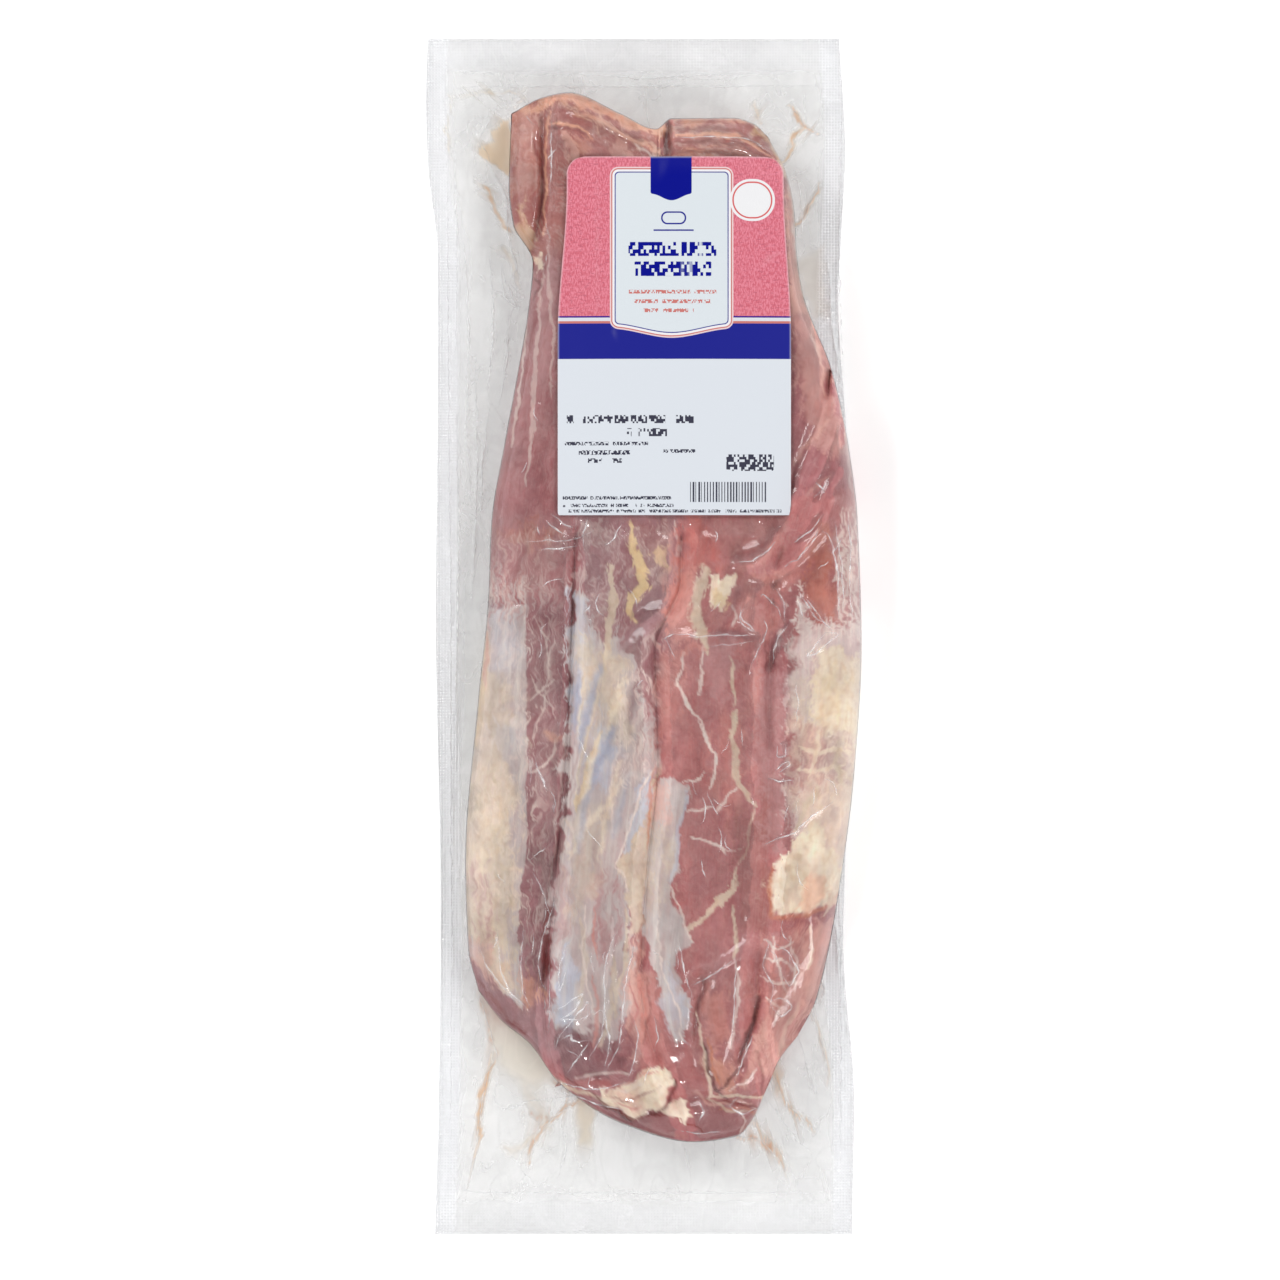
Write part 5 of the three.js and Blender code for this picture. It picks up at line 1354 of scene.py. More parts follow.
class Wiring:
    """Adds nodes to a node tree and joins them."""

    def __init__(self, tree: bpy.types.NodeTree) -> None:
        """Keeps the tree that the nodes go in."""
        self.tree = tree

    def add(self, kind: str, inputs: dict | None = None, **settings: object) -> bpy.types.Node:
        """Adds one node.

        Args:
            kind: The node's type.
            inputs: Value or source of each input, by name or number.
            settings: The node's own options.

        Returns:
            The new node.
        """
        node = self.tree.nodes.new(kind)
        for name, value in settings.items():
            setattr(node, name, value)
        for name, value in (inputs or {}).items():
            self.feed(node.inputs[name], value)
        return node

    def feed(self, socket: bpy.types.NodeSocket, value: object) -> None:
        """Sets an input to a plain value, or joins a source to it.

        Args:
            socket: The input.
            value: The value, or the output that it comes from.
        """
        if isinstance(value, bpy.types.NodeSocket):
            self.tree.links.new(value, socket)
        else:
            socket.default_value = value

    def math(self, operation: str, *values: object, clamp: bool = False) -> bpy.types.NodeSocket:
        """Adds a sum on single values and returns its result."""
        node = self.add("ShaderNodeMath", dict(enumerate(values)), operation=operation, use_clamp=clamp)
        return node.outputs[0]

    def vector(self, operation: str, *values: object) -> bpy.types.NodeSocket:
        """Adds a sum on vectors and returns its result."""
        node = self.add("ShaderNodeVectorMath", dict(enumerate(values)), operation=operation)
        return node.outputs[0]

    def blend(self, share: Source, first: Source, second: Source,
              how: str = "MIX") -> bpy.types.NodeSocket:
        """Adds a mix of two colours.

        Args:
            share: How much of the second colour shows.
            first: The first colour.
            second: The second colour.
            how: The way in which the second covers the first.

        Returns:
            The mixed colour.
        """
        node = self.add("ShaderNodeMix", data_type="RGBA", blend_type=how, clamp_factor=True)
        for socket, value in zip((node.inputs[0], node.inputs[6], node.inputs[7]), (share, first, second)):
            self.feed(socket, value)
        return node.outputs[2]

    def remap(self, value: Source, low: float, high: float, start: float,
              end: float) -> bpy.types.NodeSocket:
        """Adds a change of range that is smooth at both ends.

        Args:
            value: What is changed.
            low: Value that gives start.
            high: Value that gives end.
            start: First end of the new range.
            end: Second end of the new range.

        Returns:
            The changed value.
        """
        inputs = {"Value": value, "From Min": low, "From Max": high, "To Min": start, "To Max": end}
        node = self.add("ShaderNodeMapRange", inputs, interpolation_type="SMOOTHSTEP")
        return node.outputs["Result"]

    def noise(self, place: Source, scale: Source, detail: float = 2.0,
              turn: float = 0.0) -> bpy.types.NodeSocket:
        """Adds a noise texture and returns its value."""
        inputs = {"Vector": place, "Scale": scale, "Detail": detail, "Distortion": turn}
        return self.add("ShaderNodeTexNoise", inputs).outputs[0]

    def attribute(self, name: str) -> bpy.types.Node:
        """Adds a reader of one of the mesh's own attributes."""
        return self.add("ShaderNodeAttribute", attribute_name=name)


class Effect:
    """A node group with named inputs and outputs that more than one material uses."""

    name = "effect"
    inputs: tuple[tuple[str, str, object], ...] = ()
    outputs: tuple[tuple[str, str], ...] = ()

    def group(self) -> bpy.types.NodeTree:
        """Builds the group once.

        Returns:
            The node group.
        """
        found = bpy.data.node_groups.get(self.name)
        if found:
            return found
        tree = bpy.data.node_groups.new(self.name, "ShaderNodeTree")
        for name, kind, value in self.inputs:
            socket = tree.interface.new_socket(name, in_out="INPUT", socket_type=kind)
            if value is not None:
                socket.default_value = value
        for name, kind in self.outputs:
            tree.interface.new_socket(name, in_out="OUTPUT", socket_type=kind)
        wiring = Wiring(tree)
        results = self.wire(wiring, wiring.add("NodeGroupInput").outputs)
        wiring.add("NodeGroupOutput", results)
        return tree

    def wire(self, wiring: Wiring, given: bpy.types.NodeOutputs) -> dict[str, object]:
        """Builds the inside of the group.

        Args:
            wiring: The group's nodes.
            given: The group's inputs.

        Returns:
            The source of each output.
        """
        raise NotImplementedError

    def place(self, wiring: Wiring, inputs: dict[str, object]) -> bpy.types.NodeOutputs:
        """Places the group in a material.

        Args:
            wiring: The material's nodes.
            inputs: Value or source of each input of the group.

        Returns:
            The group's outputs.
        """
        node = wiring.add("ShaderNodeGroup", node_tree=self.group())
        for name, value in inputs.items():
            wiring.feed(node.inputs[name], value)
        return node.outputs


class Wrinkles(Effect):
    """Fine wrinkles of tight film: long soft folds with sharp small ones between them."""

    name = "film_wrinkles"
    inputs = (("Place", "NodeSocketVector", None), ("Cell", "NodeSocketFloat", 4.0))
    outputs = (("Height", "NodeSocketFloat"), ("Crest", "NodeSocketFloat"))

    def wire(self, wiring: Wiring, given: bpy.types.NodeOutputs) -> dict[str, object]:
        """Adds soft swells and the thin crests where they meet.

        Args:
            wiring: The group's nodes.
            given: The group's inputs.

        Returns:
            The source of each output.
        """
        scale = wiring.math("DIVIDE", 1.0, given["Cell"])
        place = wiring.vector("MULTIPLY", given["Place"], (1.0, 0.45, 1.0))
        swell = wiring.noise(place, scale, 2.0, 0.6)
        fold = wiring.noise(place, wiring.math("MULTIPLY", scale, 1.7), 1.0, 1.2)
        away = wiring.math("ABSOLUTE", wiring.math("SUBTRACT", fold, 0.5))
        crest = wiring.remap(away, 0.0, 0.06, 1.0, 0.0)
        height = wiring.math("MULTIPLY_ADD", crest, 0.07, wiring.math("MULTIPLY", swell, 0.9))
        return {"Height": height, "Crest": crest}


class Fibres(Effect):
    """Fine parallel threads, for muscle and for the fibre of paper."""

    name = "fibres"
    inputs = (
        ("Place", "NodeSocketVector", None),
        ("Thread", "NodeSocketFloat", 0.6),
        ("Length", "NodeSocketFloat", 9.0),
    )
    outputs = (("Threads", "NodeSocketFloat"), ("Bundles", "NodeSocketFloat"), ("Specks", "NodeSocketFloat"))

    def wire(self, wiring: Wiring, given: bpy.types.NodeOutputs) -> dict[str, object]:
        """Stretches noise along the threads at two sizes, and adds specks.

        Args:
            wiring: The group's nodes.
            given: The group's inputs.

        Returns:
            The source of each output.
        """
        across = wiring.math("DIVIDE", 1.0, given["Thread"])
        along = wiring.math("DIVIDE", 1.0, given["Length"])
        stretch = wiring.add("ShaderNodeCombineXYZ", {0: across, 1: along, 2: across}).outputs[0]
        place = wiring.vector("MULTIPLY", given["Place"], stretch)
        threads = wiring.noise(place, 1.0, 2.0, 0.3)
        bundles = wiring.noise(wiring.vector("MULTIPLY", place, (0.28, 0.4, 0.28)), 1.0, 2.0, 0.4)
        specks = wiring.noise(given["Place"], 1.9, 3.0, 0.2)
        return {"Threads": threads, "Bundles": bundles, "Specks": specks}


def new_material(name: str) -> tuple[bpy.types.Material, Wiring, bpy.types.Node]:
    """Makes an empty material.

    Args:
        name: The material's name.

    Returns:
        The material, its nodes and its output node.
    """
    material = bpy.data.materials.new(name)
    material.use_nodes = True
    material.node_tree.nodes.clear()
    wiring = Wiring(material.node_tree)
    return material, wiring, wiring.add("ShaderNodeOutputMaterial")


def millimetres(wiring: Wiring) -> bpy.types.NodeSocket:
    """Returns the surface's own place in millimetres."""
    place = wiring.add("ShaderNodeTexCoord").outputs["Object"]
    return wiring.vector("MULTIPLY", place, (1 / MM, 1 / MM, 1 / MM))


@dataclass(frozen=True)
class RawMeat:
    """Raw pork: threads of muscle, streaky silverskin, lumpy cream fat with painted shade in its hollows."""

    name: str = "raw_pork"
    roughness: float = 0.5
    bump: float = 0.18
    depth: float = 0.3
    subsurface: float = 0.06

    def build(self) -> bpy.types.Material:
        """Builds the material.

        Returns:
            The material.
        """
        material, wiring, output = new_material(self.name)
        flesh = wiring.attribute("flesh").outputs["Color"]
        grain = wiring.attribute("grain").outputs["Vector"]
        fat = wiring.attribute("fat").outputs["Fac"]
        silver = wiring.attribute("silver").outputs["Fac"]
        place = millimetres(wiring)
        fibres = Fibres().place(wiring, {"Place": grain, "Thread": 0.6, "Length": 9.0})
        skin = Fibres().place(wiring, {"Place": grain, "Thread": 0.8, "Length": 14.0})

        lean = wiring.math("SUBTRACT", 1.0, wiring.math("MAXIMUM", fat, silver))
        light = wiring.remap(fibres["Threads"], 0.35, 0.7, 0.0, 1.0)
        colour = wiring.blend(wiring.math("MULTIPLY", light, 0.07), flesh, (0.72, 0.5, 0.48, 1))
        blotch = wiring.noise(place, 0.3, 4.0, 1.0)
        colour = wiring.blend(wiring.remap(blotch, 0.5, 0.7, 0.0, 0.14), colour, (0.7, 0.46, 0.43, 1))
        shade = wiring.math("MULTIPLY", wiring.remap(blotch, 0.32, 0.48, 0.2, 0.0), lean)
        colour = wiring.blend(shade, colour, (0.6, 0.34, 0.34, 1), "MULTIPLY")

        streak = wiring.remap(skin["Threads"], 0.42, 0.6, 0.0, 1.0)
        under = wiring.math("MULTIPLY", wiring.math("MULTIPLY", streak, silver), 0.22)
        colour = wiring.blend(under, colour, (0.5, 0.4, 0.42, 1))
        bright = wiring.remap(skin["Bundles"], 0.5, 0.68, 0.0, 0.4)
        colour = wiring.blend(wiring.math("MULTIPLY", bright, silver), colour, (0.82, 0.76, 0.7, 1))

        lobules = wiring.add("ShaderNodeTexVoronoi", {"Vector": place, "Scale": 0.42}, feature="SMOOTH_F1")
        lump = lobules.outputs["Distance"]
        # Painted shade in the hollows between the fat's lobules, where the bump sinks.
        hollow_shade = wiring.math("MULTIPLY", wiring.remap(lump, 0.35, 0.75, 0.0, 0.3), fat)
        colour = wiring.blend(hollow_shade, colour, (0.72, 0.5, 0.32, 1), "MULTIPLY")

        threads = wiring.math("MULTIPLY", fibres["Threads"], wiring.math("MULTIPLY_ADD", lean, 0.8, 0.15))
        lumps = wiring.math("MULTIPLY", wiring.math("MULTIPLY", lump, fat), -0.7)
        height = wiring.math("ADD", wiring.math("ADD", threads, lumps), wiring.math("MULTIPLY", streak, 0.1))
        bump = wiring.add(
            "ShaderNodeBump", {"Strength": self.bump, "Distance": self.depth * MM, "Height": height}
        )
        rough = wiring.math("MULTIPLY_ADD", fibres["Specks"], 0.2, self.roughness - 0.1)
        surface = wiring.add(
            "ShaderNodeBsdfPrincipled",
            {
                "Base Color": colour,
                "Roughness": rough,
                "Normal": bump.outputs[0],
                "Subsurface Weight": self.subsurface,
                "Subsurface Radius": (1.0, 0.4, 0.3),
                "Subsurface Scale": 0.8 * MM,
                "Specular IOR Level": 0.35,
            },
        )
        wiring.feed(output.inputs["Surface"], surface.outputs[0])
        return material


@dataclass(frozen=True)
class ClearFilm:
    """Clear barrier film: see-through, faintly milky, glossy, whiter along seals, and lighter along folds by
    crease whitening with a painted highlight.
    """

    name: str
    milk: float
    milk_colour: tuple[float, float, float] = (0.83, 0.84, 0.86)
    seal_colour: tuple[float, float, float] = (0.8, 0.805, 0.83)
    cell: float = 5.0
    depth: float = 0.16
    gloss_roughness: float = 0.09
    fold_whitening_and_highlight: float = 0.65
    cloud: float = 0.5
    knurl: float = 0.0

    def build(self) -> bpy.types.Material:
        """Builds the material.

        Returns:
            The material.
        """
        material, wiring, output = new_material(self.name)
        place = millimetres(wiring)
        wrinkles = Wrinkles().place(wiring, {"Place": place, "Cell": self.cell})
        gleam = wiring.attribute("gleam").outputs["Fac"]
        seal = wiring.attribute("seal").outputs["Fac"]
        tint = wiring.attribute("juice").outputs["Color"]
        stained = wiring.attribute("stained").outputs["Fac"]

        cloud = wiring.remap(wiring.noise(place, 0.06, 3.0, 0.5), 0.3, 0.7, 1 - self.cloud, 1 + self.cloud)
        milk = wiring.math("MULTIPLY", cloud, self.milk)
        milk = wiring.math("MULTIPLY_ADD", wrinkles["Crest"], 0.1 * self.milk, milk)
        milk = wiring.math("MULTIPLY_ADD", stained, 0.45, milk)
        milk = wiring.math("MULTIPLY_ADD", seal, 0.22, milk)
        # Folds add milk: crease whitening with a painted highlight.
        milk = wiring.math("MULTIPLY_ADD", gleam, self.fold_whitening_and_highlight, milk, clamp=True)

        height = wiring.math("MULTIPLY", wrinkles["Height"], self.depth)
        if self.knurl > 0:
            turned = wiring.add("ShaderNodeVectorRotate", {"Vector": place, "Angle": math.pi / 4})
            pitch = 2 * math.pi / 1.7
            waves = wiring.vector("SINE", wiring.vector("MULTIPLY", turned.outputs[0], (pitch, pitch, 0)))
            parts = wiring.add("ShaderNodeSeparateXYZ", {0: waves}).outputs
            dots = wiring.math("MULTIPLY", parts["X"], parts["Y"])
            height = wiring.math("MULTIPLY_ADD", wiring.math("MULTIPLY", dots, seal), self.knurl, height)
        bump = wiring.add("ShaderNodeBump", {"Strength": 1.0, "Distance": MM, "Height": height})

        colour = wiring.blend(seal, (*self.milk_colour, 1), (*self.seal_colour, 1))
        colour = wiring.blend(stained, colour, tint)
        # Folds paint the colour towards white: crease whitening with a painted highlight.
        colour = wiring.blend(gleam, colour, (0.95, 0.95, 0.95, 1))
        cloudy = wiring.add(
            "ShaderNodeBsdfPrincipled",
            {"Base Color": colour, "Roughness": 0.32, "Normal": bump.outputs[0]},
        )
        passed = wiring.blend(wiring.math("MULTIPLY", stained, 0.3), (0.985, 0.985, 0.985, 1), tint)
        clear = wiring.add("ShaderNodeBsdfTransparent", {"Color": passed})
        body = wiring.add("ShaderNodeMixShader", {0: milk, 1: clear.outputs[0], 2: cloudy.outputs[0]})
        gloss = wiring.add(
            "ShaderNodeBsdfGlossy", {"Roughness": self.gloss_roughness, "Normal": bump.outputs[0]}
        )
        fresnel = wiring.add("ShaderNodeFresnel", {"IOR": 1.5, "Normal": bump.outputs[0]})
        film = wiring.add(
            "ShaderNodeMixShader", {0: fresnel.outputs[0], 1: body.outputs[0], 2: gloss.outputs[0]}
        )
        shadow = wiring.add("ShaderNodeLightPath").outputs["Is Shadow Ray"]
        lit_through = wiring.math("MULTIPLY", shadow, 0.95)
        bare = wiring.add("ShaderNodeBsdfTransparent")
        film = wiring.add("ShaderNodeMixShader", {0: lit_through, 1: film.outputs[0], 2: bare.outputs[0]})
        wiring.feed(output.inputs["Surface"], film.outputs[0])
        return material


@dataclass(frozen=True)
class Field:
    """One printed rectangle with round corners, sides in millimetres."""

    left: float
    right: float
    low: float
    high: float
    tone: Colour
    radius: float = 0.1


@dataclass(frozen=True)
class LabelPaper:
    """Coated label paper with plain printed fields, rules and bars in place of any wording."""

    name: str = "label_paper"
    pink: Colour = (212, 106, 122)
    navy: Colour = (2, 12, 140)
    white: Colour = (222, 227, 234)
    panel: Colour = (222, 229, 234)
    ink: Colour = (62, 62, 78)
    red_ink: Colour = (205, 122, 116)
    band_top: float = 124.8
    band_bottom: float = 110.6
    edge: float = 0.12
    frame_pink: Colour = (238, 214, 216)
    frame_white: Colour = (242, 240, 243)
    disc_white: Colour = (240, 240, 242)
    disc_ring: Colour = (216, 96, 96)
    red_rows: tuple[tuple[float, ...], ...] = ((136.6, -6, 29), (132.8, -4, 27), (129.2, 0, 20))
    ink_rows: tuple[tuple[float, ...], ...] = (
        (85.0, 3.2, -32.6, 20, 2.4), (79.8, 3.2, -6.6, 9.4, 2.4), (76.2, 1.4, -31.4, 1.8, 1.3),
        (72.4, 1.8, -25.8, -5.4, 1.6), (73.2, 1.4, 7.8, 20.6, 1.4), (69.2, 1.8, -22.2, -8.6, 1.6),
        (54.6, 1.3, -32.2, 11, 1.2), (51.6, 1.3, -32.2, 12, 1.2), (49.4, 1.2, -30, 55, 1.1),
    )

    def tone(self, colour: Colour) -> tuple[float, float, float, float]:
        """Returns a printed colour as a shader value."""
        return (*linear(colour), 1.0)

    def printed(self, wiring: Wiring, under: Source, field: Field, place: Source,
                cover: Source = 1.0) -> bpy.types.NodeSocket:
        """Wires the print of one rectangle over what is already there.

        Args:
            wiring: The material's nodes.
            under: The colour that it is printed on.
            field: The rectangle.
            place: Source of the place on the label.
            cover: Where in the rectangle the ink is.

        Returns:
            The colour with the rectangle on it.
        """
        radius = field.radius
        centre = ((field.left + field.right) / 2, (field.low + field.high) / 2, 0)
        core = ((field.right - field.left) / 2 - radius, (field.high - field.low) / 2 - radius, 0)
        away = wiring.vector("ABSOLUTE", wiring.vector("SUBTRACT", place, centre))
        outside = wiring.vector("MAXIMUM", wiring.vector("SUBTRACT", away, core), (0, 0, 0))
        length = wiring.add("ShaderNodeVectorMath", {0: outside}, operation="LENGTH").outputs["Value"]
        mask = wiring.remap(length, radius - self.edge, radius + self.edge, 1.0, 0.0)
        return wiring.blend(wiring.math("MULTIPLY", mask, cover), under, self.tone(field.tone))

    def band_fields(self) -> tuple[Field, ...]:
        """Lists the rectangles of the dark band.

        Returns:
            The band and its fine lines.
        """
        top = self.band_top
        return (
            Field(-60, 80, self.band_bottom, top, self.navy),
            Field(-60, 80, top, top + 0.9, self.red_ink),
            Field(-60, 80, top + 0.9, top + 2.3, self.white),
            Field(-60, 80, top + 2.3, top + 2.9, self.navy),
        )

    def panel_fields(self) -> tuple[Field, ...]:
        """Lists the rectangles of the panel, from its outer frame inwards.

        Returns:
            The frames and the panel itself.
        """
        return (
            Field(-13.4, 35.8, 122.6, 187.2, self.frame_pink, 3.4),
            Field(-12.9, 35.3, 123.1, 186.7, self.red_ink, 2.9),
            Field(-12.4, 34.8, 123.6, 186.2, self.frame_white, 2.4),
            Field(-11.5, 33.9, 124.5, 185.3, self.navy, 1.7),
            Field(-11.1, 33.5, 124.9, 184.9, self.panel, 1.4),
        )

    def sign_fields(self) -> tuple[Field, ...]:
        """Lists what is printed over the panel and its frames.

        Returns:
            The white disc with its ring, the rule, the oval and what lies in the oval.
        """
        return (
            Field(34.4, 52.4, 165.6, 182.4, self.disc_white, 8.3),
            Field(35.4, 51.4, 166.6, 181.4, self.disc_ring, 7.3),
            Field(36.0, 50.8, 167.2, 180.8, self.disc_white, 6.7),
            Field(4, 20, 161.6, 162.2, self.navy),
            Field(7, 17, 164.2, 169.4, self.navy, 2.5),
            Field(7.6, 16.4, 164.8, 168.8, self.panel, 2.0),
        )

    def stroke_rows(self) -> list[tuple[Field, float, float]]:
        """Lists the rows of small strokes that stand in for wording.

        Returns:
            The place and tone of each row, the size of its strokes and its seed.
        """
        rows = [
            (Field(-6, 29, 151.6, 157.2, self.navy, 0.5), 3.6, 0.0),
            (Field(-3.6, 27, 143.6, 149.4, self.navy, 0.5), 3.6, 7.0),
        ]
        for row, (low, left, right) in enumerate(self.red_rows):
            rows.append((Field(left, right, low, low + 1.5, self.red_ink, 0.2), 1.5, 20 + row * 5.0))
        for row, (low, height, left, right, pitch) in enumerate(self.ink_rows):
            rows.append((Field(left, right, low, low + height, self.ink, 0.2), pitch, 50 + row * 4.0))
        rows.append((Field(33, 52, 66.0, 72.6, self.ink, 1.0), 2.4, 91.0))
        return rows

    def dipped(self, wiring: Wiring, parts: bpy.types.NodeOutputs, middle: float, half: float, level: float,
               dip: float) -> bpy.types.NodeSocket:
        """Wires a place that gives a field printed with it a low point in the middle of its foot.

        Args:
            wiring: The material's nodes.
            parts: The place's own coordinates.
            middle: X of the field's middle.
            half: Half of the field's width.
            level: Y below which the field sags.
            dip: Depth of the low point.

        Returns:
            The changed place.
        """
        away = wiring.math("ABSOLUTE", wiring.math("SUBTRACT", parts["X"], middle))
        share = wiring.remap(away, 0.0, half, 1.0, 0.0)
        sag = wiring.math("MULTIPLY", share, wiring.remap(parts["Y"], level - 10, level, dip, 0.0))
        low = wiring.math("ADD", parts["Y"], sag)
        return wiring.add("ShaderNodeCombineXYZ", {0: parts["X"], 1: low, 2: 0.0}).outputs[0]

    def words(self, wiring: Wiring, parts: bpy.types.NodeOutputs, pitch: float,
              seed: float) -> bpy.types.NodeSocket:
        """Wires a mask of small uneven strokes with gaps, as a printed row has from afar.

        Args:
            wiring: The material's nodes.
            parts: The place's own coordinates.
            pitch: Size of the strokes, in millimetres.
            seed: Start of the random draw.

        Returns:
            The mask, 1 on a stroke.
        """
        place = wiring.add("ShaderNodeCombineXYZ", {0: parts["X"], 1: seed, 2: 0.0}).outputs[0]
        gaps = wiring.remap(wiring.noise(place, 0.36 / pitch, 1.0), 0.38, 0.4, 0.0, 1.0)
        cell_x = wiring.math("FLOOR", wiring.math("DIVIDE", parts["X"], 0.3 * pitch))
        cell_y = wiring.math("FLOOR", wiring.math("DIVIDE", parts["Y"], 0.42 * pitch))
        cell = wiring.add("ShaderNodeCombineXYZ", {0: cell_x, 1: cell_y, 2: seed}).outputs[0]
        value = wiring.add("ShaderNodeTexWhiteNoise", {"Vector": cell}, noise_dimensions="3D")
        strokes = wiring.math("GREATER_THAN", value.outputs["Value"], 0.4)
        return wiring.math("MULTIPLY", gaps, strokes)

    def stripes(self, wiring: Wiring, across: object) -> bpy.types.NodeSocket:
        """Wires a mask of upright stripes of uneven width.

        Args:
            wiring: The material's nodes.
            across: Source of the place across.

        Returns:
            The mask, 1 on a stripe.
        """
        place = wiring.math("DIVIDE", across, 1.15)
        cell = wiring.math("FLOOR", place)
        value = wiring.add("ShaderNodeTexWhiteNoise", {"W": cell}, noise_dimensions="1D")
        width = wiring.math("MULTIPLY_ADD", value.outputs["Value"], 0.5, 0.22)
        return wiring.math("LESS_THAN", wiring.math("FRACT", place), width)

    def build(self) -> bpy.types.Material:
        """Builds the material.

        Returns:
            The material.
        """
        material, wiring, output = new_material(self.name)
        parts = wiring.add("ShaderNodeSeparateXYZ", {0: millimetres(wiring)}).outputs
        place = wiring.add("ShaderNodeCombineXYZ", {0: parts["X"], 1: parts["Y"], 2: 0.0}).outputs[0]
        fibres = Fibres().place(wiring, {"Place": place, "Thread": 0.5, "Length": 1.6})

        above = wiring.remap(parts["Y"], self.band_top - self.edge, self.band_top + self.edge, 0.0, 1.0)
        grainy = wiring.remap(fibres["Threads"], 0.36, 0.64, 0.0, 0.75)
        pink = wiring.blend(grainy, self.tone(self.pink), (0.86, 0.3, 0.38, 1))
        weft = wiring.noise(wiring.vector("MULTIPLY", place, (0.5, 1.6, 1.0)), 1.0, 2.0, 0.5)
        pink = wiring.blend(wiring.remap(weft, 0.54, 0.68, 0.0, 0.6), pink, (0.5, 0.11, 0.16, 1))
        colour = wiring.blend(above, self.tone(self.white), pink)

        panel_place = self.dipped(wiring, parts, 11.2, 24.0, 140.0, 3.6)
        tab_place = self.dipped(wiring, parts, 11.2, 8.2, 184.0, 2.6)
        for field in self.band_fields():
            colour = self.printed(wiring, colour, field, place)
        for field in self.panel_fields():
            colour = self.printed(wiring, colour, field, panel_place)
        tab = Field(2.8, 19.2, 176.4, 194, self.navy, 0.8)
        colour = self.printed(wiring, colour, tab, tab_place)
        for field in self.sign_fields():
            colour = self.printed(wiring, colour, field, place)
        for field, pitch, seed in self.stroke_rows():
            strokes = self.words(wiring, parts, pitch, seed)
            colour = self.printed(wiring, colour, field, place, strokes)
        bars = Field(18.6, 49.4, 53.6, 61.6, self.ink)
        colour = self.printed(wiring, colour, bars, place, self.stripes(wiring, parts["X"]))

        # Painted highlight along the label's creases, and the white of its cut edge.
        crease_gleam_and_cut_edge = wiring.attribute("gleam").outputs["Fac"]
        colour = wiring.blend(wiring.math("MULTIPLY", crease_gleam_and_cut_edge, 0.75), colour, (0.86, 0.84, 0.86, 1))
        height = wiring.math("MULTIPLY_ADD", fibres["Threads"], 0.5, fibres["Specks"])
        height = wiring.math("MULTIPLY", height, wiring.math("MULTIPLY_ADD", above, 0.85, 0.15))
        bump = wiring.add("ShaderNodeBump", {"Strength": 0.5, "Distance": 0.12 * MM, "Height": height})
        rough = wiring.math("MULTIPLY_ADD", fibres["Specks"], 0.15, 0.34)
        surface = wiring.add(
            "ShaderNodeBsdfPrincipled",
            {
                "Base Color": colour,
                "Roughness": rough,
                "Normal": bump.outputs[0],
                "Specular IOR Level": 0.16,
            },
        )
        wiring.feed(output.inputs["Surface"], surface.outputs[0])
        return material


class Surface:
    """Vertices, faces and point values of one mesh under construction."""

    sharp_angle = math.radians(62)

    def __init__(self) -> None:
        """Starts with nothing."""
        self.blocks: list[np.ndarray] = []
        self.count = 0
        self.corners: list[np.ndarray] = []
        self.sizes: list[np.ndarray] = []

    def points(self, x: np.ndarray, y: np.ndarray, z: np.ndarray) -> np.ndarray:
        """Adds points.

        Args:
            x: Places across.
            y: Places along.
            z: Heights.

        Returns:
            The new points' numbers, in the shape of x.
        """
        x, y, z = np.broadcast_arrays(x, y, z)
        self.blocks.append(np.column_stack((x.ravel(), y.ravel(), z.ravel())))
        numbers = np.arange(self.count, self.count + x.size).reshape(x.shape)
        self.count += x.size
        return numbers

    def quads(self, a: np.ndarray, b: np.ndarray, c: np.ndarray, d: np.ndarray) -> None:
        """Adds four-sided faces."""
        self.corners.append(np.stack((a.ravel(), b.ravel(), c.ravel(), d.ravel()), axis=1).ravel())
        self.sizes.append(np.full(a.size, 4))

    def sheet(self, numbers: np.ndarray, up: bool = True) -> None:
        """Adds the faces of a grid of points.

        Args:
            numbers: The points' numbers, rows running from the heads to the tails.
            up: Whether the faces look up.
        """
        first, below = numbers[:-1, :-1], numbers[1:, :-1]
        opposite, beside = numbers[1:, 1:], numbers[:-1, 1:]
        if up:
            self.quads(first, below, opposite, beside)
        else:
            self.quads(first, beside, opposite, below)

    def band(self, outer: np.ndarray, inner: np.ndarray, up: bool = True) -> None:
        """Adds the faces between two rings that run anticlockwise seen from above.

        Args:
            outer: The outer ring's point numbers.
            inner: The inner ring's point numbers.
            up: Whether the faces look up.
        """
        if up:
            self.quads(outer, np.roll(outer, -1), np.roll(inner, -1), inner)
        else:
            self.quads(outer, inner, np.roll(inner, -1), np.roll(outer, -1))

    def cap(self, ring: np.ndarray) -> None:
        """Closes a level ring with one face that looks down."""
        self.corners.append(ring[::-1].ravel())
        self.sizes.append(np.array([ring.size]))

    def build(self, name: str, material: bpy.types.Material) -> bpy.types.Object:
        """Makes the mesh.

        Args:
            name: The piece's name.
            material: Its finish.

        Returns:
            The piece.
        """
        places = np.concatenate(self.blocks) * MM
        corners, sizes = np.concatenate(self.corners), np.concatenate(self.sizes)
        mesh = bpy.data.meshes.new(name)
        mesh.vertices.add(len(places))
        mesh.vertices.foreach_set("co", places.astype(np.float32).ravel())
        mesh.loops.add(len(corners))
        mesh.loops.foreach_set("vertex_index", corners.astype(np.int32))
        mesh.polygons.add(len(sizes))
        starts = np.concatenate(([0], np.cumsum(sizes)[:-1]))
        mesh.polygons.foreach_set("loop_start", starts.astype(np.int32))
        mesh.polygons.foreach_set("loop_total", sizes.astype(np.int32))
        mesh.update(calc_edges=True)
        mesh.validate()
        mesh.shade_smooth()
        mesh.set_sharp_from_angle(angle=self.sharp_angle)
        mesh.materials.append(material)
        piece = bpy.data.objects.new(name, mesh)
        bpy.context.scene.collection.objects.link(piece)
        return piece


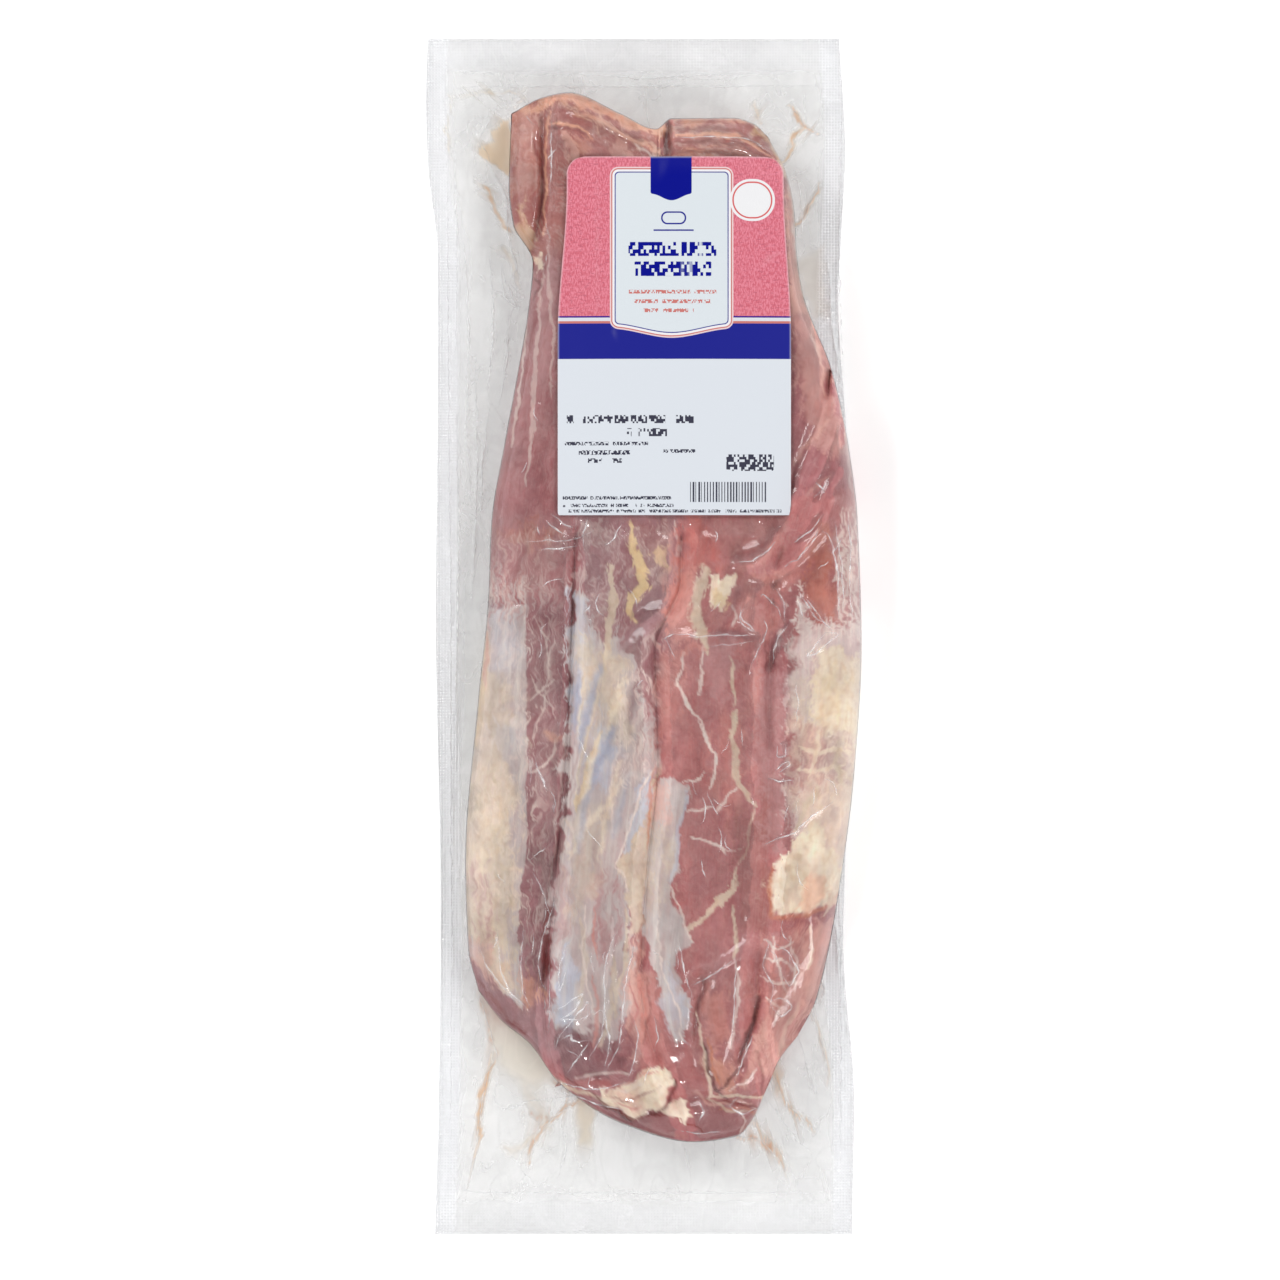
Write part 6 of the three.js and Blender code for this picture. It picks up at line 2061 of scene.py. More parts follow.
def store(piece: bpy.types.Object, name: str, values: np.ndarray) -> None:
    """Keeps a value for each point of a piece.

    Args:
        piece: The piece.
        name: Name that its material reads.
        values: One number, one colour or one vector for each point.
    """
    if values.ndim == 1:
        attribute = piece.data.attributes.new(name, "FLOAT", "POINT")
        attribute.data.foreach_set("value", values.astype(np.float32))
    elif values.shape[1] == 4:
        attribute = piece.data.attributes.new(name, "FLOAT_COLOR", "POINT")
        attribute.data.foreach_set("color", values.astype(np.float32).ravel())
    else:
        attribute = piece.data.attributes.new(name, "FLOAT_VECTOR", "POINT")
        attribute.data.foreach_set("vector", values.astype(np.float32).ravel())


def ring_of(grid: np.ndarray) -> np.ndarray:
    """Returns a grid's border, anticlockwise seen from above, from its far left corner."""
    return np.concatenate((grid[:-1, 0], grid[-1, :-1], grid[:0:-1, -1], grid[0, :0:-1]))


def outward(x: np.ndarray, y: np.ndarray) -> tuple[np.ndarray, np.ndarray]:
    """Works out the outward directions in plan of a ring that runs anticlockwise.

    Args:
        x: The ring's places across.
        y: The ring's places along.

    Returns:
        The directions' parts across and along.
    """
    step_x, step_y = np.roll(x, -1) - np.roll(x, 1), np.roll(y, -1) - np.roll(y, 1)
    length = np.maximum(np.hypot(step_x, step_y), 1e-9)
    return step_y / length, -step_x / length


def crease_fields(
    creases: tuple[Crease, ...], x: np.ndarray, y: np.ndarray, wander: Noise
) -> tuple[np.ndarray, np.ndarray]:
    """Works out how film folds lift places and lighten them by crease whitening with a painted highlight.

    Args:
        creases: The folds.
        x: Places across.
        y: Places along.
        wander: Noise that bends the folds a little.

    Returns:
        The rise in millimetres and the gleam, crease whitening with a painted highlight, from 0 to 1 at each
        place.
    """
    rise, gleam = np.zeros(x.shape), np.zeros(x.shape)
    bent_x = x + 0.7 * wander.layered(x / 6, y / 6)
    bent_y = y + 0.7 * wander.layered(y / 6 + 30, x / 6)
    breaks = smooth_step(0.5 + 0.9 * wander.layered(x / 4 + 9, y / 4))
    for crease in creases:
        points = np.array(crease.points, float)
        near = near_box(points, 5 * crease.width + 2, x, y)
        if not near.size:
            continue
        away, share = near_path(points, bent_x[near], bent_y[near])
        taper = np.sin(math.pi * np.clip(share, 0.03, 0.97)) ** 0.5
        broad = hump(away, 2.6 * crease.width) * 0.5 + hump(away, 1.1 * crease.width) * 0.5
        rise[near] = np.maximum(rise[near], crease.rise * taper * broad)
        # line: a painted highlight with crease whitening along the fold, broken in places.
        line = hump(away, 1.6 * crease.width) * (0.35 + 0.65 * breaks[near])
        gleam[near] = np.maximum(gleam[near], 0.16 * crease.gleam * taper * line)
    return rise, gleam


@dataclass
class MeatPieces:
    """The three tenderloins, closed bodies pressed against each other along the seams."""

    form: PackForm
    flesh: FleshMap
    step_across: float = 0.62
    step_along: float = 0.62
    film_gap: float = 0.45
    seam_gap: float = 0.02
    floor_gap: float = 0.5
    side_gap: float = 0.35
    veil: float = 0.03
    light: float = 0.78
    meat_length: float = 385.0
    widest_at: float = 60.0
    foot_height: float = 5.4
    middle_start: float = 0.19
    fine_folds: tuple = (
        (((-50, 211), (-38, 216), (-20, 214), (8, 202)), 2.4, 0.7),
        (((-24, 208), (-8, 202), (6, 195)), 2.0, -1.3),
        (((-30, 210), (-12, 203), (6, 193)), 1.8, 0.9),
        (((-37.6, 202), (-31, 203), (-26, 201), (-18, 196)), 1.5, -0.9),
        (((-38, 204), (-31.4, 205.6), (-22, 200.4)), 1.5, 0.7),
        (((-40.4, 207), (-40.4, 190), (-40.4, 172), (-44, 154)), 1.8, -1.6),
        (((-38.6, 208), (-38.8, 190), (-38.8, 172), (-41, 158)), 1.4, 0.8),
        (((-33, 200), (-31, 192), (-29, 186)), 2.0, 0.7),
        (((9, 208), (9.4, 196), (10, 188)), 2.0, -2.6),
        (((13.4, 197), (28, 197.8), (42, 195.6), (54, 187)), 1.5, -1.2),
        (((14, 202.4), (26, 203.2), (38, 200.8), (48, 196)), 1.4, -0.9),
        (((13, 199.8), (26, 200.6), (38, 198.4), (50, 191)), 1.4, 0.8),
        (((20.2, 206), (33.8, 207), (46, 203)), 2.0, 0.6),
        (((14, 193), (28, 193.4), (42, 190.6)), 1.4, -0.6),
        (((69.6, 130), (74.2, 109), (75.6, 94)), 5.4, 3.0),
        (((75, 92), (69, 76), (62, 58), (57, 42)), 3.4, 1.7),
        (((70, 92), (64, 74), (58, 60)), 3.0, -1.3),
        (((78, 84), (74, 68), (69, 54)), 3.0, -1.3),
        (((79, 66), (72, 55), (64, 46), (56, 37)), 3.2, 1.6),
        (((-28.6, 40), (-28.4, 0), (-28.6, -33), (-31, -73), (-38, -105), (-40, -138)), 1.8, -0.6),
        (((50, -8), (49.6, -22), (49, -40)), 3.0, -0.7),
        (((36.7, 28.5), (42.3, 28.5), (48.3, 31.5), (54.3, 39.5)), 3.0, 1.7),
        (((39, 33), (47, 36), (52, 43)), 3.4, -1.6),
        (((43.8, 25.9), (51.3, 25.5), (59.5, 29.3), (64.7, 35.2), (70, 41.2), (75, 54)), 3.0, 1.8),
        (((44, 20.6), (52, 21), (60, 24.6), (66, 31)), 3.4, -1.3),
        (((71, 34), (67, 24.8), (61.8, 18.8), (58, 11.3), (57, 3), (53, -4), (51, -12)), 4.0, -0.8),
        (((41.6, 15.1), (38.6, 9.9), (39.3, 5.4), (44.6, 2.4)), 1.8, 0.9),
        (((48.3, 15.8), (46.8, 12.8), (49.8, 9.9), (55, 4.6)), 2.0, 1.0),
        (((26, 2.6), (36, 2), (45, 0.6)), 2.6, -0.8),
        (((46.8, 9.1), (49.8, 6.1), (50.2, 1.6), (47.6, -3.6), (44.6, -7.3), (42.3, -13.3)), 1.8, 1.0),
        (((64, 15.8), (69.2, 9.9), (72.2, 5.4), (75.9, 2.4)), 1.8, 0.8),
        (((-8.4, -2.1), (-2.5, 3.9), (5, 6.9), (9, 7.6)), 3.0, 1.1),
        (((-6, 6), (0, 10), (6, 11)), 2.6, -0.7),
        (((74, 66), (66, 58), (60, 60)), 2.6, -0.7),
        (((36, -30), (37, -58), (44, -68)), 1.4, -0.5),
        (((46.2, -144), (43.8, -154.2), (37.8, -169.4)), 1.8, -1.4),
        (((24.2, -138.2), (21.8, -147.8), (20.6, -164)), 1.6, -1.0),
        (((-18, -186.6), (-11, -190), (-5, -193.4)), 1.4, -1.0),
        (((-34, -178), (-20, -183), (-4, -187)), 1.6, 0.8),
        (((-52, -158), (-44, -168), (-36, -178)), 2.0, -0.8),
    )

    def relief(self, x: np.ndarray, y: np.ndarray) -> np.ndarray:
        """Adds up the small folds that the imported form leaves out.

        Args:
            x: Places across.
            y: Places along.

        Returns:
            The rise at each place, in millimetres.
        """
        total = np.zeros(x.shape)
        for path, reach, rise in self.fine_folds:
            total = total + rise * hump(near_path(np.array(path, float), x, y)[0], reach)
        open_side = smooth_step(self.form.outside_label(x, y) / 8)
        for seam, fill, reach, cut in (
            (self.form.left_seam, 2.4, 8.0, 0.4),
            (self.form.right_seam, 3.2, 9.0, 0.0),
            (self.form.outer_groove, 2.8, 12.0, 0.0),
        ):
            away = np.abs(x - seam(y))
            total = total + open_side * (fill * hump(away, reach) - cut * hump(away, 1.3))
        return total

    def piece(self, name: str, left: Line | None, right: Line | None, start: float,
              material: bpy.types.Material) -> bpy.types.Object:
        """Builds one tenderloin between two lines down the meat.

        Args:
            name: The piece's name.
            left: X of its left side at each Y, or None for the meat's own side.
            right: X of its right side at each Y, or None for the meat's own side.
            start: Share along the meat at which it begins.
            material: Its finish.

        Returns:
            The piece.
        """
        form = self.form
        outer = left is None, right is None
        rows = int((1 - start) * self.meat_length / self.step_along)
        along = start + (1 - start) * np.linspace(0, 1, rows + 1)
        first = np.zeros(rows + 1) if outer[0] else form.place_of(left, along)
        last = np.ones(rows + 1) if outer[1] else form.place_of(right, along)
        widest = form.meat_right(self.widest_at) - form.meat_left(self.widest_at)
        width = np.max((last - first) * widest)
        columns = int(width / self.step_across)
        share = np.linspace(0, 1, columns + 1)[None, :]
        across = mix(first[:, None], last[:, None], share)
        down = np.broadcast_to(along[:, None], across.shape)
        x, y = form.plan(across, down)
        flat_x, flat_y = x.ravel(), y.ravel()
        masks = self.flesh.paint(flat_x, flat_y)
        u, v = self.flesh.grain(flat_x, flat_y)
        threads = self.flesh.noises[1].layered(u / 1.5, v / 16, 3)
        lumps = self.flesh.noises[0].layered(flat_x / 7, flat_y / 11, 3)
        height = form.height(flat_x, flat_y) - self.film_gap + self.relief(flat_x, flat_y)
        height = height + 0.75 * masks["relief"] + 0.03 * threads + 0.2 * lumps - 0.2 * masks["dark"]
        height = height + 0.1 * masks["cloud"]
        top = np.maximum(height, self.floor_gap + 5).reshape(x.shape)

        surface = Surface()
        ring_x, ring_y = ring_of(x), ring_of(y)
        normal_x, normal_y = outward(ring_x, ring_y)
        side = np.zeros(x.shape, bool)
        side[-1, :] = True
        side[:, 0] |= outer[0]
        side[:, -1] |= outer[1]
        side[0, :] |= start == 0
        free = ring_of(side).astype(float)
        edge = np.minimum(ring_of(top), form.wall_top - self.film_gap)
        edge = mix(ring_of(top), edge, free)
        for places, moved in ((x, ring_x - normal_x * self.side_gap * free),
                              (y, ring_y - normal_y * self.side_gap * free),
                              (top, edge)):
            places[:-1, 0], rest = moved[: rows], moved[rows:]
            places[-1, :-1], rest = rest[:columns], rest[columns:]
            places[:0:-1, -1], rest = rest[:rows], rest[rows:]
            places[0, :0:-1] = rest
        surface.sheet(surface.points(x, y, top))
        ring_x, ring_y = ring_of(x), ring_of(y)
        upper = surface.points(ring_x, ring_y, ring_of(top))
        levels = (form.wall_middle, form.wall_middle_inset), (self.foot_height, form.foot_inset)
        for height_now, inset in levels:
            lower = surface.points(
                ring_x - normal_x * inset * free, ring_y - normal_y * inset * free,
                np.minimum(ring_of(top) - 0.2, height_now),
            )
            surface.band(lower, upper)
            upper = lower
        sole_x, sole_y = form.sole(ring_of(across), ring_of(down))
        sole = surface.points(sole_x, sole_y, np.full(sole_x.shape, self.floor_gap))
        surface.band(sole, upper)
        surface.cap(sole)

        piece = surface.build(name, material)
        walls = surface.count - x.size
        ring = ring_of(np.arange(x.size).reshape(x.shape))
        copies = np.concatenate((np.arange(x.size), np.tile(ring, walls // ring.size)))
        seen = np.clip((masks["colour"] - self.veil) / self.light, 0.0, 1.0)
        store(piece, "flesh", np.column_stack((seen, np.ones(len(seen))))[copies])
        for key in ("fat", "silver"):
            store(piece, key, masks[key][copies])
        store(piece, "grain", np.column_stack((u, v, np.zeros(len(u))))[copies])
        return piece

    def right_start(self, y: np.ndarray) -> np.ndarray:
        """Returns where the right tenderloin begins."""
        least = self.form.left_seam(y) + 2 * self.seam_gap
        return np.maximum(self.form.right_seam(y), least) + self.seam_gap

    def build(self) -> list[bpy.types.Object]:
        """Builds the three tenderloins.

        Returns:
            The pieces.
        """
        form, material = self.form, RawMeat().build()
        gap = self.seam_gap
        return [
            self.piece("tenderloin_left", None, lambda y: form.left_seam(y) - gap, 0.0, material),
            self.piece("tenderloin_middle", lambda y: form.left_seam(y) + gap,
                       lambda y: form.right_seam(y) - gap, self.middle_start, material),
            self.piece("tenderloin_right", self.right_start, None, 0.0, material),
        ]


@dataclass
class Film:
    """The clear pack: film tight over the meat, the sealed rim round it and the film below."""

    form: PackForm
    flesh: FleshMap
    meat: MeatPieces
    columns: int = 186
    rows: int = 470
    rings: int = 40
    under_rings: int = 6
    seal_width: float = 9.0
    rim_gauge: float = 0.55
    fold_step: float = 0.55
    fold_rise: float = 0.32
    stray_folds: int = 130
    stray_seed: int = 29
    normal_rounds: int = 40
    seeds: tuple[int, ...] = (71, 83, 97)
    tight_film: ClearFilm = ClearFilm("film_over_meat", milk=0.025, depth=0.1)

    def __post_init__(self) -> None:
        """Draws the film's noises and lays out the grid over the meat."""
        self.noises = [Noise(seed) for seed in self.seeds]
        form = self.form
        along = np.linspace(0, 1, self.rows + 1)[:, None]
        across = np.linspace(0, 1, self.columns + 1)[None, :]
        self.across, self.along = np.broadcast_arrays(across, along)
        self.x, self.y = form.plan(self.across, self.along)
        ring_x, ring_y = ring_of(self.x), ring_of(self.y)
        self.normal = outward(ring_x, ring_y)
        for _ in range(self.normal_rounds):
            self.normal = tuple((np.roll(n, -1) + 2 * n + np.roll(n, 1)) / 4 for n in self.normal)
        length = np.hypot(*self.normal)
        self.normal = self.normal[0] / length, self.normal[1] / length
        self.edge_x, self.edge_y = form.rim_plan(ring_of(self.across), ring_of(self.along))
        room = (self.edge_x - ring_x) * self.normal[0] + (self.edge_y - ring_y) * self.normal[1]
        self.inset = np.maximum(form.foot_inset, form.rim_least_width - room)
        self.foot_x = ring_x - self.normal[0] * self.inset
        self.foot_y = ring_y - self.normal[1] * self.inset

    def dress(self, piece: bpy.types.Object, gleam: np.ndarray, seal: np.ndarray, stained: np.ndarray,
              juice: np.ndarray) -> None:
        """Keeps the values that the film's material reads, one for each point.

        Args:
            piece: The piece of film.
            gleam: How much crease whitening with a painted highlight lightens the film at a fold.
            seal: How far the two films are sealed to each other.
            stained: How much juice is caught.
            juice: The juice's colour.
        """
        store(piece, "gleam", gleam)
        store(piece, "seal", seal)
        store(piece, "stained", stained)
        store(piece, "juice", np.column_stack((juice, np.ones(len(juice)))))

    def over_height(self, x: np.ndarray, y: np.ndarray) -> tuple[np.ndarray, np.ndarray]:
        """Works out the film's surface over the meat.

        Args:
            x: Places across.
            y: Places along.

        Returns:
            The height and the gleam of folds at each place.
        """
        form = self.form
        rise, gleam = crease_fields(MEAT_CREASES, x, y, self.noises[0])
        clear = smooth_step(form.outside_label(x, y) / 2)
        masks = self.flesh.paint(x, y)
        soft = self.noises[1].layered(x / 4.5, y / 9, 3)
        lumps = self.flesh.noises[0].layered(x / 7, y / 11, 3)
        height = form.height(x, y) + 0.7 * self.meat.relief(x, y) + 0.75 * masks["relief"]
        return height + clear * rise + 0.1 * soft + 0.2 * lumps + 0.1 * masks["cloud"], gleam

    def over_meat(self) -> bpy.types.Object:
        """Builds the film over the meat, down to the rim.

        Returns:
            The piece.
        """
        form = self.form
        x, y = self.x.ravel(), self.y.ravel()
        height, gleam = self.over_height(x, y)
        clear = smooth_step(form.outside_label(x, y) / 2)
        top = height.reshape(self.x.shape)
        for border in (np.s_[0, :], np.s_[-1, :], np.s_[:, 0], np.s_[:, -1]):
            top[border] = form.wall_top
        surface = Surface()
        numbers = surface.points(self.x, self.y, top)
        surface.sheet(numbers)
        upper = ring_of(numbers)
        ring_x, ring_y = ring_of(self.x), ring_of(self.y)
        middle = self.inset * form.wall_middle_inset / form.foot_inset
        lower = surface.points(
            ring_x - self.normal[0] * middle, ring_y - self.normal[1] * middle,
            np.full(ring_x.shape, form.wall_middle),
        )
        surface.band(lower, upper)
        foot_height = form.rim_height(self.foot_x, self.foot_y, np.zeros(ring_x.shape))
        foot = surface.points(self.foot_x, self.foot_y, foot_height)
        surface.band(foot, lower)
        piece = surface.build("film_over_meat", self.tight_film.build())
        extra = surface.count - x.size
        none = np.zeros(surface.count)
        gleam = np.concatenate((gleam * clear, np.zeros(extra)))
        self.dress(piece, gleam, none, none, np.ones((surface.count, 3)))
        return piece

    def rim(self) -> bpy.types.Object:
        """Builds the sealed rim: both films, their seal bands, folds and caught juice.

        Returns:
            The piece.
        """
        form = self.form
        shares = np.linspace(0, 1, self.rings + 1)[:, None]
        x = mix(self.foot_x[None, :], self.edge_x[None, :], shares)
        y = mix(self.foot_y[None, :], self.edge_y[None, :], shares)
        share = np.broadcast_to(shares, x.shape)
        flat_x, flat_y, flat_share = x.ravel(), y.ravel(), share.ravel()
        rise, gleam = crease_fields(RIM_CREASES, flat_x, flat_y, self.noises[0])
        inside = smooth_step(flat_share / 0.08) * smooth_step((1 - flat_share) / 0.04)
        ripple = self.noises[1].layered(flat_x / 9, flat_y / 14, 3)
        pleat = self.noises[2].ridged(flat_x / 2.6, flat_y / 30, 2)
        beside = smooth_step((-58 - flat_x) / 6) * smooth_step((170 - flat_y) / 40)
        height = form.rim_height(flat_x, flat_y, flat_share)
        pleats = 0.14 * beside * smooth_step((pleat - 0.7) / 0.3)
        height = height + inside * (1.2 * rise + 0.16 * ripple + pleats)
        top = height.reshape(x.shape)

        to_side = np.minimum(flat_x - form.rim_left(flat_y), form.rim_right(flat_y) - flat_x)
        seal = smooth_step((self.seal_width - to_side) / 1.2)
        to_end = form.half_length - np.abs(flat_y)
        seal = np.maximum(seal, 0.5 * smooth_step((14 - to_end) / 2))
        # A painted highlight along the pack's outer edges, with the film's whitening there.
        gleam = np.maximum(gleam, 0.5 * smooth_step((0.7 - np.minimum(to_side, to_end)) / 0.5))
        stained, juice = self.stains(flat_x, flat_y)

        surface = Surface()
        numbers = surface.points(x, y, top)
        for inner, outer in zip(numbers[:-1], numbers[1:]):
            surface.band(outer, inner)
        picks = np.linspace(self.rings, 0, self.under_rings + 1).astype(int)
        under = surface.points(x[picks], y[picks], top[picks] - self.rim_gauge)
        surface.band(under[0], numbers[-1])
        for outer, inner in zip(under[:-1], under[1:]):
            surface.band(outer, inner, up=False)
        surface.band(numbers[0], under[-1])
        film = ClearFilm("film_rim", milk=0.3, milk_colour=(0.64, 0.635, 0.63), cell=26.0, depth=0.05,
                         fold_whitening_and_highlight=0.6, knurl=0.12, cloud=0.14)
        piece = surface.build("film_rim", film.build())
        self.rim_places = np.column_stack((flat_x, flat_y, height))
        copies = np.concatenate((np.arange(x.size), np.arange(x.size).reshape(x.shape)[picks].ravel()))
        self.dress(piece, gleam[copies], seal[copies], stained[copies], juice[copies])
        return piece

    def rim_level(self, x: np.ndarray, y: np.ndarray) -> np.ndarray:
        """Finds the rim's height at its own point nearest to each place.

        Args:
            x: Places across.
            y: Places along.

        Returns:
            The height at each place.
        """
        level = np.zeros(x.shape)
        for k in range(len(x)):
            away = (self.rim_places[:, 0] - x[k]) ** 2 + (self.rim_places[:, 1] - y[k]) ** 2
            level[k] = self.rim_places[np.argmin(away), 2]
        return level

    def strays(self) -> list[Crease]:
        """Scatters short folds over the meat.

        Returns:
            The folds.
        """
        form = self.form
        random = np.random.default_rng(self.stray_seed)
        folds = []
        for _ in range(self.stray_folds):
            x, y = random.uniform(-66, 80), random.uniform(-185, 215)
            turn, length = random.normal(0, 0.5), random.uniform(4, 13)
            bend = random.uniform(-0.5, 0.5)
            points = []
            for share in (-0.5, -0.17, 0.17, 0.5):
                turned = turn + bend * share * 2
                points.append((x + length * share * math.sin(turned), y - length * share * math.cos(turned)))
            across, along = np.array(points).T
            side = np.minimum(across - form.meat_left(along), form.meat_right(along) - across)
            ends = np.minimum(form.meat_top(across) - along, along - form.meat_bottom(across))
            outside = form.outside_label(across, along)
            if min(side.min(), ends.min()) > 3 and outside.min() > 2:
                folds.append(Crease(tuple(points), 0.5, 0.3, random.uniform(0.15, 0.6)))
        return folds

    def folds(self, name: str, creases: list[Crease], level: Heights) -> bpy.types.Object:
        """Builds sharp folds of film as fine ridges along their lines, with crease whitening and a painted
        highlight on their tops.

        Args:
            name: The piece's name.
            creases: The folds.
            level: Function that gives the film's height at places.

        Returns:
            The piece.
        """
        surface = Surface()
        gleams = []
        profile = np.array([-1.0, -0.45, 0.0, 0.45, 1.0])
        rises = np.array([-0.35, 0.55, 1.0, 0.55, -0.35])
        noise = self.noises[2]
        for crease in creases:
            knots = np.array(crease.points, float)
            legs = np.hypot(*np.diff(knots, axis=0).T)
            marks = np.concatenate(([0.0], np.cumsum(legs)))
            count = max(4, int(marks[-1] / self.fold_step))
            at = np.linspace(0, marks[-1], count + 1)
            x, y = (np.interp(at, marks, knots[:, k]) for k in (0, 1))
            for _ in range(4):
                x[1:-1] = (x[:-2] + 2 * x[1:-1] + x[2:]) / 4
                y[1:-1] = (y[:-2] + 2 * y[1:-1] + y[2:]) / 4
            x = x + 0.45 * noise.layered(x / 5, y / 5)
            y = y + 0.45 * noise.layered(y / 5 + 30, x / 5)
            way_x, way_y = np.gradient(x), np.gradient(y)
            length = np.maximum(np.hypot(way_x, way_y), 1e-6)
            taper = np.sin(math.pi * np.linspace(0.02, 0.98, count + 1)) ** 0.6
            taper = taper * (0.75 + 0.5 * noise.plain(x / 3, y / 3))
            half = 0.62 * (0.55 + 0.45 * crease.width) * np.clip(taper, 0.2, 1.3)
            grid_x = x[:, None] + (way_y / length * half)[:, None] * -profile
            grid_y = y[:, None] - (way_x / length * half)[:, None] * -profile
            height = level(grid_x.ravel(), grid_y.ravel()).reshape(grid_x.shape)
            ridge = self.fold_rise * (0.4 + crease.rise) * np.clip(taper, 0.0, 1.3)
            numbers = surface.points(grid_x, grid_y, height + ridge[:, None] * rises - 0.03)
            surface.sheet(numbers)
            # shine: a painted highlight with crease whitening along the ridge's top, broken in places.
            breaks = np.clip(0.55 + 1.2 * noise.plain(x / 2.6 + 17, y / 2.6), 0.0, 1.0)
            shine = min(1.0, 2.4 * crease.gleam) * (0.45 + 0.55 * breaks) * np.clip(taper, 0.0, 1.0)
            gleams.append((shine[:, None] * np.array([0.0, 0.55, 1.0, 0.55, 0.0])).ravel())
        film = ClearFilm(name, milk=0.03, depth=0.05, fold_whitening_and_highlight=0.9, gloss_roughness=0.12)
        piece = surface.build(name, film.build())
        none = np.zeros(surface.count)
        self.dress(piece, np.concatenate(gleams), none, none, np.ones((surface.count, 3)))
        return piece

    def fold_pieces(self) -> list[bpy.types.Object]:
        """Builds the folds over the meat and the folds of the rim.

        Returns:
            The pieces.
        """
        over = [*MEAT_CREASES, *self.strays()]
        return [
            self.folds("film_folds_over_meat", over, lambda x, y: self.over_height(x, y)[0]),
            self.folds("film_folds_rim", list(RIM_CREASES), self.rim_level),
        ]

    def stains(self, x: np.ndarray, y: np.ndarray) -> tuple[np.ndarray, np.ndarray]:
        """Spreads the caught juice over the rim.

        Args:
            x: Places across.
            y: Places along.

        Returns:
            How stained each place is, and its colour.
        """
        stained, juice = np.zeros(x.shape), np.ones((x.size, 3)) * linear((236, 226, 212))
        bent_x = x + 1.6 * self.noises[1].layered(x / 7, y / 7)
        bent_y = y + 1.6 * self.noises[1].layered(y / 7 + 11, x / 7)
        for stain in STAINS:
            mark = Mark(Tissue.FAT, stain.points, width=stain.width)
            cover = stain.strength * mark.cover(bent_x, bent_y, np.full(x.shape, stain.soft))
            juice = mix(juice, np.array(linear(stain.tint)), cover[:, None])
            stained = np.maximum(stained, cover)
        return stained, juice

    def underside(self) -> bpy.types.Object:
        """Builds the film under the meat.

        Returns:
            The piece.
        """
        form = self.form
        surface = Surface()
        foot_height = form.rim_height(self.foot_x, self.foot_y, np.zeros(self.foot_x.shape))
        upper = surface.points(self.foot_x, self.foot_y, foot_height - self.rim_gauge)
        sole_x, sole_y = form.sole(ring_of(self.across), ring_of(self.along))
        sole = surface.points(sole_x, sole_y, np.zeros(sole_x.shape))
        surface.band(upper, sole, up=False)
        surface.cap(sole)
        piece = surface.build("film_underside", ClearFilm("film_underside", milk=0.12).build())
        none = np.zeros(surface.count)
        self.dress(piece, none, none, none, np.ones((surface.count, 3)))
        return piece


@dataclass
class Label:
    """The paper label that lies on the film over the folded heads."""

    form: PackForm
    step: float = 0.8
    gap: float = 0.35
    thickness: float = 0.28
    top_radius: float = 7.0
    bottom_radius: float = 2.0
    seed: int = 131
    creases: tuple[Crease, ...] = (
        Crease(((-18.6, 190), (-18.2, 170), (-18.6, 150), (-18, 126)), 0.9, 0.22, 0.5),
        Crease(((46.6, 147.6), (50, 151), (55, 152.8), (59, 152.6)), 0.7, 0.25, 0.8),
        Crease(((-12, 124), (-11, 118)), 0.6, 0.1, 0.4),
        Crease(((-34, 51), (-10, 50.4), (20, 49), (58, 50.4)), 1.6, 0.35, 0.1),
    )

    def build(self) -> bpy.types.Object:
        """Builds the label as a thin closed sheet.

        Returns:
            The piece.
        """
        form = self.form
        rows = int((form.label_top - form.label_bottom) / self.step)
        columns = int((form.label_right - form.label_left) / self.step)
        share = np.linspace(0, 1, rows + 1)
        y = form.label_top - (form.label_top - form.label_bottom) * share
        inset = form.label_inset(y)
        round_top = np.maximum(self.top_radius - (form.label_top - y), 0)
        round_low = np.maximum(self.bottom_radius - (y - form.label_bottom), 0)
        cut = self.top_radius - np.sqrt(self.top_radius**2 - round_top**2)
        cut = cut + self.bottom_radius - np.sqrt(self.bottom_radius**2 - round_low**2)
        left = form.label_left + inset + cut
        right = form.label_right - form.label_right_share * inset - cut
        x = mix(left[:, None], right[:, None], np.linspace(0, 1, columns + 1)[None, :])
        y = np.broadcast_to(y[:, None], x.shape)
        flat_x, flat_y = x.ravel(), y.ravel()
        noise = Noise(self.seed)
        rise, gleam = crease_fields(self.creases, flat_x, flat_y, noise)
        to_side = np.minimum(flat_x - left.repeat(columns + 1), right.repeat(columns + 1) - flat_x)
        to_end = np.minimum(form.label_top - flat_y, flat_y - form.label_bottom)
        border = np.minimum(to_side, to_end)
        loose = smooth_step(0.5 + noise.plain(flat_x / 18, flat_y / 18))
        lift = 0.4 * smooth_step((5 - border) / 5) * loose
        sway = 0.1 * noise.layered(flat_x / 12, flat_y / 9)
        height = form.height(flat_x, flat_y) + self.gap + rise + lift + sway
        gleam = np.maximum(gleam, 0.5 * smooth_step((0.5 - border) / 0.4))
        surface = Surface()
        upper = surface.points(x, y, height.reshape(x.shape) + self.thickness)
        lower = surface.points(x, y, height.reshape(x.shape))
        surface.sheet(upper)
        surface.sheet(lower, up=False)
        surface.band(ring_of(lower), ring_of(upper))
        piece = surface.build("label_sheet", LabelPaper().build())
        store(piece, "gleam", np.tile(gleam, 2))
        return piece


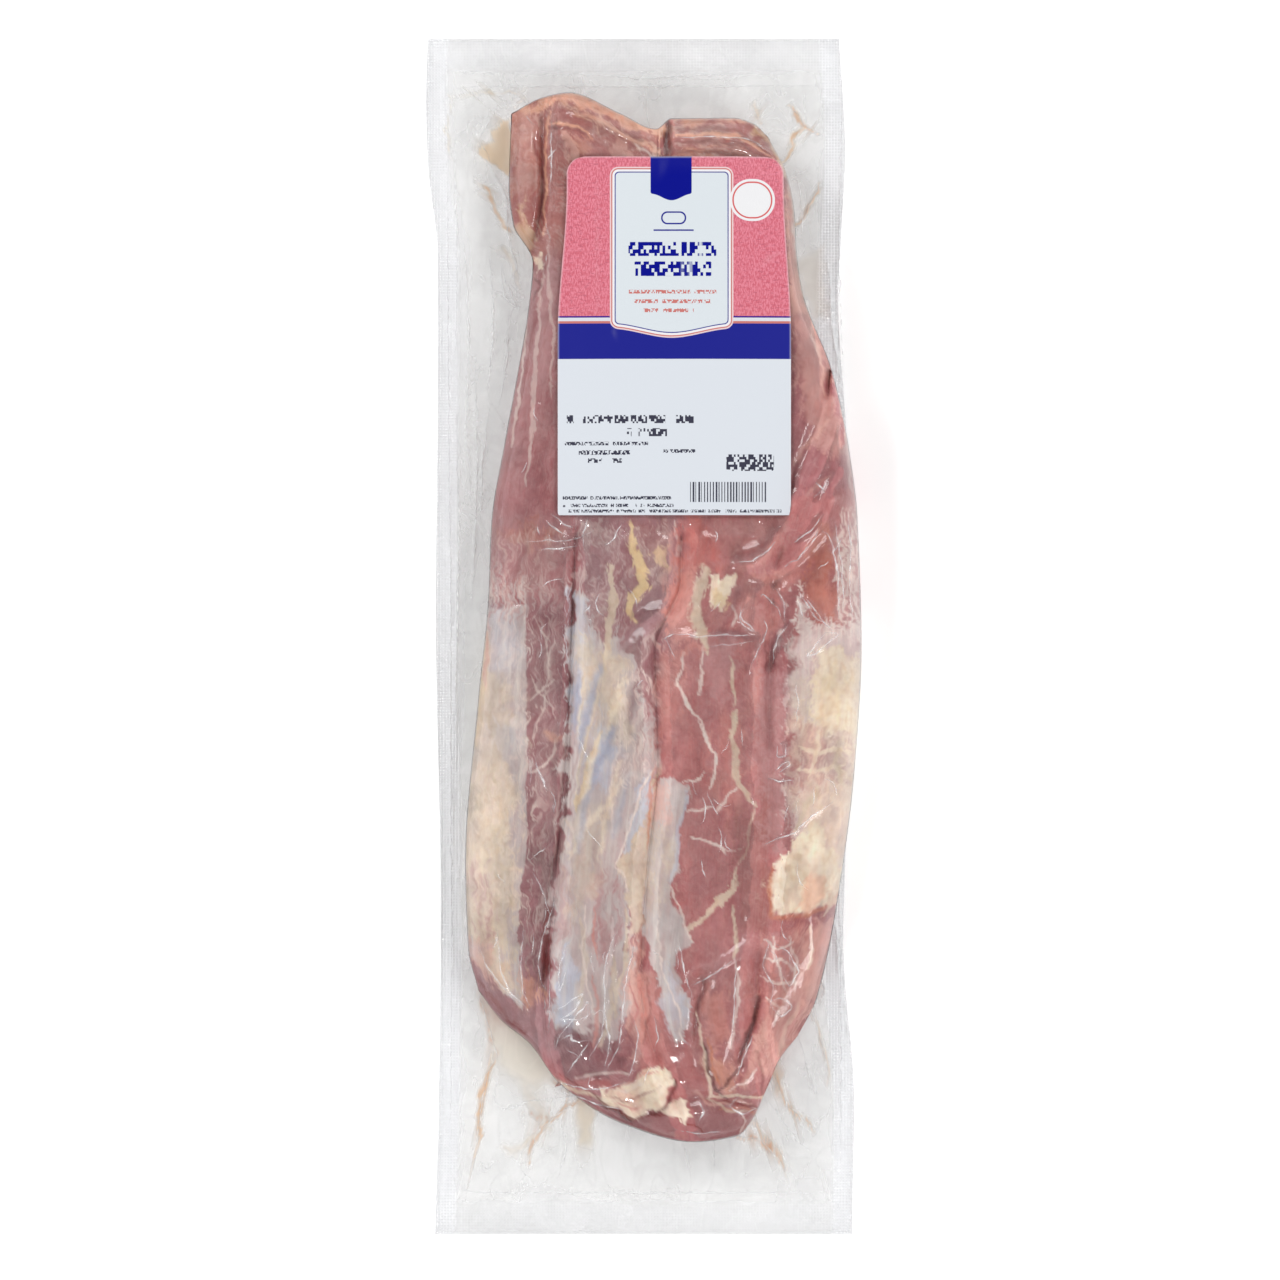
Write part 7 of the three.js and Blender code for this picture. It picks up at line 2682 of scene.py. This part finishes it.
@dataclass
class Studio:
    """The pale floor, the soft lights and the camera above the pack."""

    camera_height: float = 4.6
    seen_width: float = 0.512
    sensor: float = 36.0
    focus_height: float = 0.02
    centre: Point = (-0.0014, -0.0014)
    horizon_strength: float = 0.95
    overhead_strength: float = 0.12
    dark_from: float = 0.35
    dark_to: float = 0.93
    floor_half: float = 6.0
    floor_glow: float = 0.3

    def build(self) -> None:
        """Builds the stage, the lights, the world and the camera."""
        self.floor()
        self.light("soft_left", (-1.25, 1.0, 1.3), 0.7, 11.8)
        self.light("soft_right", (1.25, -0.95, 1.3), 0.7, 11.3)
        self.light("spark_left", (-0.8, -1.1, 1.2), 0.2, 5.2)
        self.light("spark_right", (0.8, 1.1, 1.2), 0.2, 5.2)
        world = bpy.data.worlds.new("white_room")
        world.use_nodes = True
        wiring = Wiring(world.node_tree)
        way = wiring.add("ShaderNodeTexCoord").outputs["Generated"]
        up = wiring.add("ShaderNodeSeparateXYZ", {0: way}).outputs["Z"]
        level = wiring.remap(up, self.dark_from, self.dark_to, self.horizon_strength, self.overhead_strength)
        background = world.node_tree.nodes["Background"]
        wiring.feed(background.inputs["Color"], (1.0, 1.0, 1.0, 1.0))
        wiring.feed(background.inputs["Strength"], level)
        scene = bpy.context.scene
        scene.world = world
        scene.view_settings.view_transform = "Standard"
        data = bpy.data.cameras.new("camera")
        data.sensor_width = self.sensor
        data.lens = self.sensor * (self.camera_height - self.focus_height) / self.seen_width
        camera = bpy.data.objects.new("camera", data)
        camera.location = (*self.centre, self.camera_height)
        scene.collection.objects.link(camera)
        scene.camera = camera

    def light(self, name: str, place: tuple[float, float, float], size: float, power: float) -> None:
        """Adds one soft square light that faces the pack.

        Args:
            name: The light's name.
            place: Where it stands, in metres.
            size: Its side, in metres.
            power: Its power, in watts.
        """
        data = bpy.data.lights.new(name, "AREA")
        data.shape = "SQUARE"
        data.size, data.energy = size, power
        lamp = bpy.data.objects.new(name, data)
        lamp.location = place
        lamp.rotation_euler = Vector(place).to_track_quat("Z", "Y").to_euler()
        bpy.context.scene.collection.objects.link(lamp)

    def floor(self) -> None:
        """Adds the pale floor that the pack lies on."""
        material, wiring, output = new_material("pale_floor")
        place = wiring.add("ShaderNodeTexCoord").outputs["Object"]
        tone = wiring.remap(wiring.noise(place, 3.0), 0.3, 0.7, 0.93, 0.95)
        colour = wiring.add("ShaderNodeCombineXYZ", {0: tone, 1: tone, 2: tone}).outputs[0]
        surface = wiring.add(
            "ShaderNodeBsdfPrincipled",
            {
                "Base Color": colour,
                "Roughness": 0.8,
                "Emission Color": (1.0, 1.0, 1.0, 1.0),
                "Emission Strength": self.floor_glow,
            },
        )
        wiring.feed(output.inputs["Surface"], surface.outputs[0])
        half = self.floor_half / MM
        sheet = Surface()
        across, along = np.meshgrid(np.linspace(-half, half, 3), np.linspace(half, -half, 3))
        sheet.sheet(sheet.points(across, along, np.full(across.shape, -0.3)))
        sheet.build("floor", material)


def settle(piece: bpy.types.Object, slot: str, *nodes: str) -> None:
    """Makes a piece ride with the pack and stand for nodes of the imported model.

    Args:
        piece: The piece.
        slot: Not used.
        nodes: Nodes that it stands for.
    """
    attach(piece, "root")
    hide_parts(*nodes)
    log.info("%s: %d points, %d faces", piece.name, len(piece.data.vertices), len(piece.data.polygons))


def main() -> None:
    """Builds the meat, the film, the label and the studio, and notes the sizes."""
    logging.basicConfig(level=logging.INFO, format="%(name)s %(message)s")
    form = PackForm()
    flesh = FleshMap(form)
    meat = MeatPieces(form, flesh)
    for piece in meat.build():
        settle(piece, "packed_meat", "vacuum_pack")
    film = Film(form, flesh, meat)
    for piece in (film.over_meat(), film.rim(), film.underside(), *film.fold_pieces()):
        settle(piece, "clear_film", "vacuum_pack")
    settle(Label(form).build(), "label_paper", "label")
    Studio().build()


if __name__ == "__main__":
    main()
